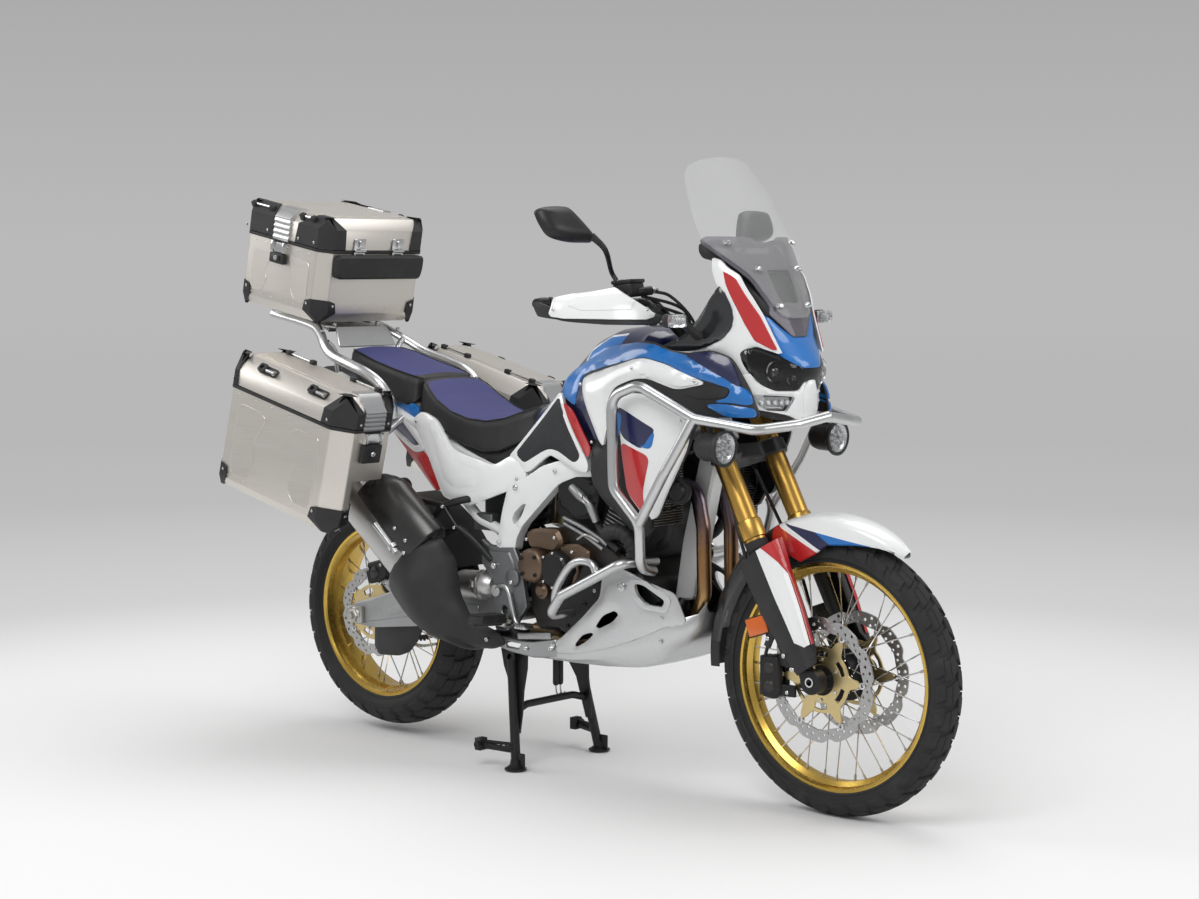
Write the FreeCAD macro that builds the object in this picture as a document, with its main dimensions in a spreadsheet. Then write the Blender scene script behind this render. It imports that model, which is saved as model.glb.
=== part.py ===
import FreeCAD, Part
import math
import os
import Sketcher

# An adventure motorcycle on its centre stand, with three aluminium cases. Millimetres.
# +X points forwards, +Y to the rider's left and +Z up. The origin is on the floor, in the
# middle of the machine's length and width. Distances called "behind" are measured backwards
# from the front axle, and heights from the floor.

doc = FreeCAD.newDocument("AdventureMotorcycle")
sheet = doc.addObject("Spreadsheet::Sheet", "Sizes")
Vector = FreeCAD.Vector


# ---- Sizes that know both their value and their spreadsheet formula --------------------------

class Size:
    """A number together with the expression that gives it in the document."""

    def __init__(self, value, text):
        self.value = float(value)
        self.text = text

    def __add__(self, other):
        other = as_size(other)
        return Size(self.value + other.value, "(%s + %s)" % (self.text, other.text))

    def __sub__(self, other):
        other = as_size(other)
        return Size(self.value - other.value, "(%s - %s)" % (self.text, other.text))

    def __mul__(self, other):
        other = as_size(other)
        return Size(self.value * other.value, "(%s * %s)" % (self.text, other.text))

    def __truediv__(self, other):
        other = as_size(other)
        return Size(self.value / other.value, "(%s / %s)" % (self.text, other.text))

    def __neg__(self):
        return Size(-self.value, "(0 - %s)" % self.text)

    def __radd__(self, other):
        return as_size(other) + self

    def __rsub__(self, other):
        return as_size(other) - self

    def __rmul__(self, other):
        return as_size(other) * self


def as_size(number):
    return number if isinstance(number, Size) else Size(number, repr(float(number)))


def sine(angle):
    return Size(math.sin(math.radians(angle.value)), "sin(%s)" % angle.text)


def cosine(angle):
    return Size(math.cos(math.radians(angle.value)), "cos(%s)" % angle.text)


# columns: alias, value
SIZES = (
    # chassis geometry
    ("front_axle_x", 851), ("wheelbase", 1575), ("rake_angle", 27.5), ("trail", 113),
    ("rear_wheel_lift", 21),
    # front wheel
    ("front_tyre_radius", 348), ("front_tyre_width", 92), ("front_crown_drop", 30),
    ("front_rim_radius", 280), ("front_rim_width", 66), ("front_hub_radius", 36),
    ("front_flange_radius", 60), ("front_flange_spread", 60), ("front_hub_width", 150),
    ("front_disc_radius", 155), ("front_disc_offset", 74), ("front_spokes_per_side", 18),
    # rear wheel
    ("rear_tyre_radius", 334), ("rear_tyre_width", 150), ("rear_crown_drop", 44),
    ("rear_rim_radius", 242), ("rear_rim_width", 116), ("rear_hub_radius", 44),
    ("rear_flange_radius", 70), ("rear_flange_spread", 76), ("rear_hub_width", 168),
    ("rear_disc_radius", 128), ("rear_disc_offset", 90), ("rear_spokes_per_side", 16),
    ("sprocket_radius", 106), ("sprocket_offset", 94),
    # parts common to both wheels
    ("axle_radius", 12), ("axle_bore", 8.5), ("axle_clearance", 0.1), ("spoke_radius", 2), ("rim_wall", 4),
    ("disc_thickness", 4.5), ("disc_ring_width", 34), ("disc_windows", 8), ("sprocket_thickness", 8),
    # fork and steering head
    ("fork_offset", 50), ("fork_spread", 208), ("fork_tube_radius", 27), ("slider_radius", 22),
    ("fork_tube_start", 326), ("fork_tube_end", 856), ("lower_clamp_height", 562),
    ("upper_clamp_height", 805), ("lower_clamp_thickness", 40), ("upper_clamp_thickness", 28),
    ("stem_radius", 17), ("head_tube_radius", 32), ("head_end_gap", 2), ("clamp_margin", 10),
    ("lug_radius", 30), ("lug_width", 36), ("caliper_slot", 15),
    # handlebar
    ("bar_radius", 11), ("bar_forward", 43), ("bar_centre_height", 921), ("bar_rise_height", 1010),
    ("bar_end_height", 1053), ("bar_end_back", 52), ("bar_half_width", 412), ("grip_radius", 17),
    ("grip_length", 120), ("riser_radius", 16), ("riser_spread", 90), ("guard_height", 88),
    ("mirror_height", 1218), ("mirror_forward", 65), ("mirror_side", 378), ("mirror_width", 168),
    ("mirror_thickness", 34),
    # front fender
    ("fender_gap", 24), ("fender_wall", 4), ("fender_half_width", 66), ("fender_skirt", 42),
    ("fender_tip_angle", 60), ("fender_sweep", 113),
    # frame, engine and what hangs on them
    ("spar_radius", 19), ("cradle_radius", 14), ("downtube_radius", 17), ("subframe_radius", 14),
    ("cradle_height", 343), ("cradle_half_width", 130), ("pivot_behind", 985), ("pivot_height", 420),
    ("pivot_plate_half_width", 168), ("pivot_plate_wall", 14), ("swingarm_half_width", 138),
    ("swingarm_wall", 24), ("swingarm_height", 62), ("swingarm_pivot_radius", 26), ("spool_ahead", 90),
    ("spool_radius", 4), ("spool_depth", 18),
    ("engine_front_behind", 474), ("engine_rear_behind", 955), ("engine_bottom", 378),
    ("engine_case_top", 640), ("engine_top", 905), ("engine_half_width", 165),
    ("cylinder_half_width", 112), ("header_radius", 19), ("muffler_radius", 58),
    ("muffler_side", 243), ("skid_half_width", 160), ("skid_wall", 4), ("skid_bottom", 312),
    # bodywork and seats
    ("tank_half_width", 150), ("seat_half_width", 140), ("seat_nose_half_width", 92),
    ("pillion_half_width", 132), ("cover_inner", 152), ("cover_wall", 14), ("fairing_inner", 230),
    ("fairing_wall", 22), ("cowl_half_width", 170), ("cowl_wall", 5), ("screen_wall", 4),
    ("crash_bar_radius", 13), ("rack_radius", 9), ("lamp_radius", 38), ("lamp_side", 234),
    ("lamp_height", 909), ("lamp_behind", 185), ("lamp_depth", 78),
    # top box
    ("top_box_tilt", 10.5), ("top_box_behind", 1686), ("top_box_height", 1180),
    ("top_box_length", 360), ("top_box_width", 404), ("top_box_depth", 213),
    ("top_lid_depth", 87), ("top_box_corner", 34), ("top_lid_bevel", 30),
    # panniers
    ("pannier_tilt", 14), ("pannier_behind", 1357), ("pannier_height", 626),
    ("pannier_length", 500), ("pannier_outer", 472), ("pannier_inner", 252),
    ("pannier_depth", 295), ("pannier_lid_depth", 84), ("pannier_corner", 46),
    ("pannier_lid_bevel", 42), ("exhaust_notch_side", 355), ("exhaust_notch_height", 148),
    ("case_wall", 3), ("lid_gap", 1),
    # stands
    ("stand_pivot_behind", 990), ("stand_pivot_height", 300), ("stand_pivot_side", 131),
    ("stand_foot_behind", 938), ("stand_foot_side", 168), ("stand_leg_radius", 13),
    ("stand_foot_radius", 24), ("stand_foot_thickness", 8), ("side_stand_behind", 850),
    ("side_stand_side", 196), ("side_stand_height", 287), ("side_stand_length", 255),
)


class Dimensions:
    """Every row of SIZES as an attribute, written to the sheet as a plain number."""


dim = Dimensions()
for row_number, (alias, value) in enumerate(SIZES, start=1):
    sheet.set("A%d" % row_number, alias)
    sheet.set("B%d" % row_number, repr(value))
    sheet.setAlias("B%d" % row_number, alias)
    setattr(dim, alias, Size(value, "Sizes.%s" % alias))
doc.recompute()

front_axle_height = dim.front_tyre_radius
rear_axle_height = dim.rear_tyre_radius + dim.rear_wheel_lift
rear_axle_x = dim.front_axle_x - dim.wheelbase
fork_half = dim.fork_spread / 2
steering_foot_x = (dim.front_axle_x + dim.trail
                   - front_axle_height * sine(dim.rake_angle) / cosine(dim.rake_angle))


def behind(distance):
    return dim.front_axle_x - distance


# ---- Document helpers ------------------------------------------------------------------------

finished = {}


def bind(thing, name, amount):
    amount = as_size(amount)
    if "Sizes." in amount.text:
        thing.setExpression(name, amount.text)
    elif name.startswith("Placement.Base") or name.startswith("AttachmentOffset.Base"):
        holder, _, letter = name.split(".")
        place = getattr(thing, holder)
        base = place.Base
        setattr(base, letter, amount.value)
        setattr(thing, holder, FreeCAD.Placement(base, place.Rotation))
    else:
        setattr(thing, name, amount.value)


def place(thing, origin, tilt=None, tilt_axis=Vector(0, 1, 0)):
    if tilt is not None:
        thing.Placement = FreeCAD.Placement(Vector(), FreeCAD.Rotation(tilt_axis, tilt.value))
        thing.setExpression("Placement.Rotation.Angle", tilt.text)
    for letter, amount in zip("xyz", origin):
        bind(thing, "Placement.Base." + letter, amount)


def new_body(name, origin=(0, 0, 0), tilt=None, tilt_axis=Vector(0, 1, 0)):
    body = doc.addObject("PartDesign::Body", name)
    body.Label = name
    body.AllowCompound = True
    place(body, origin, tilt, tilt_axis)
    finished[name] = body
    return body


def origin_plane(body, role):
    return [item for item in body.Origin.OriginFeatures if item.Role == role][0]


def add_ring(sketch, corners):
    """A closed outline of straight sides; a corner is (across, up)."""
    first = sketch.GeometryCount
    count = len(corners)
    for index, start in enumerate(corners):
        end = corners[(index + 1) % count]
        ends = [Vector(as_size(point[0]).value, as_size(point[1]).value, 0) for point in (start, end)]
        sketch.addGeometry(Part.LineSegment(*ends), False)
    for index in range(count):
        following = first + (index + 1) % count
        sketch.addConstraint(Sketcher.Constraint("Coincident", first + index, 2, following, 1))
    for index, corner in enumerate(corners):
        fix_point(sketch, first + index, 1, corner)


def fix_point(sketch, geometry, end, point):
    for kind, amount in zip(("DistanceX", "DistanceY"), point):
        amount = as_size(amount)
        number = sketch.addConstraint(Sketcher.Constraint(kind, -1, 1, geometry, end, amount.value))
        if "Sizes." in amount.text:
            sketch.setExpression("Constraints[%d]" % number, amount.text)


def add_circle(sketch, centre, radius):
    middle = Vector(as_size(centre[0]).value, as_size(centre[1]).value, 0)
    geometry = sketch.addGeometry(Part.Circle(middle, Vector(0, 0, 1), as_size(radius).value), False)
    number = sketch.addConstraint(Sketcher.Constraint("Radius", geometry, as_size(radius).value))
    if "Sizes." in as_size(radius).text:
        sketch.setExpression("Constraints[%d]" % number, as_size(radius).text)
    fix_point(sketch, geometry, 3, centre)


def add_crown(sketch, corners, crown_radius):
    """A closed outline whose first side, from corner 0 to corner 1, is an arc bulging upwards."""
    left, right = [Vector(as_size(c[0]).value, as_size(c[1]).value, 0) for c in corners[:2]]
    half = (right - left).Length / 2
    radius = as_size(crown_radius)
    drop = math.sqrt(radius.value ** 2 - half ** 2)
    middle = Vector((left.x + right.x) / 2, left.y - drop, 0)
    start = math.atan2(right.y - middle.y, right.x - middle.x)
    finish = math.atan2(left.y - middle.y, left.x - middle.x)
    circle = Part.Circle(middle, Vector(0, 0, 1), radius.value)
    sketch.addGeometry(Part.ArcOfCircle(circle, start, finish), False)
    number = sketch.addConstraint(Sketcher.Constraint("Radius", 0, radius.value))
    sketch.setExpression("Constraints[%d]" % number, radius.text)
    rest = list(corners[1:]) + [corners[0]]
    for begin, end in zip(rest[:-1], rest[1:]):
        ends = [Vector(as_size(p[0]).value, as_size(p[1]).value, 0) for p in (begin, end)]
        sketch.addGeometry(Part.LineSegment(*ends), False)
    sketch.addConstraint(Sketcher.Constraint("Coincident", 0, 1, 1, 1))
    for index in range(1, len(rest) - 1):
        sketch.addConstraint(Sketcher.Constraint("Coincident", index, 2, index + 1, 1))
    sketch.addConstraint(Sketcher.Constraint("Coincident", len(rest) - 1, 2, 0, 2))
    fix_point(sketch, 0, 2, corners[0])
    for index, corner in enumerate(corners[1:], start=1):
        fix_point(sketch, index, 1, corner)


def new_sketch(body, role, lift=0, rings=(), circles=()):
    """A sketch on one of the body's own planes, moved along the plane's normal by lift."""
    sketch = body.newObject("Sketcher::SketchObject", body.Name + "_sketch")
    sketch.AttachmentSupport = [(origin_plane(body, role), "")]
    sketch.MapMode = "FlatFace"
    bind(sketch, "AttachmentOffset.Base.z", lift)
    for corners in rings:
        add_ring(sketch, corners)
    for centre, radius in circles:
        add_circle(sketch, centre, radius)
    return sketch


def pad(body, sketch, length, both_ways=False, backwards=False):
    feature = body.newObject("PartDesign::Pad", body.Name + "_pad")
    feature.Profile = sketch
    feature.SideType = "Symmetric" if both_ways else "One side"
    feature.Reversed = backwards
    bind(feature, "Length", length)
    return feature


def pocket(body, sketch, length=None, both_ways=False, backwards=False):
    feature = body.newObject("PartDesign::Pocket", body.Name + "_pocket")
    feature.Profile = sketch
    feature.SideType = "Symmetric" if both_ways else "One side"
    feature.Reversed = backwards
    if length is None:
        feature.Type = "ThroughAll"
    else:
        bind(feature, "Length", length)
    return feature


def revolve(body, sketch, angle=None):
    """Turned about the sketch's own horizontal axis."""
    feature = body.newObject("PartDesign::Revolution", body.Name + "_turned")
    feature.Profile = sketch
    feature.ReferenceAxis = (sketch, ["H_Axis"])
    if angle is None:
        feature.Angle = 360
    else:
        feature.setExpression("Angle", angle.text)
    return feature


def mirrored(body, features):
    """The other side's copy, across the machine's middle plane."""
    feature = body.newObject("PartDesign::Mirrored", body.Name + "_mirrored")
    feature.Originals = list(features)
    feature.MirrorPlane = (origin_plane(body, "XZ_Plane"), [""])
    body.Tip = feature
    return feature


def around(body, features, count, role="Y_Axis"):
    feature = body.newObject("PartDesign::PolarPattern", body.Name + "_pattern")
    feature.Originals = list(features)
    feature.Axis = (origin_plane(body, role), [""])
    feature.Angle = 360
    feature.setExpression("Occurrences", count.text)
    body.Tip = feature
    return feature


def loft(body, sketches, hollow=False):
    kind = "PartDesign::SubtractiveLoft" if hollow else "PartDesign::AdditiveLoft"
    feature = body.newObject(kind, body.Name + "_loft")
    feature.Profile = sketches[0]
    feature.Sections = sketches[1:]
    feature.Ruled = True
    return feature


def feature_of(name, shape, origin=None, tilt=None, tilt_axis=Vector(0, 1, 0)):
    """A sub-part whose shape is worked out here, with its place set afterwards."""
    piece = doc.addObject("Part::Feature", name)
    piece.Label = name
    piece.Shape = shape
    if origin is not None:
        place(piece, origin, tilt, tilt_axis)
    finished[name] = piece
    return piece


def number(amount):
    return as_size(amount).value


def point(back, side, height):
    """A place on the machine: behind the front axle, to the left, above the floor."""
    return Vector(number(behind(back)), number(side), number(height))


def tube(route, radius, bend):
    """A round tube along straight runs joined by arcs of the bend radius."""
    stops = [Vector(stop) for stop in route]
    edges = []
    here = stops[0]
    for before, corner, after in zip(stops[:-2], stops[1:-1], stops[2:]):
        inward = (corner - before).normalize()
        outward = (after - corner).normalize()
        turn = inward.getAngle(outward)
        reach = min(bend * math.tan(turn / 2), 0.48 * (corner - before).Length,
                    0.48 * (after - corner).Length)
        arc_start = corner - inward * reach
        arc_end = corner + outward * reach
        arc_radius = reach / math.tan(turn / 2)
        centre = corner + (outward - inward).normalize() * math.hypot(reach, arc_radius)
        arc_middle = centre + (corner - centre).normalize() * arc_radius
        if (arc_start - here).Length > 1e-4:
            edges.append(Part.LineSegment(here, arc_start).toShape())
        edges.append(Part.Arc(arc_start, arc_middle, arc_end).toShape())
        here = arc_end
    edges.append(Part.LineSegment(here, stops[-1]).toShape())
    path = Part.Wire(edges)
    section = Part.Wire(Part.Circle(stops[0], stops[1] - stops[0], radius).toShape())
    solid = path.makePipeShell([section], True, True)
    expected = math.pi * radius ** 2 * path.Length
    if abs(solid.Volume - expected) > 0.01 * expected:
        raise ValueError("a tube's volume is wrong: %g for %g" % (solid.Volume, expected))
    return solid


def other_side(shape):
    return shape.mirror(Vector(0, 0, 0), Vector(0, 1, 0))


def plate(corners, thickness):
    """A flat plate: the outline's corners moved along the thickness vector."""
    solid = Part.Face(Part.makePolygon(corners + [corners[0]])).extrude(thickness)
    if solid.Volume < 0:
        solid.reverse()
    return solid


def rod(start, end, radius):
    return Part.makeCylinder(radius, (end - start).Length, start, end - start)


def fused(shapes):
    return shapes[0].multiFuse(shapes[1:]).removeSplitter()


def steering_point(forward, side, height):
    """A place given in the steering head's own leaning axes, in machine axes."""
    lean = math.radians(number(dim.rake_angle))
    forward, side, height = number(forward), number(side), number(height)
    across = forward * math.cos(lean) - height * math.sin(lean)
    rise = forward * math.sin(lean) + height * math.cos(lean)
    return Vector(number(steering_foot_x) + across, side, number(front_axle_height) + rise)


def block(low, high):
    size = high - low
    return Part.makeBox(size.x, size.y, size.z, low)


# ---- Wheels ----------------------------------------------------------------------------------

def make_tyre(name, centre, radius, width, crown_drop, rim_radius, rim_width):
    body = new_body(name, centre)
    sketch = new_sketch(body, "YZ_Plane")
    shoulder = radius - crown_drop
    crown = (width * width / 4 + crown_drop * crown_drop) / (2 * crown_drop)
    corners = [(-(width / 2), shoulder), (width / 2, shoulder), (width / 2 - 2, shoulder - 16),
               (rim_width / 2 - 1, rim_radius), (-(rim_width / 2 - 1), rim_radius),
               (-(width / 2 - 2), shoulder - 16)]
    add_crown(sketch, corners, crown)
    revolve(body, sketch)


def make_rim(name, centre, rim_radius, rim_width):
    wall = dim.rim_wall
    half = rim_width / 2
    well = rim_radius - 16
    corners = [(-half, rim_radius), (-(half - wall), rim_radius), (-(half - wall - 2), well),
               (half - wall - 2, well), (half - wall, rim_radius), (half, rim_radius),
               (half, rim_radius - 14), (half / 3, well - wall - 8), (-(half / 3), well - wall - 8),
               (-half, rim_radius - 14)]
    body = new_body(name, centre)
    revolve(body, new_sketch(body, "YZ_Plane", rings=[corners]))


def make_hub(name, centre, hub_radius, flange_radius, spread, width, rim_radius, rim_width, per_side):
    """Hub barrel with two flanges, and crossed spokes that reach the rim's inner face."""
    bore = number(dim.axle_radius + dim.axle_clearance)
    half = number(width) / 2
    barrel = Part.makeCylinder(number(hub_radius), 2 * half, Vector(0, -half, 0), Vector(0, 1, 0))
    pieces = [barrel]
    count = int(number(per_side))
    flange = number(flange_radius)
    outer = number(rim_radius) - 15
    for side in (-1, 1):
        middle = side * number(spread) / 2
        pieces.append(Part.makeCylinder(flange, 7, Vector(0, middle - 3.5, 0), Vector(0, 1, 0)))
        for index in range(count):
            lean = 1 if index % 2 else -1
            rim_angle = 2 * math.pi * (index + 0.25 * side) / count
            hub_angle = rim_angle + lean * math.radians(58)
            foot = flange - 7
            lay = middle + lean * 4.5
            start = Vector(foot * math.cos(hub_angle), lay, foot * math.sin(hub_angle))
            rim_lay = side * (number(rim_width) / 2 - 7)
            end = Vector(outer * math.cos(rim_angle), rim_lay, outer * math.sin(rim_angle))
            pieces.append(rod(start, end, number(dim.spoke_radius)))
    shape = fused(pieces)
    shape = shape.cut(Part.makeCylinder(bore, 4 * half, Vector(0, -2 * half, 0), Vector(0, 1, 0)))
    feature_of(name, shape, centre)


def make_discs(name, centre, radius, offset, hub_radius, sides):
    """Flat brake discs at the given offsets, with windows between their carriers' arms."""
    body = new_body(name, centre)
    inner = radius - dim.disc_ring_width
    for side in sides:
        start = side * offset + dim.disc_thickness / 2
        sketch = new_sketch(body, "XZ_Plane", -start, circles=[((0, 0), radius), ((0, 0), hub_radius)])
        pad(body, sketch, dim.disc_thickness)
    corners = [(hub_radius + 9, -7), (inner - 7, -15), (inner - 7, 15), (hub_radius + 9, 7)]
    window = pocket(body, new_sketch(body, "XZ_Plane", rings=[corners]),
                    4 * offset, both_ways=True)
    around(body, [window], dim.disc_windows)


front_centre = (dim.front_axle_x, 0, front_axle_height)
rear_centre = (rear_axle_x, 0, rear_axle_height)

make_tyre("front_tyre", front_centre, dim.front_tyre_radius, dim.front_tyre_width,
          dim.front_crown_drop, dim.front_rim_radius, dim.front_rim_width)
make_rim("front_rim", front_centre, dim.front_rim_radius, dim.front_rim_width)
make_hub("front_hub", front_centre, dim.front_hub_radius, dim.front_flange_radius,
         dim.front_flange_spread, dim.front_hub_width, dim.front_rim_radius,
         dim.front_rim_width, dim.front_spokes_per_side)
make_discs("front_discs", front_centre, dim.front_disc_radius, dim.front_disc_offset,
           dim.front_hub_radius, (-1, 1))
make_tyre("rear_tyre", rear_centre, dim.rear_tyre_radius, dim.rear_tyre_width,
          dim.rear_crown_drop, dim.rear_rim_radius, dim.rear_rim_width)
make_rim("rear_rim", rear_centre, dim.rear_rim_radius, dim.rear_rim_width)
make_hub("rear_hub", rear_centre, dim.rear_hub_radius, dim.rear_flange_radius,
         dim.rear_flange_spread, dim.rear_hub_width, dim.rear_rim_radius,
         dim.rear_rim_width, dim.rear_spokes_per_side)
make_discs("rear_disc", rear_centre, dim.rear_disc_radius, dim.rear_disc_offset,
           dim.rear_hub_radius, (-1,))

sprocket = new_body("rear_sprocket", rear_centre)
sprocket_sketch = new_sketch(sprocket, "XZ_Plane", -(dim.sprocket_offset + dim.sprocket_thickness / 2),
                             circles=[((0, 0), dim.sprocket_radius), ((0, 0), dim.rear_hub_radius)])
pad(sprocket, sprocket_sketch, dim.sprocket_thickness)


def make_axle(name, centre, half_length):
    """A hollow spindle, open at both ends."""
    body = new_body(name, centre)
    sketch = new_sketch(body, "XZ_Plane", circles=[((0, 0), dim.axle_radius), ((0, 0), dim.axle_bore)])
    pad(body, sketch, 2 * half_length, both_ways=True)


lug_inner = fork_half - dim.slider_radius + 3
make_axle("front_axle", front_centre, lug_inner + dim.lug_width + 6)
make_axle("rear_axle", rear_centre, dim.swingarm_half_width + dim.swingarm_wall / 2 + 12)


# ---- Fork and handlebar, in the steering head's leaning axes ---------------------------------

steering_origin = (steering_foot_x, 0, front_axle_height)
lean_back = -dim.rake_angle
rake = math.radians(number(dim.rake_angle))
axle_forward = number(front_axle_height) * math.sin(rake) - number(dim.trail) * math.cos(rake)


def steering_body(name):
    return new_body(name, steering_origin, lean_back)


def steering_feature(name, shape):
    return feature_of(name, shape, steering_origin, lean_back)


fork_tubes = steering_body("fork_tubes")
fork_circles = [((dim.fork_offset, fork_half), dim.fork_tube_radius),
                ((dim.fork_offset, -fork_half), dim.fork_tube_radius)]
pad(fork_tubes, new_sketch(fork_tubes, "XY_Plane", dim.fork_tube_start, circles=fork_circles),
    dim.fork_tube_end - dim.fork_tube_start)


def make_sliders():
    """Lower fork legs with the lugs that hold the axle."""
    legs = []
    reach = number(dim.lug_width)
    inner = number(lug_inner)
    axle = Vector(axle_forward, 0, -axle_forward * math.tan(rake))
    leg_top = number(dim.fork_tube_start)
    foot = Vector(number(dim.fork_offset), number(fork_half), axle.z - 8)
    leg = rod(foot, Vector(foot.x, foot.y, leg_top), number(dim.slider_radius))
    lug = Part.makeCylinder(number(dim.lug_radius), reach, Vector(axle.x, inner, axle.z), Vector(0, 1, 0))
    bore = Part.makeCylinder(number(dim.axle_radius), 4 * reach, Vector(axle.x, inner - reach, axle.z),
                             Vector(0, 1, 0))
    leg = leg.fuse(lug).cut(bore).removeSplitter()
    legs.append(leg)
    legs.append(other_side(leg))
    steering_feature("fork_sliders", Part.makeCompound(legs))


make_sliders()

clamps = steering_body("fork_clamps")
clamp_side = fork_half + dim.fork_tube_radius + dim.clamp_margin
clamp_front = dim.fork_offset + dim.fork_tube_radius + dim.clamp_margin
clamp_rear = dim.fork_offset - dim.fork_tube_radius - dim.clamp_margin
clamp_outline = [(clamp_front, -clamp_side), (clamp_front, clamp_side), (clamp_rear, clamp_side),
                 (-(dim.stem_radius + 9), dim.stem_radius + 5),
                 (-(dim.stem_radius + 9), -(dim.stem_radius + 5)), (clamp_rear, -clamp_side)]
for clamp_height, clamp_thickness in ((dim.lower_clamp_height, dim.lower_clamp_thickness),
                                      (dim.upper_clamp_height, dim.upper_clamp_thickness)):
    pad(clamps, new_sketch(clamps, "XY_Plane", clamp_height, rings=[clamp_outline], circles=fork_circles),
        clamp_thickness)
pad(clamps, new_sketch(clamps, "XY_Plane", dim.lower_clamp_height, circles=[((0, 0), dim.stem_radius)]),
    dim.upper_clamp_height - dim.lower_clamp_height)


def make_handlebar():
    """Bent bar with grips and the two risers that carry it."""
    forward, low = number(dim.bar_forward), number(dim.bar_centre_height)
    tip = Vector(-number(dim.bar_end_back), number(dim.bar_half_width), number(dim.bar_end_height))
    knee = Vector(forward - 4, 132, number(dim.bar_rise_height))
    foot = Vector(forward, number(dim.riser_spread) / 2 + 22, low)
    route = [Vector(tip.x, -tip.y, tip.z), Vector(knee.x, -knee.y, knee.z), Vector(foot.x, -foot.y, low),
             foot, knee, tip]
    pieces = [tube(route, number(dim.bar_radius), 40)]
    grip_start = tip - (tip - knee).normalize() * number(dim.grip_length)
    top = number(dim.upper_clamp_height + dim.upper_clamp_thickness)
    for mirror_it in (False, True):
        grip = rod(grip_start, tip, number(dim.grip_radius))
        switches = rod(grip_start - (tip - knee).normalize() * 42, grip_start, 22)
        riser = rod(Vector(forward, number(dim.riser_spread) / 2, top),
                    Vector(forward, number(dim.riser_spread) / 2, low + 14), number(dim.riser_radius))
        for shape in (grip, switches, riser):
            pieces.append(other_side(shape) if mirror_it else shape)
    steering_feature("handlebar", fused(pieces))
    return tip, grip_start, knee


bar_tip, grip_start, bar_knee = make_handlebar()


def make_handguards():
    """Curved guards ahead of the grips, held at the bar's ends."""
    wall = 6
    # columns: forward, side
    front_line = ((bar_tip.x - 8, bar_tip.y + 8), (bar_tip.x - 4, bar_tip.y + 46), (10, bar_tip.y + 44),
                  (58, 372), (82, 300), (88, 225), (84, 178))
    half = number(dim.guard_height) / 2
    middle = bar_tip.z + 8
    outer = [Vector(x, y, middle - half) for x, y in front_line]
    inner = [Vector(x - wall, y - wall, middle - half) for x, y in reversed(front_line[2:])]
    inner += [Vector(x + wall, y - wall, middle - half) for x, y in reversed(front_line[:2])]
    guard = plate(outer + inner, Vector(0, 0, 2 * half))
    bolt = rod(bar_tip, bar_tip + Vector(0, 20, 0), 11)
    guard = guard.fuse(bolt).removeSplitter()
    steering_feature("handguards", Part.makeCompound([guard, other_side(guard)]))


make_handguards()


def make_mirrors():
    """Bent stems and flat heads."""
    head_centre = Vector(number(dim.mirror_forward), number(dim.mirror_side), number(dim.mirror_height))
    base = bar_knee + (grip_start - bar_knee) * 0.45 + Vector(0, 0, number(dim.bar_radius) + 0.5)
    route = [base, base + Vector(4, 6, 60), head_centre + Vector(10, -52, -60), head_centre]
    stem = tube(route, 6, 30)
    half_wide, half_high = number(dim.mirror_width) / 2, 48
    depth = number(dim.mirror_thickness)
    # columns: side, up, from the head's centre
    outline = ((-half_wide, -16), (-half_wide + 22, half_high - 10), (20, half_high),
               (half_wide - 12, half_high - 14), (half_wide, 4), (half_wide - 20, -half_high + 8),
               (-half_wide + 30, -half_high + 6))
    corners = [head_centre + Vector(-depth / 2, side, up) for side, up in outline]
    head = plate(corners, Vector(depth, 0, 0))
    mirror = stem.fuse(head).removeSplitter()
    steering_feature("mirrors", Part.makeCompound([mirror, other_side(mirror)]))


make_mirrors()

fender_inner = dim.front_tyre_radius + dim.fender_gap
fender_outer = fender_inner + dim.fender_wall
fender_clear = dim.fender_half_width - dim.fender_wall
fender_section = [(-dim.fender_half_width, fender_inner - dim.fender_skirt),
                  (-dim.fender_half_width, fender_outer - 22), (-(dim.fender_half_width - 26), fender_outer),
                  (dim.fender_half_width - 26, fender_outer), (dim.fender_half_width, fender_outer - 22),
                  (dim.fender_half_width, fender_inner - dim.fender_skirt),
                  (fender_clear, fender_inner - dim.fender_skirt), (fender_clear, fender_inner - 20),
                  (fender_clear - 24, fender_inner), (-(fender_clear - 24), fender_inner),
                  (-fender_clear, fender_inner - 20), (-fender_clear, fender_inner - dim.fender_skirt)]


def make_fender():
    """An arched strip of U section round the front wheel, open below."""
    corners = [Vector(0, number(side), number(radius)) for side, radius in fender_section]
    face = Part.Face(Part.makePolygon(corners + [corners[0]]))
    start = 90 - number(dim.fender_tip_angle)
    face.rotate(Vector(0, 0, 0), Vector(0, 1, 0), start)
    return face.revolve(Vector(0, 0, 0), Vector(0, -1, 0), number(dim.fender_sweep))


feature_of("front_fender", make_fender(), front_centre)


def make_calipers():
    """Blocks that straddle each front disc behind the fork leg."""
    offset, slot = number(dim.front_disc_offset), number(dim.caliper_slot)
    radius = number(dim.front_disc_radius)
    body = block(Vector(-radius - 12, offset - slot / 2 - 14, -58),
                 Vector(-radius + 44, offset + slot / 2 + 14, 42))
    gap = block(Vector(-radius - 5, offset - slot / 2, -70), Vector(-radius + 60, offset + slot / 2, 60))
    caliper = body.cut(gap)
    return Part.makeCompound([caliper, other_side(caliper)])


feature_of("front_calipers", make_calipers(), front_centre)


# ---- Frame -----------------------------------------------------------------------------------

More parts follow.
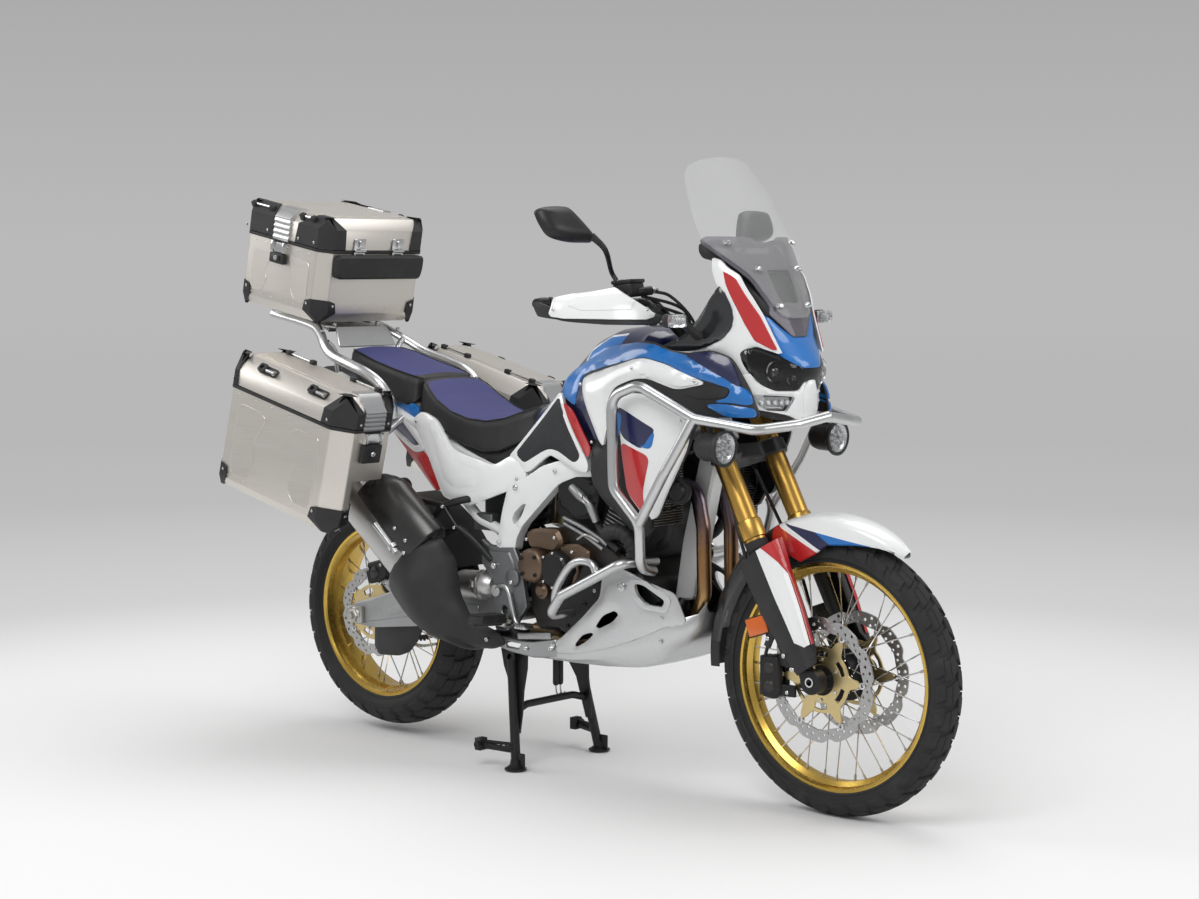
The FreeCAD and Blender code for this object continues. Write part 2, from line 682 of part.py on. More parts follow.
def make_main_frame():
    """Steering head, spars, downtubes, cradle and pivot plates."""
    head_low = number(dim.lower_clamp_height + dim.lower_clamp_thickness + dim.head_end_gap)
    head_high = number(dim.upper_clamp_height - dim.head_end_gap)
    head = rod(steering_point(0, 0, head_low), steering_point(0, 0, head_high), number(dim.head_tube_radius))
    spar_start = steering_point(-22, 20, head_high - 60)
    pivot_x = number(dim.pivot_behind)
    plate_side = number(dim.pivot_plate_half_width - dim.pivot_plate_wall / 2)
    cradle_side, cradle = number(dim.cradle_half_width), number(dim.cradle_height)
    spar = tube([spar_start, point(545, 74, 985), point(610, 128, 930), point(800, plate_side, 805),
                 point(925, plate_side, 660), point(pivot_x - 22, plate_side, 560)],
                number(dim.spar_radius), 60)
    down_radius = number(dim.downtube_radius)
    down = tube([steering_point(-14, 0, head_low + 60), point(425, 0, 790), point(434, 0, 590)],
                down_radius + 3, 50)
    leg = tube([point(433, 6, 606), point(436, 70, 540), point(440, cradle_side, 420)], down_radius, 50)
    lower = tube([point(440, cradle_side, 440), point(446, cradle_side, cradle + 22),
                  point(500, cradle_side, cradle), point(pivot_x - 65, cradle_side, cradle),
                  point(pivot_x - 30, cradle_side, cradle + 40)], number(dim.cradle_radius), 40)
    # columns: behind, height
    plate_line = ((pivot_x - 62, 585), (pivot_x + 4, 600), (pivot_x + 22, 470), (pivot_x + 34, 330),
                  (pivot_x + 26, 268), (pivot_x - 24, 268), (pivot_x - 58, 330), (pivot_x - 36, 450))
    wall = number(dim.pivot_plate_wall)
    inner = number(dim.pivot_plate_half_width) - wall
    corners = [point(back, inner, height) for back, height in plate_line]
    pivot_plate = plate(corners, Vector(0, wall, 0))
    joiner = rod(point(pivot_x - 40, cradle_side, cradle + 28.6),
                 point(pivot_x - 40, inner + 2, cradle + 28.6), 10)
    one_side = [spar, leg, lower, pivot_plate, joiner]
    cross = rod(point(pivot_x - 6, -inner - 2, 582), point(pivot_x - 6, inner + 2, 582), 16)
    shape = fused([head, down, cross] + one_side + [other_side(piece) for piece in one_side])
    bore = rod(steering_point(0, 0, head_low - 5), steering_point(0, 0, head_high + 5),
               number(dim.stem_radius + dim.axle_clearance))
    pivot_bore = rod(point(pivot_x, -inner - 60, number(dim.pivot_height)),
                     point(pivot_x, inner + 60, number(dim.pivot_height)), number(dim.axle_radius))
    stand_bore = rod(point(number(dim.stand_pivot_behind), -inner - 60, number(dim.stand_pivot_height)),
                     point(number(dim.stand_pivot_behind), inner + 60, number(dim.stand_pivot_height)), 8)
    return shape.cut(bore).cut(pivot_bore).cut(stand_bore)


feature_of("main_frame", make_main_frame())


def make_subframe():
    """White rear frame: two seat rails, two lower rails and cross tubes."""
    radius = number(dim.subframe_radius)
    rail = tube([point(800, 118, 800), point(1010, 118, 780), point(1350, 118, 905), point(1690, 112, 1031)],
                radius, 80)
    lower = tube([point(985, 118, 622), point(1120, 118, 660), point(1420, 116, 930)], radius, 80)
    crosses = [rod(point(back, -side, height), point(back, side, height), radius - 3)
               for back, side, height in ((1090, 118, 809), (1350, 118, 905), (1640, 113, 1012))]
    pieces = [rail, lower]
    return fused(crosses + pieces + [other_side(piece) for piece in pieces])


feature_of("subframe", make_subframe())


def make_swingarm():
    """Two box arms from the pivot to the rear axle, joined by a pivot tube and a cross member."""
    arm_centre = number(dim.swingarm_half_width)
    wall, tall = number(dim.swingarm_wall), number(dim.swingarm_height)
    pivot = point(number(dim.pivot_behind), 0, number(dim.pivot_height))
    axle = Vector(number(rear_axle_x), 0, number(rear_axle_height))
    corners = [pivot + Vector(24, 0, -tall / 2 + 4), pivot + Vector(24, 0, tall / 2),
               axle + Vector(60, 0, tall / 2), axle + Vector(-42, 0, tall / 2 - 8),
               axle + Vector(-52, 0, 0), axle + Vector(-42, 0, -tall / 2 + 6),
               axle + Vector(60, 0, -tall / 2)]
    corners = [corner + Vector(0, arm_centre - wall / 2, 0) for corner in corners]
    arm = plate(corners, Vector(0, wall, 0))
    inside = arm_centre + wall / 2
    tube_piece = rod(pivot + Vector(0, -inside, 0), pivot + Vector(0, inside, 0),
                     number(dim.swingarm_pivot_radius))
    front_of_tyre = number(rear_axle_x + dim.rear_tyre_radius) + 40
    cross_height = pivot.z - (pivot.x - front_of_tyre) * (pivot.z - axle.z) / (pivot.x - axle.x)
    cross = block(Vector(front_of_tyre, -arm_centre, cross_height - 22),
                  Vector(front_of_tyre + 50, arm_centre, cross_height + 22))
    shape = fused([arm, other_side(arm), tube_piece, cross])
    pivot_bore = rod(pivot + Vector(0, -400, 0), pivot + Vector(0, 400, 0), number(dim.axle_radius))
    axle_bore = rod(axle + Vector(0, -400, 0), axle + Vector(0, 400, 0), number(dim.axle_radius))
    spool = axle + Vector(number(dim.spool_ahead), 0, 0)
    deep = number(dim.spool_depth)
    for side in (-1, 1):
        mouth = spool + Vector(0, side * inside, 0)
        shape = shape.cut(rod(mouth, mouth - Vector(0, side * deep, 0), number(dim.spool_radius)))
    return shape.cut(pivot_bore).cut(axle_bore)


feature_of("swingarm", make_swingarm())


# ---- Engine and exhaust ----------------------------------------------------------------------

engine = new_body("engine")
engine_front, engine_rear = behind(dim.engine_front_behind), behind(dim.engine_rear_behind)
case_outline = [(engine_front, dim.engine_bottom + 16), (engine_front + -24, dim.engine_bottom),
                (engine_rear + 30, dim.engine_bottom), (engine_rear, dim.engine_bottom + 40),
                (engine_rear, dim.engine_case_top - 60), (engine_rear + 130, dim.engine_case_top),
                (engine_front, dim.engine_case_top)]
cylinder_outline = [(engine_front - 8, dim.engine_case_top - 20), (engine_front - 26, dim.engine_top),
                    (engine_front - 236, dim.engine_top), (engine_front - 260, dim.engine_case_top - 20)]
pad(engine, new_sketch(engine, "XZ_Plane", rings=[case_outline]), 2 * dim.cradle_half_width - 34,
    both_ways=True)
pad(engine, new_sketch(engine, "XZ_Plane", rings=[cylinder_outline]), 2 * dim.cylinder_half_width,
    both_ways=True)
clutch = new_sketch(engine, "XZ_Plane", circles=[((behind(822), 545), 88)])
pad(engine, clutch, 2 * dim.engine_half_width + 50, both_ways=True)
flywheel = new_sketch(engine, "XZ_Plane", circles=[((behind(640), 480), 74)])
pad(engine, flywheel, 2 * (dim.skid_half_width - dim.skid_wall - 6), both_ways=True)
chain_room = new_sketch(engine, "XZ_Plane", -(dim.sprocket_offset - 12),
                        rings=[[(behind(880), 340), (behind(1000), 340), (behind(1000), 482),
                                (behind(880), 482)]])
pocket(engine, chain_room, 90)


def make_headers():
    """Two pipes from the cylinders, down in front of the engine and back beneath it."""
    radius = number(dim.header_radius)
    pipes = []
    for side in (56, -56):
        pipes.append(tube([point(497, side, 800), point(412, side, 792), point(388, side, 690),
                           point(384, side, 520), point(412, side, 446), point(478, side * 0.6, 351),
                           point(900, side * 0.4, 348)], radius, 60))
    collector = rod(point(870, 0, 347), point(1020, 0, 347), 27)
    return fused(pipes + [collector])


feature_of("exhaust_headers", make_headers())


def make_muffler():
    """Link pipe, tapered cover and the silencer can, rising to the rear on the right."""
    side = -number(dim.muffler_side)
    radius = number(dim.muffler_radius)
    link = tube([point(1020, 0, 347), point(1066, -20, 344), point(1084, -190, 336), point(1150, side, 380),
                 point(1225, side, 452)], number(dim.header_radius) + 3, 40)
    start, finish = point(1190, side, 428), point(1600, side, 778)
    along = (finish - start).normalize()
    cone = Part.makeCone(34, radius, 130, start, along)
    can = Part.makeCylinder(radius, (finish - start).Length - 130, start + along * 130, along)
    hollow = Part.makeCylinder(radius - 14, 40, finish - along * 40, along)
    return fused([link, cone, can]).cut(hollow)


feature_of("muffler", make_muffler())

skid = new_body("skid_plate")
skid_low = dim.skid_bottom
skid_outline = [(behind(388), 446), (behind(402), 372), (behind(470), skid_low + 10), (behind(560), skid_low),
                (behind(905), skid_low), (behind(925), skid_low + 24), (behind(800), 372), (behind(640), 470),
                (behind(500), 565), (behind(440), 520)]
skid_inner = [(behind(380), 452), (behind(402) - dim.skid_wall, 376), (behind(470), skid_low + 15),
              (behind(560), skid_low + dim.skid_wall), (behind(940), skid_low + dim.skid_wall),
              (behind(940), 620), (behind(380), 620)]
pad(skid, new_sketch(skid, "XZ_Plane", rings=[skid_outline]), 2 * dim.skid_half_width, both_ways=True)
pocket(skid, new_sketch(skid, "XZ_Plane", rings=[skid_inner]),
       2 * (dim.skid_half_width - dim.skid_wall), both_ways=True)

radiators = new_body("radiators")
radiator_outline = [(behind(404), 700), (behind(436), 880), (behind(478), 872), (behind(446), 694)]
radiator_pad = pad(radiators, new_sketch(radiators, "XZ_Plane", -118, rings=[radiator_outline]), 104,
                   backwards=True)
mirrored(radiators, [radiator_pad])


# ---- Bodywork --------------------------------------------------------------------------------

tank = new_body("fuel_tank")
tank_outline = [(behind(566), 1015), (behind(566), 1110), (behind(606), 1162), (behind(668), 1168),
                (behind(760), 1095), (behind(955), 885), (behind(950), 862), (behind(840), 870),
                (behind(760), 925), (behind(640), 962)]
pad(tank, new_sketch(tank, "XZ_Plane", rings=[tank_outline]), 2 * dim.tank_half_width, both_ways=True)
tank_narrow = [[(behind(1000), side * 230), (behind(1000), side * dim.seat_nose_half_width),
                (behind(760), side * dim.tank_half_width), (behind(760), side * 230)] for side in (-1, 1)]
pocket(tank, new_sketch(tank, "XY_Plane", rings=tank_narrow), None, both_ways=True)

rider = new_body("rider_seat")
rider_outline = [(behind(962), 872), (behind(1000), 868), (behind(1100), 880), (behind(1240), 915),
                 (behind(1330), 985), (behind(1352), 975), (behind(1352), 930), (behind(1200), 872),
                 (behind(1100), 836), (behind(1010), 806), (behind(975), 812)]
pad(rider, new_sketch(rider, "XZ_Plane", rings=[rider_outline]), 2 * dim.seat_half_width, both_ways=True)
rider_narrow = [[(behind(940), side * 200), (behind(940), side * dim.seat_nose_half_width),
                 (behind(1180), side * dim.seat_half_width), (behind(1180), side * 200)] for side in (-1, 1)]
pocket(rider, new_sketch(rider, "XY_Plane", rings=rider_narrow), None, both_ways=True)

pillion = new_body("pillion_seat")
pillion_outline = [(behind(1356), 962), (behind(1356), 1028), (behind(1400), 1046), (behind(1640), 1112),
                   (behind(1672), 1108), (behind(1676), 1070), (behind(1660), 1056)]
pad(pillion, new_sketch(pillion, "XZ_Plane", rings=[pillion_outline]), 2 * dim.pillion_half_width,
    both_ways=True)

covers = new_body("side_covers")
cover_outline = [(behind(948), 842), (behind(1146), 852), (behind(1329), 949), (behind(1374), 918),
                 (behind(1262), 726), (behind(1124), 702), (behind(1040), 770), (behind(960), 800)]
cover_pad = pad(covers, new_sketch(covers, "XZ_Plane", -dim.cover_inner, rings=[cover_outline]),
                dim.cover_wall, backwards=True)
mirrored(covers, [cover_pad])

tail = new_body("rear_fender")
tail_outline = [(behind(1400), 876), (behind(1600), 968), (behind(1676), 994), (behind(1704), 1046),
                (behind(1762), 1052), (behind(1800), 1010), (behind(1900), 760), (behind(1888), 755),
                (behind(1770), 930), (behind(1640), 900), (behind(1420), 840)]
pad(tail, new_sketch(tail, "XZ_Plane", rings=[tail_outline]), 170, both_ways=True)

fairings = new_body("side_fairings")
fairing_outline = [(behind(196), 1096), (behind(330), 1196), (behind(500), 1172), (behind(640), 1060),
                   (behind(580), 900), (behind(462), 720), (behind(408), 722), (behind(300), 955),
                   (behind(214), 1028)]
fairing_pad = pad(fairings, new_sketch(fairings, "XZ_Plane", -dim.fairing_inner, rings=[fairing_outline]),
                  dim.fairing_wall, backwards=True)
mirrored(fairings, [fairing_pad])

cowl = new_body("front_cowl")
cowl_outline = [(behind(88), 1106), (behind(98), 990), (behind(160), 962), (behind(222), 996),
                (behind(296), 1130), (behind(290), 1366), (behind(274), 1368), (behind(150), 1210)]
pad(cowl, new_sketch(cowl, "XZ_Plane", rings=[cowl_outline]), 2 * dim.cowl_half_width, both_ways=True)
nose_side = [[(behind(60), side * 24), (behind(60), side * 260), (behind(230), side * 260),
              (behind(230), side * dim.cowl_half_width), (behind(88), side * 24)] for side in (-1, 1)]
pocket(cowl, new_sketch(cowl, "XY_Plane", rings=nose_side), None, both_ways=True)
cowl_inside = [(behind(150), 1100), (behind(170), 1010), (behind(400), 1010), (behind(400), 1400),
               (behind(306), 1400)]
pocket(cowl, new_sketch(cowl, "XZ_Plane", rings=[cowl_inside]),
       2 * (dim.cowl_half_width - dim.cowl_wall), both_ways=True)
cowl_top = [(behind(100), 1206), (behind(400), 1206), (behind(400), 1400), (behind(100), 1400)]
pocket(cowl, new_sketch(cowl, "XZ_Plane", rings=[cowl_top]), 2 * (dim.cowl_half_width - 24),
       both_ways=True)
cowl_mouth = [(behind(60), 1000), (behind(60), 1088), (behind(200), 1088), (behind(200), 1000)]
pocket(cowl, new_sketch(cowl, "XZ_Plane", rings=[cowl_mouth]), 2 * (dim.cowl_half_width - 60),
       both_ways=True)

headlamp = new_body("headlamp")
lamp_outline = [(behind(104), 1004), (behind(104), 1084), (behind(196), 1084), (behind(196), 1014)]
pad(headlamp, new_sketch(headlamp, "XZ_Plane", rings=[lamp_outline]), 2 * (dim.cowl_half_width - 62),
    both_ways=True)
lamp_side_cut = [[(behind(80), side * 20), (behind(80), side * 200), (behind(176), side * 200),
                  (behind(176), side * 108), (behind(104), side * 40)] for side in (-1, 1)]
pocket(headlamp, new_sketch(headlamp, "XY_Plane", rings=lamp_side_cut), None, both_ways=True)


def arc_band(back, half_width, depth, height, wall):
    """A horizontal band, bowed forwards at its middle."""
    middle = point(back, 0, height)
    edges = []
    for inset in (0, wall):
        left = Vector(middle.x - depth - inset, half_width, height)
        right = Vector(middle.x - depth - inset, -half_width, height)
        top = Vector(middle.x - inset, 0, height)
        edges.append((left, top, right))
    outer, inner = edges
    return Part.Wire([Part.Arc(*outer).toShape(), Part.LineSegment(outer[2], inner[2]).toShape(),
                      Part.Arc(inner[2], inner[1], inner[0]).toShape(),
                      Part.LineSegment(inner[0], outer[0]).toShape()])


def make_screen():
    wall = number(dim.screen_wall) + 3
    # columns: behind, half width, bow, height
    levels = ((146, 84, 34, 1214), (238, 140, 56, 1392), (322, 142, 58, 1530), (366, 112, 40, 1594),
              (388, 62, 14, 1626))
    wires = [arc_band(back, half, bow, height, wall) for back, half, bow, height in levels]
    return Part.makeLoft(wires, True, True)


feature_of("windscreen", make_screen())

display = new_body("instrument_panel")
display_outline = [(behind(262), 1285), (behind(288), 1376), (behind(314), 1370), (behind(290), 1280)]
pad(display, new_sketch(display, "XZ_Plane", rings=[display_outline]), 170, both_ways=True)


def make_signals():
    """Small lamps on stalks."""
    centre = point(286, 299, 1223)
    lamp = block(centre - Vector(28, 32, 17), centre + Vector(28, 28, 17))
    stalk = rod(centre - Vector(0, 32, 0), centre - Vector(0, 104, 12), 8)
    rear = block(point(1790, 160, 1000), point(1742, 216, 1034))
    rear_stalk = rod(point(1766, 162, 1017), point(1766, 85, 1017), 8)
    pieces = [lamp.fuse(stalk).removeSplitter(), rear.fuse(rear_stalk).removeSplitter()]
    return Part.makeCompound(pieces + [other_side(piece) for piece in pieces])


feature_of("turn_signals", make_signals())


def make_fog_lamps():
    face = point(number(dim.lamp_behind), number(dim.lamp_side), number(dim.lamp_height))
    radius, depth = number(dim.lamp_radius), number(dim.lamp_depth)
    lamp = Part.makeCylinder(radius, depth, face - Vector(depth, 0, 0), Vector(1, 0, 0))
    bracket = rod(face + Vector(-depth / 2, 0, radius - 4), face + Vector(-depth / 2, -14, radius + 12), 9)
    lamp = lamp.fuse(bracket).removeSplitter()
    return Part.makeCompound([lamp, other_side(lamp)])


feature_of("fog_lamps", make_fog_lamps())


# ---- Bars, racks and pegs --------------------------------------------------------------------

def make_upper_bars():
    radius = number(dim.crash_bar_radius)
    nose = [point(44, 0, 988), point(58, 110, 972), point(104, 214, 962), point(250, 268, 985),
            point(408, 292, 1062), point(498, 290, 1030)]
    down = [point(498, 290, 1030), point(490, 290, 800), point(418, 274, 716), point(432, 252, 600),
            point(452, 178, 585)]
    left = [tube(nose + down[1:], radius, 50), tube([point(250, 268, 985), point(330, 282, 850),
            point(418, 274, 716)], radius, 60)]
    return fused(left + [other_side(piece) for piece in left])


feature_of("upper_crash_bars", make_upper_bars())


def make_lower_bars():
    radius = number(dim.crash_bar_radius)
    case_side = number(dim.cradle_half_width - 20)
    loop = tube([point(500, case_side, 600), point(504, 240, 606), point(700, 252, 505),
                 point(752, 240, 448), point(748, case_side, 446)], radius, 30)
    return Part.makeCompound([loop, other_side(loop)])


feature_of("lower_crash_bars", make_lower_bars())


def make_racks():
    """Grab rails with the top carrier plate, and the hoops that hold the side cases."""
    radius = number(dim.rack_radius)
    rail = tube([point(1384, 118, 918), point(1391, 160, 942), point(1398, 160, 1044), point(1650, 150, 1150),
                 point(1760, 120, 1178), point(1990, 96, 1212)], radius + 2, 40)
    plate_start = number(dim.top_box_behind) + 30
    tilt = math.radians(number(dim.top_box_tilt))
    low = Vector(number(behind(plate_start)), 0, number(dim.top_box_height) + 30 * math.tan(tilt) - 12)
    carrier = Part.makeBox(280, 230, 10, Vector(-280, -115, 0))
    carrier.Placement = FreeCAD.Placement(low, FreeCAD.Rotation(Vector(0, 1, 0), number(dim.top_box_tilt)))
    posts = [rod(point(1690, 112, 1032), point(1700, 138, 1163), radius)]
    hoop_side = number(dim.pannier_inner) - 16
    hoop = tube([point(1392, hoop_side, 890), point(1392, hoop_side, 872), point(1490, hoop_side, 850),
                 point(1740, hoop_side, 912), point(1752, hoop_side, 985), point(1420, hoop_side, 905),
                 point(1400, hoop_side, 900)], radius, 24)
    arms = [rod(point(1420, 118, 948), point(1410, hoop_side, 903), radius),
            rod(point(1660, 112, 1035), point(1700, hoop_side, 973), radius)]
    left = [rail, hoop] + posts + arms
    return fused([carrier] + left + [other_side(piece) for piece in left])


feature_of("luggage_racks", make_racks())


def make_pegs():
    side = number(dim.pivot_plate_half_width)
    rider_peg = [rod(point(968, side - 2, 402), point(968, 300, 412), 13),
                 block(point(990, side - 2, 385), point(946, side + 24, 422))]
    peg = fused(rider_peg)
    bracket = tube([point(1130, 142, 672), point(1280, 160, 570), point(1330, 166, 545)], 9, 60)
    upper = tube([point(1330, 141, 850), point(1330, 145, 700), point(1322, 164, 556)], 9, 60)
    passenger = fused([bracket, upper, rod(point(1322, 160, 552), point(1322, 172, 552), 12)])
    return Part.makeCompound([peg, other_side(peg), passenger, other_side(passenger)])


feature_of("footpegs", make_pegs())


# ---- Rear suspension and drive ---------------------------------------------------------------

def make_shock():
    low, high = point(1090, 0, 400), point(1000, 0, 780)
    along = (high - low).normalize()
    spring = Part.makeCylinder(38, 200, low + along * 120, along)
    return fused([rod(low + along * 30, high, 13), spring])


feature_of("shock_absorber", make_shock())


def make_chain():
    """One closed loop round the engine's sprocket and the wheel's."""
    side = number(dim.sprocket_offset)
    width = 9
    front = point(930, side - width / 2 + 12, 420)
    rear = Vector(number(rear_axle_x), side - width / 2, number(rear_axle_height))
    front.y = rear.y
    front_radius, rear_radius = 38, number(dim.sprocket_radius) + 14
    reach = front - rear
    spread = math.acos((rear_radius - front_radius) / reach.Length)
    slope = math.atan2(reach.z, reach.x)

    def loop(shrink):
        stops = []
        for sign in (1, -1):
            angle = slope + sign * spread
            direction = Vector(math.cos(angle), 0, math.sin(angle))
            stops.append((rear + direction * (rear_radius - shrink),
                          front + direction * (front_radius - shrink)))
        ahead = Vector(math.cos(slope), 0, math.sin(slope))
        edges = [Part.LineSegment(stops[0][0], stops[0][1]).toShape(),
                 Part.Arc(stops[0][1], front + ahead * (front_radius - shrink), stops[1][1]).toShape(),
                 Part.LineSegment(stops[1][1], stops[1][0]).toShape(),
                 Part.Arc(stops[1][0], rear - ahead * (rear_radius - shrink), stops[0][0]).toShape()]
        return Part.Face(Part.Wire(edges)).extrude(Vector(0, width, 0))

    return loop(0).cut(loop(9))


feature_of("drive_chain", make_chain())


def make_rear_caliper():
    offset, radius = number(dim.rear_disc_offset), number(dim.rear_disc_radius)
    slot = number(dim.caliper_slot)
    body = block(Vector(-10, -offset - slot / 2 - 10, radius - 34),
                 Vector(78, -offset + slot / 2 + 14, radius + 22))
    gap = block(Vector(-30, -offset - slot / 2, radius - 60), Vector(100, -offset + slot / 2, radius + 5))
    return body.cut(gap)


feature_of("rear_caliper", make_rear_caliper(), rear_centre)


def make_hugger():
    """Arched guard over the front of the rear tyre, with the chain's cover."""
    radius = number(dim.rear_tyre_radius) + 18
    half = number(dim.rear_tyre_width) / 2 + 12
    face = Part.Face(Part.makePolygon([Vector(0, -half, radius), Vector(0, half, radius),
                                       Vector(0, half, radius + 4), Vector(0, -half, radius + 4),
                                       Vector(0, -half, radius)]))
    face.rotate(Vector(0, 0, 0), Vector(0, 1, 0), 14)
    return face.revolve(Vector(0, 0, 0), Vector(0, 1, 0), 50)


feature_of("rear_hugger", make_hugger(), rear_centre)


# ---- Stands ----------------------------------------------------------------------------------

def make_centre_stand():
    pivot_side, foot_side = number(dim.stand_pivot_side), number(dim.stand_foot_side)
    radius = number(dim.stand_leg_radius)
    pivot = point(number(dim.stand_pivot_behind), pivot_side, number(dim.stand_pivot_height))
    thick = number(dim.stand_foot_thickness)
    foot = point(number(dim.stand_foot_behind), foot_side, 0)
    leg = rod(pivot, foot + Vector(0, 0, thick), radius)
    sole = Part.makeCylinder(number(dim.stand_foot_radius), thick, foot, Vector(0, 0, 1))
    eye = rod(pivot - Vector(0, 14, 0), pivot + Vector(0, 8, 0), radius + 6)
    middle = pivot + (foot - pivot) * 0.5
    other_middle = Vector(middle.x, -middle.y, middle.z)
    brace = tube([middle, middle + Vector(-6, -56, 16), other_middle + Vector(-6, 56, 16), other_middle],
                 10, 60)
    lever = tube([foot + Vector(-10, 2, 60), foot + Vector(-40, 10, 56), foot + Vector(-104, 24, 62)], 7, 30)
    tread = rod(foot + Vector(-104, 10, 62), foot + Vector(-104, 46, 62), 10)
    one_side = [leg, sole, eye, lever, tread]
    shape = fused([brace] + one_side + [other_side(piece) for piece in one_side])
    bore = rod(pivot - Vector(0, 600, 0), pivot + Vector(0, 200, 0), 8 + number(dim.axle_clearance))
    return shape.cut(bore)


feature_of("centre_stand", make_centre_stand())


def make_side_stand():
    pivot = point(number(dim.side_stand_behind), number(dim.side_stand_side), number(dim.side_stand_height))
    length = number(dim.side_stand_length)
    leg = rod(pivot, pivot + Vector(-length, 10, 4), 11)
    foot = block(pivot + Vector(-length - 30, -12, -14), pivot + Vector(-length + 22, 34, -6))
    root = rod(pivot - Vector(0, 14, 0), pivot + Vector(0, 14, 0), 16)
    pad_plate = block(pivot + Vector(-length - 12, -4, -10), pivot + Vector(-length + 8, 14, 8))
    return fused([leg, root, foot, pad_plate])


feature_of("side_stand", make_side_stand())


# ---- Cases -----------------------------------------------------------------------------------

def box_plan(length, low_side, high_side, corner, inset=0):
    """A rectangle with its four corners cut, running backwards from the local origin."""
    front, back = -inset, -(length - inset)
    low, high = low_side + inset, high_side - inset
    return [(front - corner, low), (front, low + corner), (front, high - corner), (front - corner, high),
            (back + corner, high), (back, high - corner), (back, low + corner), (back + corner, low)]


def add_case(body, length, low_side, high_side, corner, depth):
    wall = dim.case_wall
    pad(body, new_sketch(body, "XY_Plane", rings=[box_plan(length, low_side, high_side, corner)]), depth)
    inside = new_sketch(body, "XY_Plane", depth,
                        rings=[box_plan(length, low_side, high_side, corner, wall)])
    pocket(body, inside, depth - wall)


def add_lid(body, length, low_side, high_side, corner, start, depth, bevel):
    wall = dim.case_wall
    levels = ((start, 0), (start + depth - bevel, 0), (start + depth, bevel))
    outer = [new_sketch(body, "XY_Plane", level,
                        rings=[box_plan(length, low_side, high_side, corner, inset)])
             for level, inset in levels]
    loft(body, outer)
    levels = ((start, wall), (start + depth - bevel - wall, wall), (start + depth - wall, bevel + wall))
    inner = [new_sketch(body, "XY_Plane", level,
                        rings=[box_plan(length, low_side, high_side, corner, inset)])
             for level, inset in levels]
    loft(body, inner, hollow=True)


top_origin = (behind(dim.top_box_behind), 0, dim.top_box_height)
top_half = dim.top_box_width / 2
top_box = new_body("top_box", top_origin, dim.top_box_tilt)
add_case(top_box, dim.top_box_length, -top_half, top_half, dim.top_box_corner, dim.top_box_depth)
top_lid = new_body("top_box_lid", top_origin, dim.top_box_tilt)
add_lid(top_lid, dim.top_box_length, -top_half, top_half, dim.top_box_corner,
        dim.top_box_depth + dim.lid_gap, dim.top_lid_depth, dim.top_lid_bevel)

pannier_origin = (behind(dim.pannier_behind), 0, dim.pannier_height)


def make_pannier(name, low_side, high_side):
    body = new_body(name, pannier_origin, dim.pannier_tilt)
    add_case(body, dim.pannier_length, low_side, high_side, dim.pannier_corner, dim.pannier_depth)
    return body


def make_pannier_lid(name, low_side, high_side):
    body = new_body(name, pannier_origin, dim.pannier_tilt)
    add_lid(body, dim.pannier_length, low_side, high_side, dim.pannier_corner,
            dim.pannier_depth + dim.lid_gap, dim.pannier_lid_depth, dim.pannier_lid_bevel)


make_pannier("left_pannier", dim.pannier_inner, dim.pannier_outer)
right_pannier = make_pannier("right_pannier", -dim.pannier_outer, -dim.pannier_inner)
# the notch for the silencer: a solid block is added first, then all but its wall is cut away
notch_front, notch_back = 5, -dim.pannier_length - 5
notch_inner = -dim.pannier_inner + 5
wall_side = -dim.exhaust_notch_side - dim.case_wall
notch = [(notch_front, -dim.exhaust_notch_side), (notch_front, notch_inner),
         (notch_back, notch_inner), (notch_back, -dim.exhaust_notch_side)]
notch_block = [(notch_front - 8, wall_side), (notch_front - 8, notch_inner),
               (notch_back + 8, notch_inner), (notch_back + 8, wall_side)]
pad(right_pannier, new_sketch(right_pannier, "XY_Plane", rings=[notch_block]),
    dim.exhaust_notch_height + dim.case_wall)
pocket(right_pannier, new_sketch(right_pannier, "XY_Plane", rings=[notch]), dim.exhaust_notch_height,
       backwards=True)
make_pannier_lid("left_pannier_lid", dim.pannier_inner, dim.pannier_outer)
make_pannier_lid("right_pannier_lid", -dim.pannier_outer, -dim.pannier_inner)


# ---- Check and write -------------------------------------------------------------------------

doc.recompute()
for item in doc.Objects:
    if "Invalid" in item.State or "Error" in item.State:
        raise RuntimeError("%s did not build: %s" % (item.Name, item.State))
for name, piece in finished.items():
    if piece.Shape.isNull() or not piece.Shape.isValid() or not piece.Shape.Solids:
        raise RuntimeError("%s has no valid solid" % name)
os.makedirs("parts", exist_ok=True)
for name, piece in finished.items():
    piece.Shape.exportStep(os.path.join("parts", name + ".step"))
    print(name, len(piece.Shape.Solids), round(piece.Shape.Volume / 1e6, 3))
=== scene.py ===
import math
import bmesh
import bpy
import numpy as np
from mathutils import Matrix, Vector
from mathutils.geometry import delaunay_2d_cdt


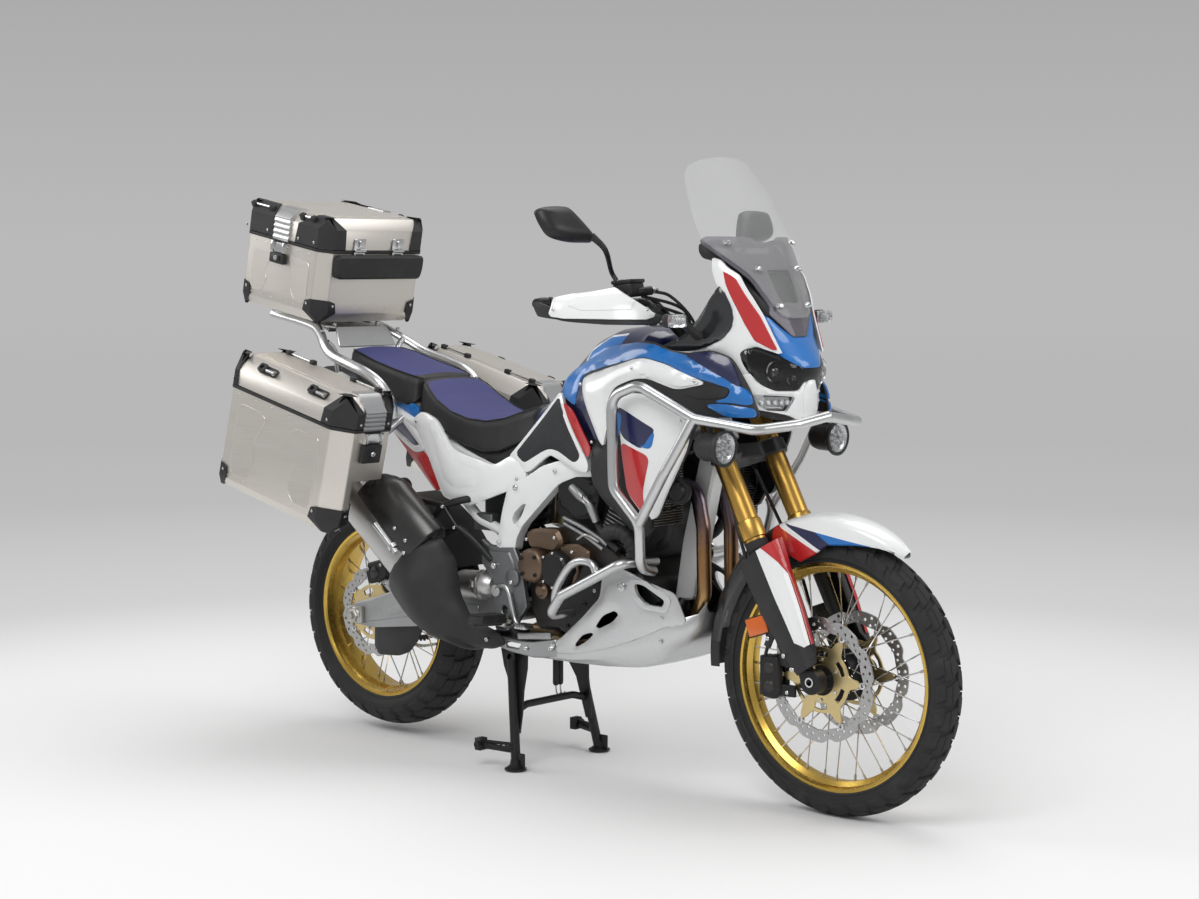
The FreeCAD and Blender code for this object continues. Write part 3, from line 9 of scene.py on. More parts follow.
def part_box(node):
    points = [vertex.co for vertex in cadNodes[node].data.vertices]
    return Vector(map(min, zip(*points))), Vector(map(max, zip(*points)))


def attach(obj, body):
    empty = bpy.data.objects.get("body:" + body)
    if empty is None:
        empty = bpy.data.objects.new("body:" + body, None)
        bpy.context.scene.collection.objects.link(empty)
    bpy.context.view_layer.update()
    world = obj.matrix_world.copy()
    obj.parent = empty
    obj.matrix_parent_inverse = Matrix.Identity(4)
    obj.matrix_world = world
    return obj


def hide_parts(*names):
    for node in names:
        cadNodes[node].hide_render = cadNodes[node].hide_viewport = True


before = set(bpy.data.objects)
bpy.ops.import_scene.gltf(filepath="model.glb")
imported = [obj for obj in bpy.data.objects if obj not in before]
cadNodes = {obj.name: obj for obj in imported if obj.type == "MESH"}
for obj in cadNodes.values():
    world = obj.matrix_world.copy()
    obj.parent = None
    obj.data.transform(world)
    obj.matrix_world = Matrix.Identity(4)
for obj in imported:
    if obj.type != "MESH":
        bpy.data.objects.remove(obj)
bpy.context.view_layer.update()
print("frame loaded:", len(cadNodes), "nodes")


# the middle of a frame node's box
def middle(node):
    low, high = (Vector(corner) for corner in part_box(node))
    return (low + high) / 2


frontHub = middle("front_axle")
rearHub = middle("rear_axle")


# a place given as metres behind the front axle, to the left, and above the floor
def at(back, side, height):
    return Vector((frontHub.x - back, side, height))


def flip(place):
    return Vector((place[0], -place[1], place[2]))


# places on the left or right (hand 1 or -1), each given as (behind, side, height)
def path(hand, *stops):
    return [at(back, hand * side, height) for back, side, height in stops]


def shift(x, y, z):
    return Matrix.Translation((x, y, z))


def spun(degrees, axis):
    return Matrix.Rotation(math.radians(degrees), 4, axis)


# the steering head leans back: forward and up are measured along and across it
steering = {"lean": 27.5, "behindAxle": .0682}
steerTurn = Matrix.Rotation(math.radians(-steering["lean"]), 3, "Y")
steerFoot = at(steering["behindAxle"], 0, frontHub.z)
steerUp = steerTurn @ Vector((0, 0, 1))


def steerAt(forward, side, up):
    return steerFoot + steerTurn @ Vector((forward, side, up))


def steerMatrix(forward, side, up):
    return Matrix.Translation(steerAt(forward, side, up)) @ steerTurn.to_4x4()


# one number of a material's node tree, with its sums written as Python sums
class Value:
    def __init__(self, shade, socket):
        self.shade, self.socket = shade, socket

    def math(self, operation, *others):
        inputs = {0: self}
        for index, other in enumerate(others):
            inputs[index + 1] = other
        return self.shade.node("ShaderNodeMath", {"operation": operation}, inputs)

    def __add__(self, other):
        return self.math("ADD", other)

    def __sub__(self, other):
        return self.math("SUBTRACT", other)

    def __mul__(self, other):
        return self.math("MULTIPLY", other)

    def __truediv__(self, other):
        return self.math("DIVIDE", other)

    def __rsub__(self, other):
        return self.shade.node("ShaderNodeMath", {"operation": "SUBTRACT"}, {0: other, 1: self})

    __radd__ = __add__
    __rmul__ = __mul__

    def over(self, other):  # 1 where this is more than the other
        return self.math("GREATER_THAN", other)

    def under(self, other):
        return self.math("LESS_THAN", other)

    def size(self):
        return self.math("ABSOLUTE")

    def blur(self, low, high):  # 0 below low, 1 above high
        return self.shade.node("ShaderNodeMapRange", {"interpolation_type": "SMOOTHSTEP"},
            {"Value": self, "From Min": low, "From Max": high})


# a material and short calls for its nodes
class Shade:
    def __init__(self, name, **constants):
        self.material = bpy.data.materials.new(name)
        self.material.use_nodes = True
        self.tree = self.material.node_tree
        self.shader = self.tree.nodes["Principled BSDF"]
        self.place = self.node("ShaderNodeTexCoord", out="Object")
        parts = self.node("ShaderNodeSeparateXYZ", inputs={0: self.place}, whole=True)
        self.x, self.y, self.z = (Value(self, parts.outputs[index]) for index in range(3))
        self.set(**constants)

    def node(self, kind, settings=None, inputs=None, out=0, whole=False):
        made = self.tree.nodes.new(kind)
        for key, setting in (settings or {}).items():
            if key == "stops":
                while len(made.color_ramp.elements) < len(setting):
                    made.color_ramp.elements.new(1.0)
                for element, (position, tint) in zip(made.color_ramp.elements, setting):
                    element.position = position
                    element.color = (*tint, 1.0)
            else:
                setattr(made, key, setting)
        for key, value in (inputs or {}).items():
            self.feed(made.inputs[key], value)
        return made if whole else Value(self, made.outputs[out])

    def feed(self, socket, value):
        if isinstance(value, Value):
            self.tree.links.new(value.socket, socket)
        elif socket.type == "RGBA" and len(value) == 3:
            socket.default_value = (*value, 1.0)
        else:
            socket.default_value = value

    def set(self, **sockets):
        for key, value in sockets.items():
            self.feed(self.shader.inputs[key.replace("_", " ")], value)
        return self

    def mix(self, factor, first, second):
        made = self.node("ShaderNodeMix", {"data_type": "RGBA"}, whole=True)
        self.feed(made.inputs[0], factor)
        self.feed(made.inputs[6], first)
        self.feed(made.inputs[7], second)
        return Value(self, made.outputs[2])

    def stretched(self, scale, turn=(0, 0, 0)):
        return self.node("ShaderNodeMapping", inputs={"Vector": self.place, "Scale": scale, "Rotation": turn})

    def noise(self, scale, detail=3.0, rough=.55, where=None, kind="Fac"):
        return self.node("ShaderNodeTexNoise",
            inputs={"Vector": where or self.place, "Scale": scale, "Detail": detail, "Roughness": rough},
            out=kind)

    def cells(self, scale, where=None, feature="F1", out="Distance"):
        return self.node("ShaderNodeTexVoronoi", {"feature": feature},
            {"Vector": where or self.place, "Scale": scale}, out=out)

    def bump(self, height, distance, strength=1.0):
        return self.set(Normal=self.node("ShaderNodeBump",
            inputs={"Height": height, "Distance": distance, "Strength": strength}))

    def side(self, line):  # above 0 on the left of a line through two places in the side view
        (x1, z1), (x2, z2) = line
        length = math.hypot(x2 - x1, z2 - z1)
        return (self.z - z1) * ((x2 - x1) / length) - (self.x - x1) * ((z2 - z1) / length)


print("shader tools ready")


# points through which a smooth line passes, with a fixed number of steps a span
def smoothLine(stops, steps=6, closed=False):
    stops = [Vector(stop) for stop in stops]
    if closed:
        stops = [stops[-1]] + stops + stops[:2]
    else:
        stops = [stops[0] * 2 - stops[1]] + stops + [stops[-1] * 2 - stops[-2]]
    line = []
    for a, b, c, d in zip(stops, stops[1:], stops[2:], stops[3:]):
        for step in range(steps):
            t = step / steps
            line.append((b * 2 + (c - a) * t + (a * 2 - b * 5 + c * 4 - d) * t * t
                + (b * 3 - a - c * 3 + d) * t ** 3) / 2)
    if not closed:
        line.append(stops[-2].copy())
    return line


# corners of a flat outline turned into arcs of the given radius
def roundCorners(outline, radius, steps=4):
    corners = [Vector(corner[:2]) for corner in outline]
    radii = [corner[2] if len(corner) > 2 else radius for corner in outline]
    line = []
    for index, corner in enumerate(corners):
        before, after = corners[index - 1] - corner, corners[(index + 1) % len(corners)] - corner
        reach = min(radii[index], .45 * before.length, .45 * after.length)
        start, end = corner + before.normalized() * reach, corner + after.normalized() * reach
        for step in range(steps + 1):
            t = step / steps
            line.append(start * (1 - t) ** 2 + corner * 2 * t * (1 - t) + end * t * t)
    return line


def circlePoints(centre, radius, count=16):
    return [Vector((centre[0] + radius * math.cos(math.tau * index / count),
        centre[1] + radius * math.sin(math.tau * index / count))) for index in range(count)]


# the matrix whose local z runs along the facing direction
def facing(place, direction, up=(0, 0, 1)):
    forward = Vector(direction).normalized()
    across = Vector(up).cross(forward)
    if across.length < 1e-4:
        across = Vector((1, 0, 0)).cross(forward)
    across.normalize()
    turn = Matrix((across, forward.cross(across), forward)).transposed().to_4x4()
    return Matrix.Translation(Vector(place)) @ turn


# side view: flat outlines are given as (behind, height) and lie at one distance to the left
def sideways(side):
    return Matrix(((-1, 0, 0, frontHub.x), (0, 0, 1, side), (0, 1, 0, 0), (0, 0, 0, 1)))


# surfaces are collected here and then made into one object
class Piece:
    def __init__(self, name, look):
        self.name, self.finishes, self.parts = name, [], []
        self.use(look)

    # what is added next has this look: a name in the finish table, or a material
    def use(self, look):
        material = finish[look] if isinstance(look, str) else look
        if material not in self.finishes:
            self.finishes.append(material)
        self.mark = self.finishes.index(material)
        return self

    def add(self, points, faces, where=None):
        if where is not None:
            points = [where @ Vector(point) for point in points]
        self.parts.append(([tuple(point) for point in points], [tuple(face) for face in faces], self.mark))
        return self

    # rings of equal length joined in order
    def rings(self, rings, closed=False, caps=True, loop=True):
        count = len(rings[0])
        points = [point for ring in rings for point in ring]
        faces = []
        spans = len(rings) if closed else len(rings) - 1
        around = count if loop else count - 1
        for row in range(spans):
            a, b = row * count, (row + 1) % len(rings) * count
            for index in range(around):
                after = (index + 1) % count
                faces.append((a + index, a + after, b + after, b + index))
        if caps and not closed and loop:
            faces.append(tuple(reversed(range(count))))
            faces.append(tuple(range(len(points) - count, len(points))))
        return self.add(points, faces)

    # a tube along places; the radius may be a list with one number a place
    def tube(self, stops, radius, steps=6, sides=12, closed=False, flat=1.0, smooth=True):
        line = smoothLine(stops, steps, closed) if smooth else [Vector(stop) for stop in stops]
        if isinstance(radius, (int, float)):
            radii = [radius] * len(line)
        else:
            at01 = np.linspace(0, 1, len(line))
            radii = np.interp(at01, np.linspace(0, 1, len(radius)), radius)
        ahead = (line[1] - line[0]).normalized()
        across = ahead.orthogonal().normalized()
        if abs(ahead.z) < .95:
            across = Vector((0, 0, 1)).cross(ahead).normalized()
        turns = [math.tau * step / sides for step in range(sides)]
        rings = []
        for index, stop in enumerate(line):
            if closed:
                tangent = line[(index + 1) % len(line)] - line[index - 1]
            else:
                tangent = line[min(index + 1, len(line) - 1)] - line[max(index - 1, 0)]
            tangent.normalize()
            across = (across - tangent * across.dot(tangent)).normalized()
            rise = tangent.cross(across)
            rings.append([stop + (across * math.cos(turn) + rise * math.sin(turn) * flat) * radii[index]
                for turn in turns])
        return self.rings(rings, closed=closed)

    # a profile of (radius, along) turned round an axle
    def lathe(self, profile, place, direction=(0, 1, 0), steps=48, start=0.0, sweep=math.tau, closed=False,
            up=(0, 0, 1)):
        where = facing(place, direction, up)
        whole = sweep > math.tau - .001
        rings = []
        for step in range(steps if whole else steps + 1):
            angle = start + sweep * step / steps
            rings.append([where @ Vector((radius * math.cos(angle), radius * math.sin(angle), along))
                for radius, along in profile])
        count = len(profile)
        points = [point for ring in rings for point in ring]
        faces = []
        for row in range(len(rings) if whole else len(rings) - 1):
            a, b = row * count, (row + 1) % len(rings) * count
            for index in range(count if closed else count - 1):
                after = (index + 1) % count
                faces.append((a + index, b + index, b + after, a + after))
        if closed and not whole:
            faces.append(tuple(range(count)))
            faces.append(tuple(reversed(range(len(points) - count, len(points)))))
        return self.add(points, faces)

    # a flat plate with holes, its edges slightly rounded; the outline lies in the matrix's own x and y
    def plate(self, outline, thick, where, holes=(), edge=0.0):
        loops = [[Vector(point[:2]) for point in outline]] + [[Vector(p[:2]) for p in hole] for hole in holes]
        flat, edges, spans = [], [], []
        for loop in loops:
            first = len(flat)
            flat += loop
            spans.append((first, len(loop)))
            edges += [(first + index, first + (index + 1) % len(loop)) for index in range(len(loop))]
        corners, _, triangles, origins = delaunay_2d_cdt(flat, edges, [], 0, 1e-7)[:4]
        inside = [face for face in triangles
            if self.within(loops, sum((corners[i] for i in face), Vector((0, 0))) / 3)]
        count = len(corners)
        if edge:
            inward = self.insets(loops, edge)
            top = [Vector((*inward.get(index, corners[index]), thick)) for index in range(count)]
            low = [Vector((*inward.get(index, corners[index]), 0)) for index in range(count)]
            high = [Vector((*corners[index], thick - edge)) for index in range(count)]
            base = [Vector((*corners[index], edge)) for index in range(count)]
            layers = [low, base, high, top]
        else:
            layers = [[Vector((*corner, 0)) for corner in corners],
                [Vector((*corner, thick)) for corner in corners]]
        points = [point for layer in layers for point in layer]
        last = (len(layers) - 1) * count
        faces = [tuple(reversed(face)) for face in inside] + [
            tuple(last + i for i in face) for face in inside]
        for first, length in spans:
            for index in range(length):
                a, b = first + index, first + (index + 1) % length
                for layer in range(len(layers) - 1):
                    low, high = layer * count, (layer + 1) * count
                    faces.append((low + a, low + b, high + b, high + a))
        return self.add(points, faces, where)

    @staticmethod
    def within(loops, spot):
        odd = False
        for loop in loops:
            for a, b in zip(loop, loop[1:] + loop[:1]):
                if (a.y > spot.y) != (b.y > spot.y):
                    odd ^= spot.x < (b.x - a.x) * (spot.y - a.y) / (b.y - a.y) + a.x
        return odd

    @staticmethod
    def insets(loops, edge):
        moved, first = {}, 0
        for loop in loops:
            area = sum(a.x * b.y - b.x * a.y for a, b in zip(loop, loop[1:] + loop[:1]))
            hand = (1 if area > 0 else -1) * (1 if loop is loops[0] else -1)
            for index, corner in enumerate(loop):
                along = loop[(index + 1) % len(loop)] - loop[index - 1]
                if along.length > 1e-9:
                    along.normalize()
                moved[first + index] = corner + Vector((-along.y, along.x)) * edge * hand
            first += len(loop)
        return moved

    # a block with rounded edges
    def block(self, size, where, edge=.002, steps=2):
        half = Vector(size) / 2
        edge = min(edge, min(half) * .95)
        mesh = bmesh.new()
        bmesh.ops.create_cube(mesh, size=1.0)
        for vert in mesh.verts:
            vert.co = Vector(vert.co[i] * size[i] for i in range(3))
        bmesh.ops.bevel(mesh, geom=mesh.edges[:], offset=edge, segments=steps, profile=.5, affect="EDGES")
        mesh.verts.index_update()
        points = [vert.co.copy() for vert in mesh.verts]
        faces = [tuple(vert.index for vert in face.verts) for face in mesh.faces]
        mesh.free()
        return self.add(points, faces,
            where if isinstance(where, Matrix) else Matrix.Translation(Vector(where)))

    # a moulded panel: a flat outline (behind, height) filled and pushed out to the given depths.
    # depths are (behind, height, side), or a rule for them; its rim rolls inwards over the edge width.
    # a front panel has its outline as (side, height) and its depths as distances behind the front axle
    def panel(self, outline, depths, wall=.003, roll=.006, edge=.012, grain=.012, side=1, holes=(),
            front=False, soft=.02):
        loops = [self.evenly([Vector((p.x, p.y)) for p in roundCorners(line, soft, 4)], grain * .8)
            for line in (outline, *holes)]
        flat, edges, rim = [], [], []
        for loop in loops:
            first = len(flat)
            flat += loop
            rim.append((first, len(loop)))
            edges += [(first + i, first + (i + 1) % len(loop)) for i in range(len(loop))]
        lows = [min(p[k] for p in loops[0]) for k in (0, 1)]
        highs = [max(p[k] for p in loops[0]) for k in (0, 1)]
        rings = [np.array([(p.x, p.y) for p in loop]) for loop in loops]
        for row in range(int((highs[1] - lows[1]) / grain) + 1):
            for column in range(int((highs[0] - lows[0]) / grain) + 1):
                spot = Vector((lows[0] + (column + .5 * (row % 2)) * grain, lows[1] + row * grain))
                if self.within(loops, spot):
                    if min(self.toRim(ring, np.array([spot]))[0] for ring in rings) > grain * .45:
                        flat.append(spot)
        corners, _, triangles = delaunay_2d_cdt(flat, edges, [], 0, 1e-7)[:3]
        inside = [face for face in triangles
            if self.within(loops, sum((corners[i] for i in face), Vector((0, 0))) / 3)]
        spots = np.array([(p.x, p.y) for p in corners])
        height = depths(spots) if callable(depths) else self.spread(depths, spots)
        gap = np.min([self.toRim(ring, spots) for ring in rings], axis=0)
        drop = roll * (1 - np.sqrt(np.clip(1 - (1 - np.clip(gap / edge, 0, 1)) ** 2, 0, 1)))
        count = len(corners)
        if front:
            outer = [at(h + d, x, z) for (x, z), h, d in zip(spots, height, drop)]
            inner = [Vector((p.x - wall, p.y, p.z)) for p in outer]
        else:
            outer = [at(x, side * (h - d), z) for (x, z), h, d in zip(spots, height, drop)]
            inner = [Vector((p.x, p.y - side * wall, p.z)) for p in outer]
        faces = [tuple(reversed(face)) for face in inside] + [
            tuple(count + i for i in face) for face in inside]
        for first, length in rim:
            for index in range(length):
                a, b = first + index, first + (index + 1) % length
                faces.append((a, b, count + b, count + a))
        return self.add(outer + inner, faces)

    @staticmethod
    def evenly(loop, gap):
        out = []
        for a, b in zip(loop, loop[1:] + loop[:1]):
            if not out or (a - out[-1]).length > gap * .35:
                out.append(a)
            steps = int((b - a).length / gap)
            for step in range(1, steps):
                out.append(a.lerp(b, step / steps))
        if (out[0] - out[-1]).length < gap * .35:
            out.pop()
        return out

    @staticmethod
    def toRim(ring, spots):
        after = np.roll(ring, -1, axis=0)
        along = after - ring
        best = np.full(len(spots), 1e9)
        for a, d in zip(ring, along):
            t = np.clip(((spots - a) @ d) / max(d @ d, 1e-12), 0, 1)
            best = np.minimum(best, np.hypot(*(spots - a - t[:, None] * d).T))
        return best

    # a smooth sheet through a few depths (a thin plate)
    @staticmethod
    def spread(depths, spots):
        known = np.array(depths, dtype=float)
        places, values = known[:, :2], known[:, 2]

        def kernel(first, second):
            gap = np.hypot(first[:, None, 0] - second[None, :, 0], first[:, None, 1] - second[None, :, 1])
            return np.where(gap > 0, gap * gap * np.log(np.maximum(gap, 1e-9)), 0.0)

        count = len(places)
        tail = np.hstack([np.ones((count, 1)), places])
        matrix = np.zeros((count + 3, count + 3))
        matrix[:count, :count] = kernel(places, places)
        matrix[:count, count:], matrix[count:, :count] = tail, tail.T
        weights = np.linalg.lstsq(matrix, np.hstack([values, np.zeros(3)]), rcond=None)[0]
        plane = np.hstack([np.ones((len(spots), 1)), spots])
        return kernel(spots, places) @ weights[:count] + plane @ weights[count:]

    # every surface so far is copied to the other side
    def bothSides(self):
        for points, faces, mark in list(self.parts):
            self.parts.append(([(x, -y, z) for x, y, z in points], [tuple(reversed(face)) for face in faces],
                mark))
        return self

    def mesh(self):
        points, faces, marks = [], [], []
        for part, polygons, mark in self.parts:
            first = len(points)
            points += part
            faces += [tuple(first + index for index in face) for face in polygons]
            marks += [mark] * len(polygons)
        made = bpy.data.meshes.new(self.name)
        made.from_pydata(points, [], faces)
        for material in self.finishes:
            made.materials.append(material)
        made.polygons.foreach_set("material_index", marks)
        return made

    # one object, its doubles merged and its faces pointing out, riding on a body
    def make(self, body=None, slot=None, replaces=(), crease=38):
        made = self.mesh()
        facesOut(made, merge=1e-6)
        made.shade_smooth()
        made.set_sharp_from_angle(angle=math.radians(crease))
        piece = bpy.data.objects.new(self.name, made)
        bpy.context.scene.collection.objects.link(piece)
        if body:
            settle(piece, body, replaces)
        return piece


def settle(piece, body, replaces=()):
    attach(piece, body)
    if replaces:
        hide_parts(*([replaces] if isinstance(replaces, str) else replaces))
    return piece


print("shape tools ready")


# a geometry tree that places copies
class Tree:
    def __init__(self, name, inputs):
        self.tree = bpy.data.node_groups.new(name, "GeometryNodeTree")
        self.tree.interface.new_socket("Geometry", in_out="OUTPUT", socket_type="NodeSocketGeometry")
        self.tree.interface.new_socket("Geometry", in_out="INPUT", socket_type="NodeSocketGeometry")
        for label, kind in inputs.items():
            self.tree.interface.new_socket(label, in_out="INPUT", socket_type="NodeSocket" + kind)
        self.entry = self.tree.nodes.new("NodeGroupInput")

    def given(self, label):
        return self.entry.outputs[label]

    def node(self, kind, settings=None, inputs=None, out=0):
        made = self.tree.nodes.new(kind)
        for key, setting in (settings or {}).items():
            setattr(made, key, setting)
        for key, value in (inputs or {}).items():
            socket = made.inputs[key]
            if isinstance(value, bpy.types.NodeSocket):
                self.tree.links.new(value, socket)
            else:
                socket.default_value = value
        return made.outputs[out]

    # real faces of one finish, as the last two steps of every tree
    def close(self, instances):
        solid = self.node("GeometryNodeRealizeInstances", inputs={0: instances})
        finished = self.node("GeometryNodeSetMaterial",
            inputs={"Geometry": solid, "Material": self.given("Finish")})
        self.tree.links.new(finished, self.tree.nodes.new("NodeGroupOutput").inputs[0])


def copyOf(tree):
    return tree.node("GeometryNodeObjectInfo", inputs={"Object": tree.given("Copy")}, out="Geometry")


# equal copies round an axle; a copy's x points outwards and its z along the axle
ringTree = Tree("copiesRoundAxle", {"Count": "Int", "Radius": "Float", "Along": "Float", "Turn": "Float",
    "Place": "Vector", "Axle": "Vector", "Copy": "Object", "Finish": "Material"})
ringPoints = ringTree.node("GeometryNodeMeshCircle",
    inputs={"Vertices": ringTree.given("Count"), "Radius": ringTree.given("Radius")})
ringStep = ringTree.node("ShaderNodeMath", {"operation": "DIVIDE"}, {0: math.tau, 1: ringTree.given("Count")})
ringAngle = ringTree.node("ShaderNodeMath", {"operation": "MULTIPLY"},
    {0: ringTree.node("GeometryNodeInputIndex"), 1: ringStep})
ringFacing = ringTree.node("ShaderNodeCombineXYZ", inputs={"Z": ringAngle})
ringCopies = ringTree.node("GeometryNodeInstanceOnPoints",
    inputs={"Points": ringPoints, "Instance": copyOf(ringTree), "Rotation": ringFacing})
ringTurned = ringTree.node("GeometryNodeTransform", inputs={"Geometry": ringCopies,
    "Translation": ringTree.node("ShaderNodeCombineXYZ", inputs={"Z": ringTree.given("Along")}),
    "Rotation": ringTree.node("ShaderNodeCombineXYZ", inputs={"Z": ringTree.given("Turn")})})
ringTree.close(ringTree.node("GeometryNodeTransform", inputs={"Geometry": ringTurned,
    "Translation": ringTree.given("Place"), "Rotation": ringTree.given("Axle")}))

# copies on given places, each facing its own way and in its own size
placesTree = Tree("copiesOnPlaces", {"Copy": "Object", "Finish": "Material"})
placesFacing = placesTree.node("FunctionNodeAlignRotationToVector", {"axis": "Z"}, {"Vector": placesTree.node(
    "GeometryNodeInputNamedAttribute", {"data_type": "FLOAT_VECTOR"}, {"Name": "faces"})})
placesSize = placesTree.node("GeometryNodeInputNamedAttribute", {"data_type": "FLOAT_VECTOR"},
    {"Name": "sizes"})
placesTree.close(placesTree.node("GeometryNodeInstanceOnPoints", inputs={
    "Points": placesTree.given("Geometry"), "Instance": copyOf(placesTree), "Rotation": placesFacing,
    "Scale": placesSize}))

# copies along a line at an even gap; a copy's z runs along the line
lineTree = Tree("copiesAlongLine", {"Count": "Int", "Twist": "Float", "Copy": "Object", "Finish": "Material"})
linePoints = lineTree.node("GeometryNodeCurveToPoints", {"mode": "COUNT"}, {
    "Curve": lineTree.node("GeometryNodeMeshToCurve", inputs={0: lineTree.given("Geometry")}),
    "Count": lineTree.given("Count")}).node
lineTurned = lineTree.node("FunctionNodeRotateRotation", {"rotation_space": "LOCAL"}, {
    0: linePoints.outputs["Rotation"],
    1: lineTree.node("ShaderNodeCombineXYZ", inputs={"Z": lineTree.given("Twist")})})
lineTree.close(lineTree.node("GeometryNodeInstanceOnPoints",
    inputs={"Points": linePoints.outputs["Points"], "Instance": copyOf(lineTree), "Rotation": lineTurned}))

# copies in a straight row
rowTree = Tree("copiesInRow",
    {"Count": "Int", "Gap": "Vector", "Place": "Vector", "Copy": "Object", "Finish": "Material"})
rowTree.close(rowTree.node("GeometryNodeInstanceOnPoints", inputs={"Points": rowTree.node(
    "GeometryNodeMeshLine", {"mode": "OFFSET"}, {"Count": rowTree.given("Count"),
    "Start Location": rowTree.given("Place"), "Offset": rowTree.given("Gap")}), "Instance": copyOf(rowTree)}))


# runs a tree once and returns its result as a plain mesh
def grown(name, tree, base=None, **values):
    holder = bpy.data.objects.new(name, base or bpy.data.meshes.new(name))
    bpy.context.scene.collection.objects.link(holder)
    step = holder.modifiers.new("copies", "NODES")
    step.node_group = tree.tree
    for socket in tree.tree.interface.items_tree:
        if socket.in_out == "INPUT" and socket.name in values:
            step[socket.identifier] = values[socket.name]
    evaluated = holder.evaluated_get(bpy.context.evaluated_depsgraph_get())
    result = bpy.data.meshes.new_from_object(evaluated)
    holder.modifiers.clear()
    bpy.data.objects.remove(holder)
    return result


# faces pointing out; doubles merged or open rims filled when asked
def facesOut(mesh, merge=0.0, fill=False):
    work = bmesh.new()
    work.from_mesh(mesh)
    if merge:
        bmesh.ops.remove_doubles(work, verts=work.verts, dist=merge)
    if fill:
        bmesh.ops.holes_fill(work, edges=[edge for edge in work.edges if edge.is_boundary])
    bmesh.ops.recalc_face_normals(work, faces=work.faces)
    work.to_mesh(mesh)
    work.free()


# several plain meshes joined as one finished object
def joined(name, meshes, body, replaces=(), crease=38):
    work = bmesh.new()
    finishes = []
    for mesh in meshes:
        first = len(work.faces)
        marks = []
        for material in mesh.materials:
            if material not in finishes:
                finishes.append(material)
            marks.append(finishes.index(material))
        work.from_mesh(mesh)
        work.faces.ensure_lookup_table()
        for face in work.faces[first:]:
            face.material_index = marks[min(face.material_index, len(marks) - 1)] if marks else 0
    made = bpy.data.meshes.new(name)
    work.to_mesh(made)
    work.free()
    for material in finishes:
        made.materials.append(material)
    made.shade_smooth()
    made.set_sharp_from_angle(angle=math.radians(crease))
    piece = bpy.data.objects.new(name, made)
    bpy.context.scene.collection.objects.link(piece)
    return settle(piece, body, replaces)


def pointsMesh(name, rows):
    mesh = bpy.data.meshes.new(name)
    mesh.from_pydata([tuple(row[0]) for row in rows], [], [])
    for label, index in (("faces", 1), ("sizes", 2)):
        layer = mesh.attributes.new(label, "FLOAT_VECTOR", "POINT")
        layer.data.foreach_set("vector", [number for row in rows for number in row[index]])
    return mesh


def lineMesh(name, stops, closed=False):
    mesh = bpy.data.meshes.new(name)
    count = len(stops)
    mesh.from_pydata([tuple(stop) for stop in stops],
        [(i, (i + 1) % count) for i in range(count if closed else count - 1)], [])
    return mesh


# fasteners are listed while the pieces are made, and grown together at the end
fasteners = {}


def bolt(style, body, place, direction, width=.01, tall=None):
    tall = width * .6 if tall is None else tall
    fasteners.setdefault((style, body), []).append((Vector(place), Vector(direction), (width, width, tall)))


def boltRow(style, body, places, direction, width=.01, tall=None, both=False):
    for place in places:
        bolt(style, body, place, direction, width, tall)
        if both:
            bolt(style, body, flip(place), flip(direction), width, tall)


print("tree tools ready")

# colours as linear red, green and blue
tints = {
    "white": (.8, .81, .81), "blue": (.004, .145, .47), "navy": (.006, .009, .06), "red": (.47, .016, .018),
    "black": (.012, .012, .013), "gold": (.66, .44, .1), "bronze": (.165, .115, .08),
    "silver": (.58, .585, .59), "case": (.64, .61, .565), "vinylTop": (.04, .042, .155),
    "grey": (.085, .088, .092), "orange": (.62, .115, .008),
}


# lacquer: faint waviness, a little dust in the roughness, a clear coat
def lacquer(name, tint, paint=None, rough=.3, coat=.8):
    shade = Shade(name, Coat_Weight=coat, Coat_Roughness=.05, IOR=1.5)
    base = paint(shade) if paint else tint
    shade.set(Base_Color=base, Roughness=shade.noise(9.0, 4.0) * .1 + (rough - .05))
    shade.bump(shade.noise(140.0, 2.0), .00006, .35)
    return shade.material


# moulded plastic with a fine leather-like grain
def mouldedPlastic(name, tint, rough=.52, grain=900.0, deep=.00012, wear=.35):
    shade = Shade(name, IOR=1.46)
    cloud = shade.noise(14.0, 5.0)
    speck = shade.noise(420.0, 2.0)
    shade.set(Base_Color=shade.mix(cloud.blur(.35, .75) * wear, tint, tuple(c * 1.9 + .006 for c in tint)),
        Roughness=cloud * .14 + speck * .06 + (rough - .1))
    shade.bump(shade.cells(grain) * .8 + speck * .4, deep, .6)
    return shade.material


# cast metal, sand-blasted or painted: rounded grain and darker hollows
def castMetal(name, tint, rough=.45, metallic=.85, grain=620.0, deep=.00022, patch=.35):
    shade = Shade(name, Metallic=metallic)
    cloud = shade.noise(11.0, 6.0, .6)
    fine = shade.noise(grain, 3.0, .6)
    shade.set(Base_Color=shade.mix(cloud.blur(.3, .8) * patch, tint, tuple(c * .55 for c in tint)),
        Roughness=cloud * .16 + fine * .1 + (rough - .13))
    shade.bump(fine, deep, .7)
    return shade.material


# brushed sheet: long fine scratches along one direction
def brushedMetal(name, tint, along=(1, 0, 0), rough=.34, metallic=1.0, strength=.5):
    shade = Shade(name, Metallic=metallic)
    fine = tuple(9.0 if axis else 900.0 for axis in along)
    coarse = tuple(3.0 if axis else 160.0 for axis in along)
    lines = shade.noise(1.0, 3.0, .6, shade.stretched(fine))
    bands = shade.noise(1.0, 3.0, .5, shade.stretched(coarse))
    cloud = shade.noise(5.0, 5.0)
    shade.set(Base_Color=shade.mix(lines.blur(.25, .8) * .3 + cloud * .18, tint,
        tuple(min(1.0, c * 1.35 + .02) for c in tint)), Roughness=lines * .18 + bands * .1 + (rough - .12))
    shade.bump(lines * .7 + bands * .3, .00008, strength)
    return shade.material


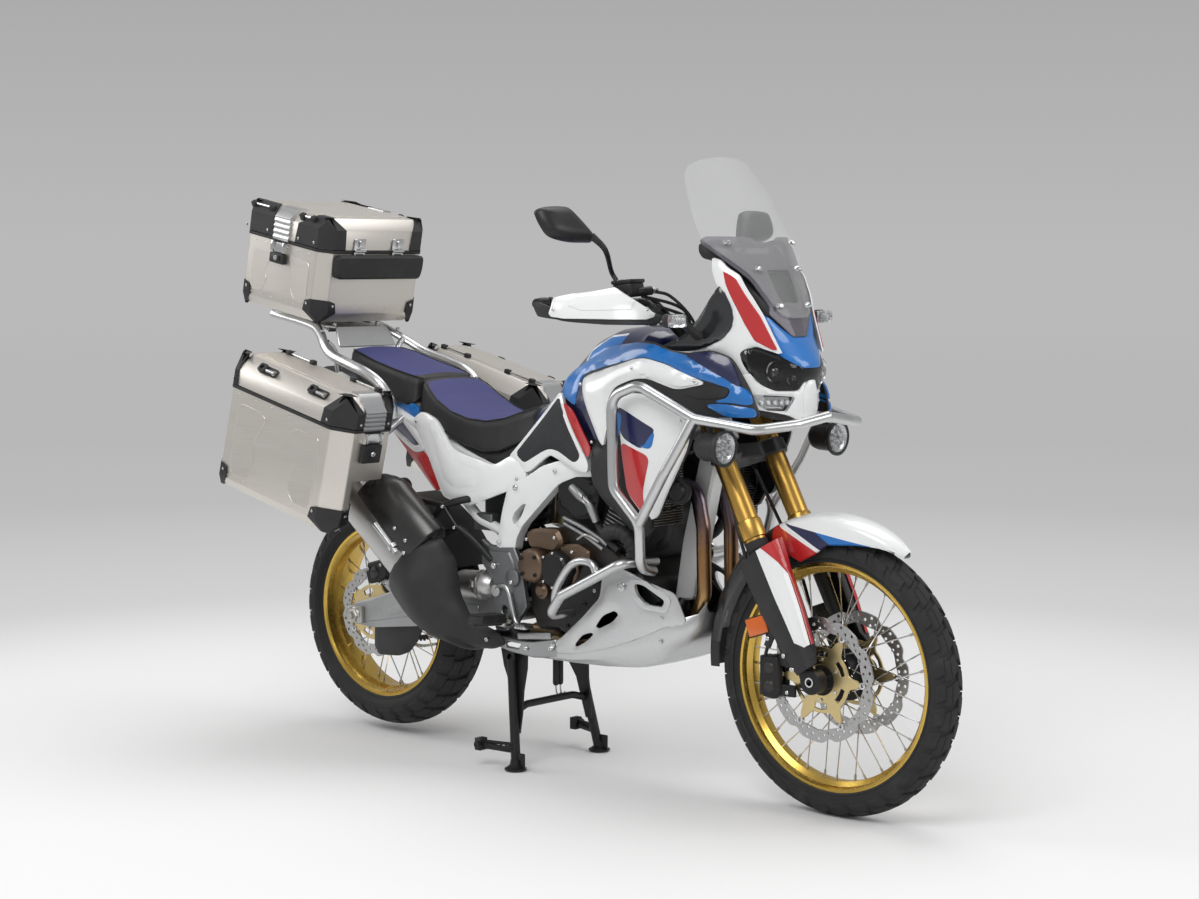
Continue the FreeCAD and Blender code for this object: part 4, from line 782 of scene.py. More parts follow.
# drawn or turned metal with hardly any texture
def smoothMetal(name, tint, rough=.22, metallic=1.0):
    shade = Shade(name, Metallic=metallic)
    cloud = shade.noise(23.0, 5.0)
    fine = shade.noise(700.0, 2.0)
    shade.set(Base_Color=shade.mix(cloud.blur(.45, .8) * .25, tint, tuple(c * .7 for c in tint)),
        Roughness=cloud * .1 + fine * .05 + (rough - .07))
    shade.bump(fine, .00004, .4)
    return shade.material


def rubberFinish(name, tint=(.014, .014, .0145), rough=.78):
    shade = Shade(name, IOR=1.5)
    dust = shade.noise(16.0, 6.0, .65)
    fine = shade.noise(520.0, 3.0)
    shade.set(Base_Color=shade.mix(dust.blur(.45, .85) * .5, tint, (.055, .053, .05)),
        Roughness=dust * .12 + (rough - .06))
    shade.bump(fine, .00018, .55)
    return shade.material


def clearFinish(name, tint, rough=.03):
    shade = Shade(name, IOR=1.45, Transmission_Weight=1.0)
    haze = shade.noise(12.0, 4.0)
    shade.set(Base_Color=tint, Roughness=haze * .02 + rough)
    shade.bump(shade.noise(30.0, 2.0), .00002, .2)
    return shade.material


finish = {
    "white": lacquer("whiteLacquer", tints["white"]), "blue": lacquer("blueLacquer", tints["blue"]),
    "navy": lacquer("navyLacquer", tints["navy"]), "red": lacquer("redLacquer", tints["red"]),
    "frameWhite": lacquer("frameEnamel", (.76, .77, .77), rough=.38, coat=.5),
    "gloss": lacquer("glossBlack", tints["black"], rough=.2),
    "black": mouldedPlastic("blackPlastic", (.016, .016, .017)),
    "fineBlack": mouldedPlastic("fineBlackPlastic", (.011, .011, .012), .42, 1500.0, .00006),
    "grey": mouldedPlastic("darkGreyPlastic", tints["grey"], .6),
    "kneePad": mouldedPlastic("kneePadRubber", (.018, .019, .021), .62, 230.0, .0016),
    "satin": castMetal("satinBlackMetal", (.014, .014, .015), .42, .35, 900.0, .0001, .2),
    "engine": castMetal("engineCasting", (.055, .052, .05), .46, .7),
    "bronze": castMetal("bronzeCasting", tints["bronze"], .4, .85, 700.0, .00016),
    "castSilver": castMetal("castSilver", (.4, .405, .41), .42, .9, 560.0, .0002),
    "plate": castMetal("plateGrey", (.2, .205, .21), .45, .8, 700.0, .00012),
    "silver": smoothMetal("silverTube", (.6, .605, .61), .3),
    "steel": smoothMetal("polishedSteel", (.62, .62, .625), .16),
    "zinc": smoothMetal("zincSteel", (.5, .49, .46), .32),
    "gold": smoothMetal("goldAnodised", tints["gold"], .26),
    "goldPale": smoothMetal("paleGold", (.66, .53, .27), .34),
    "goldTube": smoothMetal("goldTube", (.6, .36, .09), .3),
    "disc": brushedMetal("groundDisc", (.4, .4, .4), (0, 1, 0), .3, strength=.3),
    "skid": brushedMetal("skidSheet", (.56, .565, .57), (1, 0, 0), .36),
    "case": brushedMetal("caseSheet", tints["case"], (1, 0, 0), .4),
    "rack": brushedMetal("rackSheet", (.5, .505, .51), (1, 0, 0), .36),
    "muffler": brushedMetal("mufflerShell", (.46, .455, .45), (0, 0, 1), .34),
    "rubber": rubberFinish("treadRubber"),
    "softRubber": rubberFinish("softRubber", (.012, .012, .012), .62),
    "lens": clearFinish("lampLens", (.95, .96, .97)),
    "mirrorGlass": smoothMetal("mirrorGlass", (.75, .77, .79), .08),
    "orange": lacquer("orangeReflector", tints["orange"], rough=.2),
    "redLamp": lacquer("redLamp", (.42, .006, .006), rough=.15),
    "darkGlass": clearFinish("darkLampGlass", (.22, .225, .23)),
    "frosted": lacquer("frostedLens", (.62, .63, .64), rough=.35, coat=.3),
    "deflector": lacquer("smokeDeflector", (.02, .021, .023), rough=.16, coat=.6),
    "darkShield": smoothMetal("darkShield", (.075, .074, .073), .28, .85),
}


# heat-tinted pipe: straw to bronze to blue by height and a slow cloud
def pipeFinish():
    shade = Shade("heatTintedPipe", Metallic=1.0)
    cloud = shade.noise(7.0, 5.0)
    heat = (shade.z * 1.6 + cloud * .5 - .75).blur(-.25, .9)
    tint = shade.node("ShaderNodeValToRGB", {"stops": [(0.0, (.36, .3, .23)), (.35, (.42, .28, .13)),
        (.62, (.33, .18, .08)), (.82, (.2, .13, .12)), (1.0, (.14, .13, .17))]}, {0: heat})
    fine = shade.noise(240.0, 3.0)
    shade.set(Base_Color=tint, Roughness=fine * .16 + cloud * .1 + .18)
    shade.bump(fine, .00006, .5)
    return shade.material


# screen sheet: a thin body that partly covers what is behind it
def screenFinish(name, tint, cover):
    shade = Shade(name, IOR=1.46)
    cloud = shade.noise(12.0, 4.0)
    shade.set(Base_Color=shade.mix(cloud * .3, tint, tuple(c * 1.25 for c in tint)),
        Roughness=cloud * .05 + .08, Alpha=cloud * .04 + (cover - .02))
    shade.bump(shade.noise(30.0, 2.0), .00002, .2)
    return shade.material


finish["smoked"] = screenFinish("smokedScreen", (.15, .141, .165), .66)
# the clear screen's faint pale cover is painted sheen: it brightens the screen in place of its reflections
finish["clear"] = screenFinish("clearScreen", (.62, .63, .63), .14)
finish["pipe"] = pipeFinish()
print("finishes ready:", len(finish))

# the room: camera, lamps, sky and floor
studio = {
    "cameraPlace": (4.258, -4.769, 1.396), "cameraTurn": 131.358, "cameraTilt": -4.795, "cameraRoll": .183,
    "lens": 71.76, "floorTint": (.8, .8, .8), "fadeFrom": 1.8, "fadeTo": 3.6,
    # the backdrop's grey by reach over the floor in metres, then by rise of the view above the horizon
    "farGrey": ((1.9, .8), (3.4, .64), (7.0, .505), (12.0, .475), (40.0, .49)),
    "skyGrey": ((0.0, .49), (.11, .405)),
    # place, size, watts, aim
    "keyLamp": ((1.6, -4.2, 4.6), 3.4, 150.0, (0.0, 0.0, .7)),
    "fillLamp": ((4.8, 1.6, 2.8), 3.0, 74.0, (.3, 0.0, .8)),
    "rearLamp": ((-4.2, -2.0, 3.2), 3.0, 70.0, (-.6, 0.0, .8)),
    "topLamp": ((-.3, 1.4, 5.2), 4.0, 92.0, (0.0, 0.0, .6)),
    "skyStrength": .46,
}


def makeCamera():
    turn, tilt, roll = (math.radians(studio[key]) for key in ("cameraTurn", "cameraTilt", "cameraRoll"))
    ahead = Vector((math.cos(turn) * math.cos(tilt), math.sin(turn) * math.cos(tilt), math.sin(tilt)))
    level = ahead.cross(Vector((0, 0, 1))).normalized()
    rise = level.cross(ahead)
    right = level * math.cos(roll) + rise * math.sin(roll)
    up = rise * math.cos(roll) - level * math.sin(roll)
    data = bpy.data.cameras.new("studioCamera")
    data.sensor_width, data.lens = 36.0, studio["lens"]
    data.clip_start, data.clip_end = .1, 200.0
    camera = bpy.data.objects.new("studioCamera", data)
    turned = Matrix((right, up, -ahead)).transposed().to_4x4()
    camera.matrix_world = Matrix.Translation(studio["cameraPlace"]) @ turned
    bpy.context.scene.collection.objects.link(camera)
    bpy.context.scene.camera = camera


def makeLamp(name, place, size, watts, aim):
    data = bpy.data.lights.new(name, "AREA")
    data.shape, data.size, data.energy = "DISK", size, watts
    lamp = bpy.data.objects.new(name, data)
    lamp.location = place
    lamp.rotation_mode = "QUATERNION"
    lamp.rotation_quaternion = (Vector(aim) - Vector(place)).to_track_quat("-Z", "Y")
    bpy.context.scene.collection.objects.link(lamp)


# what the camera, mirrors and glass see of the surroundings is the plain pale backdrop
def seenRays(nodes, links):
    rays = nodes.new("ShaderNodeLightPath")
    seen = rays.outputs["Is Camera Ray"]
    for kind in ("Is Glossy Ray", "Is Transmission Ray"):
        either = nodes.new("ShaderNodeMath")
        either.operation = "MAXIMUM"
        links.new(seen, either.inputs[0])
        links.new(rays.outputs[kind], either.inputs[1])
        seen = either.outputs[0]
    return seen


# a grey that follows a few (reach, level) steps
def greySteps(nodes, links, reach, steps):
    level = None
    for (low, before), (high, after) in zip(steps, steps[1:]):
        span = nodes.new("ShaderNodeMapRange")
        span.inputs["From Min"].default_value, span.inputs["From Max"].default_value = low, high
        span.inputs["To Min"].default_value = before if level is None else 0.0
        span.inputs["To Max"].default_value = after if level is None else after - before
        links.new(reach, span.inputs["Value"])
        if level is None:
            level = span.outputs[0]
        else:
            total = nodes.new("ShaderNodeMath")
            links.new(level, total.inputs[0])
            links.new(span.outputs[0], total.inputs[1])
            level = total.outputs[0]
    return level


def makeSky():
    world = bpy.data.worlds.new("studioSky")
    bpy.context.scene.world = world
    world.use_nodes = True
    nodes, links = world.node_tree.nodes, world.node_tree.links
    plain = nodes["Background"]
    plain.inputs["Color"].default_value = (1, 1, 1, 1)
    plain.inputs["Strength"].default_value = studio["skyStrength"]
    seen = nodes.new("ShaderNodeBackground")
    view = nodes.new("ShaderNodeSeparateXYZ")
    links.new(nodes.new("ShaderNodeTexCoord").outputs["Generated"], view.inputs[0])
    links.new(greySteps(nodes, links, view.outputs[2], studio["skyGrey"]), seen.inputs["Color"])
    mix = nodes.new("ShaderNodeMixShader")
    links.new(seenRays(nodes, links), mix.inputs[0])
    links.new(plain.outputs[0], mix.inputs[1])
    links.new(seen.outputs[0], mix.inputs[2])
    links.new(mix.outputs[0], nodes["World Output"].inputs["Surface"])


def makeFloor():
    shade = Shade("studioFloor", Base_Color=studio["floorTint"], Roughness=.9)
    nodes, links = shade.tree.nodes, shade.tree.links
    reach = (shade.x * shade.x + shade.y * shade.y).math("SQRT")
    seen = Value(shade, seenRays(nodes, links))
    far = seen * reach.blur(studio["fadeFrom"], studio["fadeTo"])
    glow = nodes.new("ShaderNodeEmission")
    links.new(greySteps(nodes, links, reach.socket, studio["farGrey"]), glow.inputs["Color"])
    mix = nodes.new("ShaderNodeMixShader")
    shade.feed(mix.inputs[0], far)
    links.new(shade.shader.outputs[0], mix.inputs[1])
    links.new(glow.outputs[0], mix.inputs[2])
    links.new(mix.outputs[0], nodes["Material Output"].inputs["Surface"])
    mesh = bpy.data.meshes.new("studioFloor")
    corners = circlePoints((0, 0), 60.0, 64)
    mesh.from_pydata([(p.x, p.y, -.0005) for p in corners], [], [tuple(range(64))])
    mesh.materials.append(shade.material)
    floor = bpy.data.objects.new("studioFloor", mesh)
    bpy.context.scene.collection.objects.link(floor)


bpy.context.scene.view_settings.view_transform = "Standard"
makeCamera()
for lampName in ("keyLamp", "fillLamp", "rearLamp", "topLamp"):
    makeLamp(lampName, *studio[lampName])
makeSky()
makeFloor()
print("studio ready")

# both wheels: sizes in metres, spoke crossing in degrees
frontWheel = {
    "label": "front", "body": "front_wheel", "centre": frontHub, "radius": .348, "width": .092, "drop": .03,
    "rimRadius": .28, "rimWidth": .066, "flange": .06, "spread": .03, "hubHalf": .062, "barrel": .03,
    "spokes": 36, "cross": 38.0, "rimSide": .007, "blocks": 34, "depth": .0065,
}
rearWheel = {
    "label": "rear", "body": "rear_wheel", "centre": rearHub, "radius": .334, "width": .15, "drop": .044,
    "rimRadius": .242, "rimWidth": .116, "flange": .07, "spread": .038, "hubHalf": .08, "barrel": .04,
    "spokes": 32, "cross": 34.0, "rimSide": .012, "blocks": 30, "depth": .008,
}


# height of the round crown at a distance along the axle
def crownAt(wheel, along):
    arc = (wheel["width"] / 2) ** 2 / (2 * wheel["drop"]) + wheel["drop"] / 2
    return wheel["radius"] - arc + math.sqrt(max(arc * arc - along * along, 0.0))


def tyreProfile(wheel):
    half, depth, bead = wheel["width"] / 2, wheel["depth"], wheel["rimRadius"]
    edge = half - .0035
    crown = [(crownAt(wheel, along) - depth, along) for along in np.linspace(-edge, edge, 15)]
    low, shoulder = wheel["rimWidth"] / 2, wheel["radius"] - wheel["drop"]
    wall = [(shoulder - .012, half), (shoulder - .016, half - .0008), (shoulder - .02, half),
        ((shoulder + bead) / 2 + .002, half - .001), (bead + .02, half * .55 + low * .5),
        (bead + .0125, low + .0055), (bead + .0105, low + .0065), (bead + .0085, low + .0055),
        (bead + .003, low + .002), (bead - .004, low - .004), (bead - .004, low - .016)]
    left = [(radius, -along) for radius, along in reversed(wall)]
    inside = [(bead + .012, low - .02), (wheel["radius"] - wheel["drop"] * .6, half - .02),
        (wheel["radius"] - .026, 0), (wheel["radius"] - wheel["drop"] * .6, .02 - half),
        (bead + .012, .02 - low)]
    return left + crown + wall + inside


# one tread block between two lines of (along the tread, along the axle) places, bent onto the crown
def treadBlock(wheel, name, leading, trailing, rows=4):
    depth, radius = wheel["depth"], wheel["radius"]
    points, faces = [], []

    def spot(along, side, sink):
        reach = crownAt(wheel, side) - sink
        angle = along / radius
        return (reach * math.cos(angle) - radius, reach * math.sin(angle), side)

    grid = []
    middleSide = (leading[0][1] + leading[-1][1]) / 2
    for sink, grow in ((0.0, 0.0), (.0012, .0009), (depth + .002, .0022)):
        ring = []
        for row in range(rows + 1):
            t = row / rows
            first = [np.interp(t, np.linspace(0, 1, len(leading)), [p[k] for p in leading]) for k in (0, 1)]
            last = [np.interp(t, np.linspace(0, 1, len(trailing)), [p[k] for p in trailing]) for k in (0, 1)]
            for column in range(3):
                s = column / 2
                along, side = first[0] * (1 - s) + last[0] * s, first[1] * (1 - s) + last[1] * s
                if column == 0:
                    along -= grow
                if column == 2:
                    along += grow
                if row == 0:
                    side -= grow * math.copysign(1, middleSide - leading[0][1])
                if row == rows:
                    side += grow * math.copysign(1, leading[-1][1] - middleSide)
                side = max(-wheel["width"] / 2 + .0002, min(wheel["width"] / 2 - .0002, side))
                ring.append(spot(along, side, sink))
        grid.append(ring)
    for ring in grid:
        points += ring
    size = 3 * (rows + 1)
    for row in range(rows):
        for column in range(2):
            a = row * 3 + column
            faces.append((a, a + 1, a + 4, a + 3))
    rim = [i * 3 for i in range(rows + 1)] + [rows * 3 + 1]
    rim += [i * 3 + 2 for i in range(rows, -1, -1)] + [1]
    for layer in range(2):
        for a, b in zip(rim, rim[1:] + rim[:1]):
            faces.append((layer * size + a, layer * size + b, (layer + 1) * size + b, (layer + 1) * size + a))
    mesh = bpy.data.meshes.new(name)
    mesh.from_pydata(points, [], faces)
    facesOut(mesh, fill=True)
    return bpy.data.objects.new(name, mesh)


# outlines of the blocks on the left half, as fractions of the pitch and of the half width
treadBlocks = (
    (((.02, .03), (.16, .4)), ((.66, .03), (.86, .4))), (((.2, .46), (.3, .7)), ((.88, .46), (.98, .7))),
    (((.06, .76), (.2, .998)), ((.7, .76), (.84, .998))),
)
axleTurn = (-math.pi / 2, 0.0, 0.0)


def makeTyre(wheel):
    carcass = Piece(wheel["label"] + "Tyre", "rubber")
    carcass.lathe(tyreProfile(wheel), wheel["centre"], (0, 1, 0), 144, closed=True)
    body = carcass.mesh()
    facesOut(body)
    meshes = [body]
    pitch, half = math.tau * wheel["radius"] / wheel["blocks"], wheel["width"] / 2
    for leading, trailing in treadBlocks:
        for side in (1, -1):
            first = [(s * pitch, side * y * half) for s, y in leading]
            last = [(s * pitch, side * y * half) for s, y in trailing]
            copy = treadBlock(wheel, "treadBlock", first, last)
            meshes.append(grown("treadRow", ringTree, Count=wheel["blocks"], Radius=wheel["radius"],
                Along=0.0, Turn=(.5 if side < 0 else 0.0) * math.tau / wheel["blocks"],
                Place=tuple(wheel["centre"]), Axle=axleTurn, Copy=copy, Finish=finish["rubber"]))
            bpy.data.objects.remove(copy)
    joined(wheel["label"] + "Tyre", meshes, wheel["body"], wheel["label"] + "_tyre", crease=30)


def makeRim(wheel):
    bead, half = wheel["rimRadius"], wheel["rimWidth"] / 2
    rim = Piece(wheel["label"] + "Rim", "gold")
    outer = [(bead + .0065, half + .0022), (bead + .0065, half - .0005), (bead - .001, half - .003),
        (bead - .003, half * .62), (bead - .014, half * .42), (bead - .015, 0)]
    inner = [(bead - .0215, 0), (bead - .0205, half * .4), (bead - .0115, half * .62),
        (bead - .0085, half - .01), (bead - .0075, half - .002), (bead - .004, half + .0026),
        (bead + .002, half + .0038)]
    loop = [(radius, -along) for radius, along in outer]
    loop += [(radius, along) for radius, along in reversed(outer[:-1])]
    loop += [(radius, along) for radius, along in reversed(inner)]
    loop += [(radius, -along) for radius, along in inner[1:]]
    rim.lathe(loop, wheel["centre"], (0, 1, 0), 120, closed=True)
    rim.make(wheel["body"], "gold_rim", wheel["label"] + "_rim", crease=30)


# a wire from the hub flange to its nipple in the rim, crossing its neighbours
def makeSpokes(wheel):
    count, each = wheel["spokes"], wheel["spokes"] // 4
    meshes = []
    reach = wheel["rimRadius"] - .0165
    for number, (side, lean) in enumerate(((1, 1), (-1, 1), (1, -1), (-1, -1))):
        swing = math.radians(wheel["cross"]) * lean
        start = Vector((0, 0, 0))
        end = Vector((reach * math.cos(swing) - wheel["flange"], reach * math.sin(swing),
            side * (wheel["rimSide"] - wheel["spread"])))
        nearEnd = end + (start - end).normalized() * .019
        wire = Piece("spoke", "steel")
        wire.tube([start, start + (end - start) * .5, end], .0019, 1, 6, smooth=False)
        nut = Piece("nipple", "zinc")
        nut.tube([nearEnd, nearEnd + (end - nearEnd) * .25, end], [.0026, .0036, .0034], 1, 6, smooth=False)
        for part, look in ((wire, "steel"), (nut, "zinc")):
            mesh = part.mesh()
            copy = bpy.data.objects.new("spoke", mesh)
            meshes.append(grown("spokes", ringTree, Count=each, Radius=wheel["flange"],
                Along=side * wheel["spread"], Turn=math.tau * number / count - swing,
                Place=tuple(wheel["centre"]), Axle=axleTurn, Copy=copy, Finish=finish[look]))
            bpy.data.objects.remove(copy)
    joined(wheel["label"] + "Spokes", meshes, wheel["body"])


def makeHub(wheel):
    spread, flange, half, barrel = wheel["spread"], wheel["flange"], wheel["hubHalf"], wheel["barrel"]
    hub = Piece(wheel["label"] + "Hub", "satin")
    side = [(.013, half), (.024, half), (.0255, half - .002), (.026, half - .012),
        (barrel + .004, spread + .014), (barrel + .01, spread + .008), (flange - .004, spread + .0035),
        (flange + .004, spread + .003), (flange + .0055, spread), (flange + .004, spread - .003),
        (flange - .006, spread - .0045), (barrel + .006, spread - .01), (barrel, spread - .018)]
    profile = side + [(radius, -along) for radius, along in reversed(side)]
    hub.lathe(profile, wheel["centre"], (0, 1, 0), 48, closed=True)
    hub.use("steel")
    for hand in (1, -1):
        for step in range(wheel["spokes"] // 2):
            angle = math.tau * (step + .5) / (wheel["spokes"] // 2)
            place = wheel["centre"] + Vector(
                (flange * math.cos(angle), hand * spread, flange * math.sin(angle)))
            hub.lathe([(0.0, .0062), (.003, .0056), (.0036, .003), (0.0, .0028)], place, (0, hand, 0), 8)
    hub.make(wheel["body"], "axle_steel", wheel["label"] + "_hub")


def arm(angle, reach=1.0):
    return Vector((math.cos(angle), math.sin(angle))) * reach


def discOutline(radius, waves, deep):
    count = waves * 14
    return [arm(a, radius - deep * max(0.0, math.cos(waves * a)) ** 3)
        for a in (math.tau * step / count for step in range(count))]


# wave-edged disc with drilled rows, and the pale gold carrier inside it
def makeDisc(name, body, centre, side, values, replaces):
    radius, width, waves = values["radius"], values["ring"], values["waves"]
    hand = 1 if side > 0 else -1
    where = facing(centre + Vector((0, side - hand * .0022, 0)), (0, hand, 0))
    inner = [arm(a, radius - width + .004 * math.cos(values["buttons"] * a) ** 2)
        for a in (math.tau * step / 96 for step in range(96))]
    holes = [list(reversed(inner))]
    for number in range(waves):
        for reach, offset, size in values["holes"]:
            angle = math.tau * (number + offset) / waves
            holes.append(circlePoints((reach * math.cos(angle), reach * math.sin(angle)), size, 8))
    disc = Piece(name, "disc")
    disc.plate(discOutline(radius, waves, values["deep"]), .0045, where, holes, .0006)
    disc.use("goldPale")
    count = values["buttons"]
    bell, tip = values["bell"], radius - width - .001
    steps = count * 12
    outline = []
    for step in range(steps):
        angle = math.tau * step / steps
        lobe = max(0.0, math.cos(count * angle)) ** 3
        outline.append(arm(angle, tip - (tip - bell - .027) * (1 - lobe)))
    openings = [circlePoints((0, 0), values["eye"], 32)]
    for number in range(count):
        angle = math.tau * (number + .5) / count
        openings.append([arm(angle + swing, bell + reach)
            for swing, reach in ((-.3, .004), (0, .003), (.3, .004), (.27, .017), (0, .018), (-.27, .017))])
    inset = shift(0, -hand * .001, 0) @ where
    disc.plate(outline, .0055, inset, openings, .0008)
    disc.use("steel")
    for number in range(count):
        angle = math.tau * number / count
        spot = where @ Vector(((tip + .0035) * math.cos(angle), (tip + .0035) * math.sin(angle), .0022))
        disc.lathe([(.0035, -.0048), (.0085, -.0048), (.0088, -.004), (.0088, .004), (.0085, .0048),
            (.0045, .0052), (.0035, .003)], spot, (0, hand, 0), 14, closed=True)
        inside = math.tau * (number + .5) / count
        boltSpot = where @ Vector((values["boltReach"] * math.cos(inside),
            values["boltReach"] * math.sin(inside), .0052))
        bolt("cap", body, boltSpot, (0, hand, 0), .009, .003)
    disc.make(body, "disc_steel", replaces)


frontDisc = {
    "radius": .155, "ring": .034, "waves": 9, "deep": .01, "buttons": 6, "bell": .055, "eye": .038,
    "boltReach": .05,
    "holes": ((.146, .32, .0042), (.146, .68, .0042), (.137, .5, .0042), (.136, .14, .0038),
        (.136, .86, .0038), (.127, .32, .0042), (.127, .7, .0042), (.13, 0.0, .0034)),
}
rearDisc = {
    "radius": .128, "ring": .036, "waves": 8, "deep": .009, "buttons": 5, "bell": .052, "eye": .04,
    "boltReach": .05,
    "holes": ((.119, .32, .0042), (.119, .68, .0042), (.11, .5, .0042), (.108, .12, .0038),
        (.108, .88, .0038), (.1, .34, .0042), (.1, .7, .0042)),
}
sprocketPlan = {"teeth": 42, "radius": .106, "side": .09, "windows": 5, "outer": .088, "inner": .066,
    "boltReach": .056, "thick": .007}


# two-tone toothed ring with windows
def makeSprocket():
    teeth, radius, windows = (sprocketPlan[key] for key in ("teeth", "radius", "windows"))
    middleSpot = rearHub + Vector((0, sprocketPlan["side"], 0))
    outline = []
    for step in range(teeth * 4):
        angle = math.tau * step / (teeth * 4)
        outline.append(arm(angle, radius - (0.0, .001, .0075, .0075)[step % 4]))
    openings = [circlePoints((0, 0), .046, 32)]
    for number in range(windows):
        start = math.tau * number / windows + .16
        arc = [start + .94 * step / 6 for step in range(7)]
        openings.append([arm(a, sprocketPlan["outer"]) for a in arc]
            + [arm(a, sprocketPlan["inner"]) for a in reversed(arc)])
    where = facing(middleSpot, (0, 1, 0))
    wheel = Piece("rearSprocket", "satin")
    wheel.plate(outline, sprocketPlan["thick"], where, openings, .0007)
    for number in range(windows):
        angle = math.tau * number / windows
        reach = sprocketPlan["boltReach"]
        spot = Vector((reach * math.cos(angle), reach * math.sin(angle), sprocketPlan["thick"]))
        bolt("hex", "rear_wheel", where @ spot, (0, 1, 0), .014, .007)
    wheel.use("castSilver")
    wheel.lathe([(.03, -.03), (.062, -.026), (.064, -.001), (.05, 0.0), (.03, .002)], middleSpot, (0, 1, 0),
        40, closed=True)
    wheel.make("rear_wheel", "black_metal", "rear_sprocket")


for wheelValues in (frontWheel, rearWheel):
    makeTyre(wheelValues)
    makeRim(wheelValues)
    makeSpokes(wheelValues)
    makeHub(wheelValues)
makeDisc("frontDiscLeft", "front_wheel", frontHub, .074, frontDisc, "front_discs")
makeDisc("frontDiscRight", "front_wheel", frontHub, -.074, frontDisc, "front_discs")
makeDisc("rearDisc", "rear_wheel", rearHub, -.09, rearDisc, "rear_disc")
makeSprocket()
print("wheels ready")

# one curved skin a side; every side panel is cut out of it: (behind, height, side)
sideSkin = [
    (.12, 1.02, .128), (.15, .97, .168), (.15, 1.02, .165), (.15, 1.1, .148), (.25, .98, .205),
    (.25, 1.03, .205), (.25, 1.13, .198), (.35, .86, .228), (.35, .98, .235), (.35, 1.05, .237),
    (.35, 1.13, .222), (.45, .75, .226), (.45, .9, .246), (.45, 1.02, .251), (.45, 1.1, .244),
    (.45, 1.16, .212), (.52, .8, .225), (.55, .9, .238), (.55, 1.0, .247), (.55, 1.08, .238),
    (.55, 1.15, .19), (.65, .85, .2), (.65, .95, .222), (.65, 1.05, .22), (.65, 1.11, .18), (.75, .93, .188),
    (.75, 1.02, .188), (.75, 1.07, .166), (.8, .85, .172), (.85, .87, .168), (.95, .84, .153),
    (.98, .84, .15),
]
sideParts = {
    "shell": [(.15, 1.012), (.166, 1.052), (.205, 1.116), (.22, 1.134), (.266, 1.15), (.331, 1.141),
        (.373, 1.145), (.431, 1.163), (.489, 1.166), (.542, 1.159), (.608, 1.151), (.66, 1.126), (.72, 1.098),
        (.76, 1.074), (.776, 1.051), (.772, 1.024), (.74, 1.0), (.69, .99), (.632, .96), (.598, .905),
        (.581, .896), (.545, .94), (.509, .9), (.503, .785), (.437, .72), (.41, .728), (.317, .9),
        (.29, .985), (.222, .985), (.142, .985)],
    "cowl": [(.674, 1.064), (.659, 1.074), (.527, 1.108), (.48, 1.122), (.44, 1.126), (.373, 1.112),
        (.261, 1.068), (.337, 1.05), (.421, 1.077), (.468, 1.073), (.527, 1.051), (.55, 1.021), (.552, .958),
        (.581, .896), (.597, .909), (.632, .983), (.669, 1.049)],
    "letterPlate": [(.47, 1.116), (.44, 1.119), (.375, 1.105), (.305, 1.076), (.272, 1.069), (.333, 1.057),
        (.414, 1.088), (.455, 1.086)],
    "barPanel": [(.516, 1.023), (.485, 1.035), (.442, 1.04), (.298, .988), (.317, .9), (.41, .726),
        (.439, .718), (.503, .782), (.509, .927)],
    "blueBand": [(.165, 1.052), (.217, 1.079), (.292, 1.119), (.331, 1.138), (.373, 1.143), (.431, 1.16),
        (.489, 1.163), (.542, 1.157), (.608, 1.149), (.66, 1.124), (.72, 1.096), (.758, 1.072), (.774, 1.05),
        (.771, 1.026), (.757, 1.014), (.716, 1.0), (.694, .994), (.69, 1.056), (.682, 1.075), (.649, 1.086),
        (.527, 1.113), (.48, 1.124), (.442, 1.128), (.373, 1.114), (.305, 1.085), (.235, 1.066),
        (.204, 1.057), (.21, 1.035), (.253, 1.022), (.201, 1.023), (.152, 1.015)],
    "navyFront": [(.331, 1.137), (.266, 1.148), (.219, 1.132), (.205, 1.114), (.178, 1.056), (.223, 1.083),
        (.292, 1.121)],
    "navyGap": [(.686, 1.052), (.676, 1.06), (.634, .983), (.601, .906), (.616, .912), (.656, .985),
        (.69, .992)],
    "blueLow": [(.272, 1.016), (.222, 1.02), (.153, 1.011), (.145, .988), (.204, .987), (.222, .992)],
    "recess": [(.331, 1.046), (.259, 1.066), (.206, 1.055), (.212, 1.036), (.279, 1.028)],
    "redBlock": [(.505, .915), (.413, .881), (.445, .786), (.437, .724), (.5, .787)],
    "navyBlock": [(.512, 1.004), (.482, .993), (.394, .95), (.407, .932), (.416, .912), (.44, .9),
        (.5, .926)],
    "skyBlock": [(.394, .949), (.407, .897), (.462, .912), (.44, .905), (.424, .912), (.414, .928)],
    "skyTall": [(.512, .99), (.497, .984), (.499, .962), (.505, .938), (.506, .93), (.51, .932)],
    "pad": [(.958, .852), (.776, 1.012), (.765, .994), (.726, .927), (.687, .86), (.716, .842), (.78, .87),
        (.812, .874), (.836, .868), (.913, .832), (.925, .832)],
    "padBorder": [(.984, .847), (.915, .907), (.78, 1.026), (.762, 1.01), (.712, .923), (.664, .848),
        (.668, .822), (.718, .822), (.78, .845), (.822, .858), (.845, .845), (.905, .806), (.925, .805),
        (.984, .838)],
    "redStripe": [(.753, 1.004), (.694, .98), (.668, .941), (.634, .886), (.658, .857), (.702, .924),
        (.727, .962)],
    "shroud": [(.661, .837), (.655, .88), (.64, .93), (.618, .905), (.605, .895), (.589, .944), (.56, .95),
        (.52, .9), (.505, .78), (.47, .72), (.44, .7), (.481, .662), (.565, .711), (.631, .75), (.664, .798)],
}


def raised(lift, skin=sideSkin):
    return [(back, height, side + lift) for back, height, side in skin]


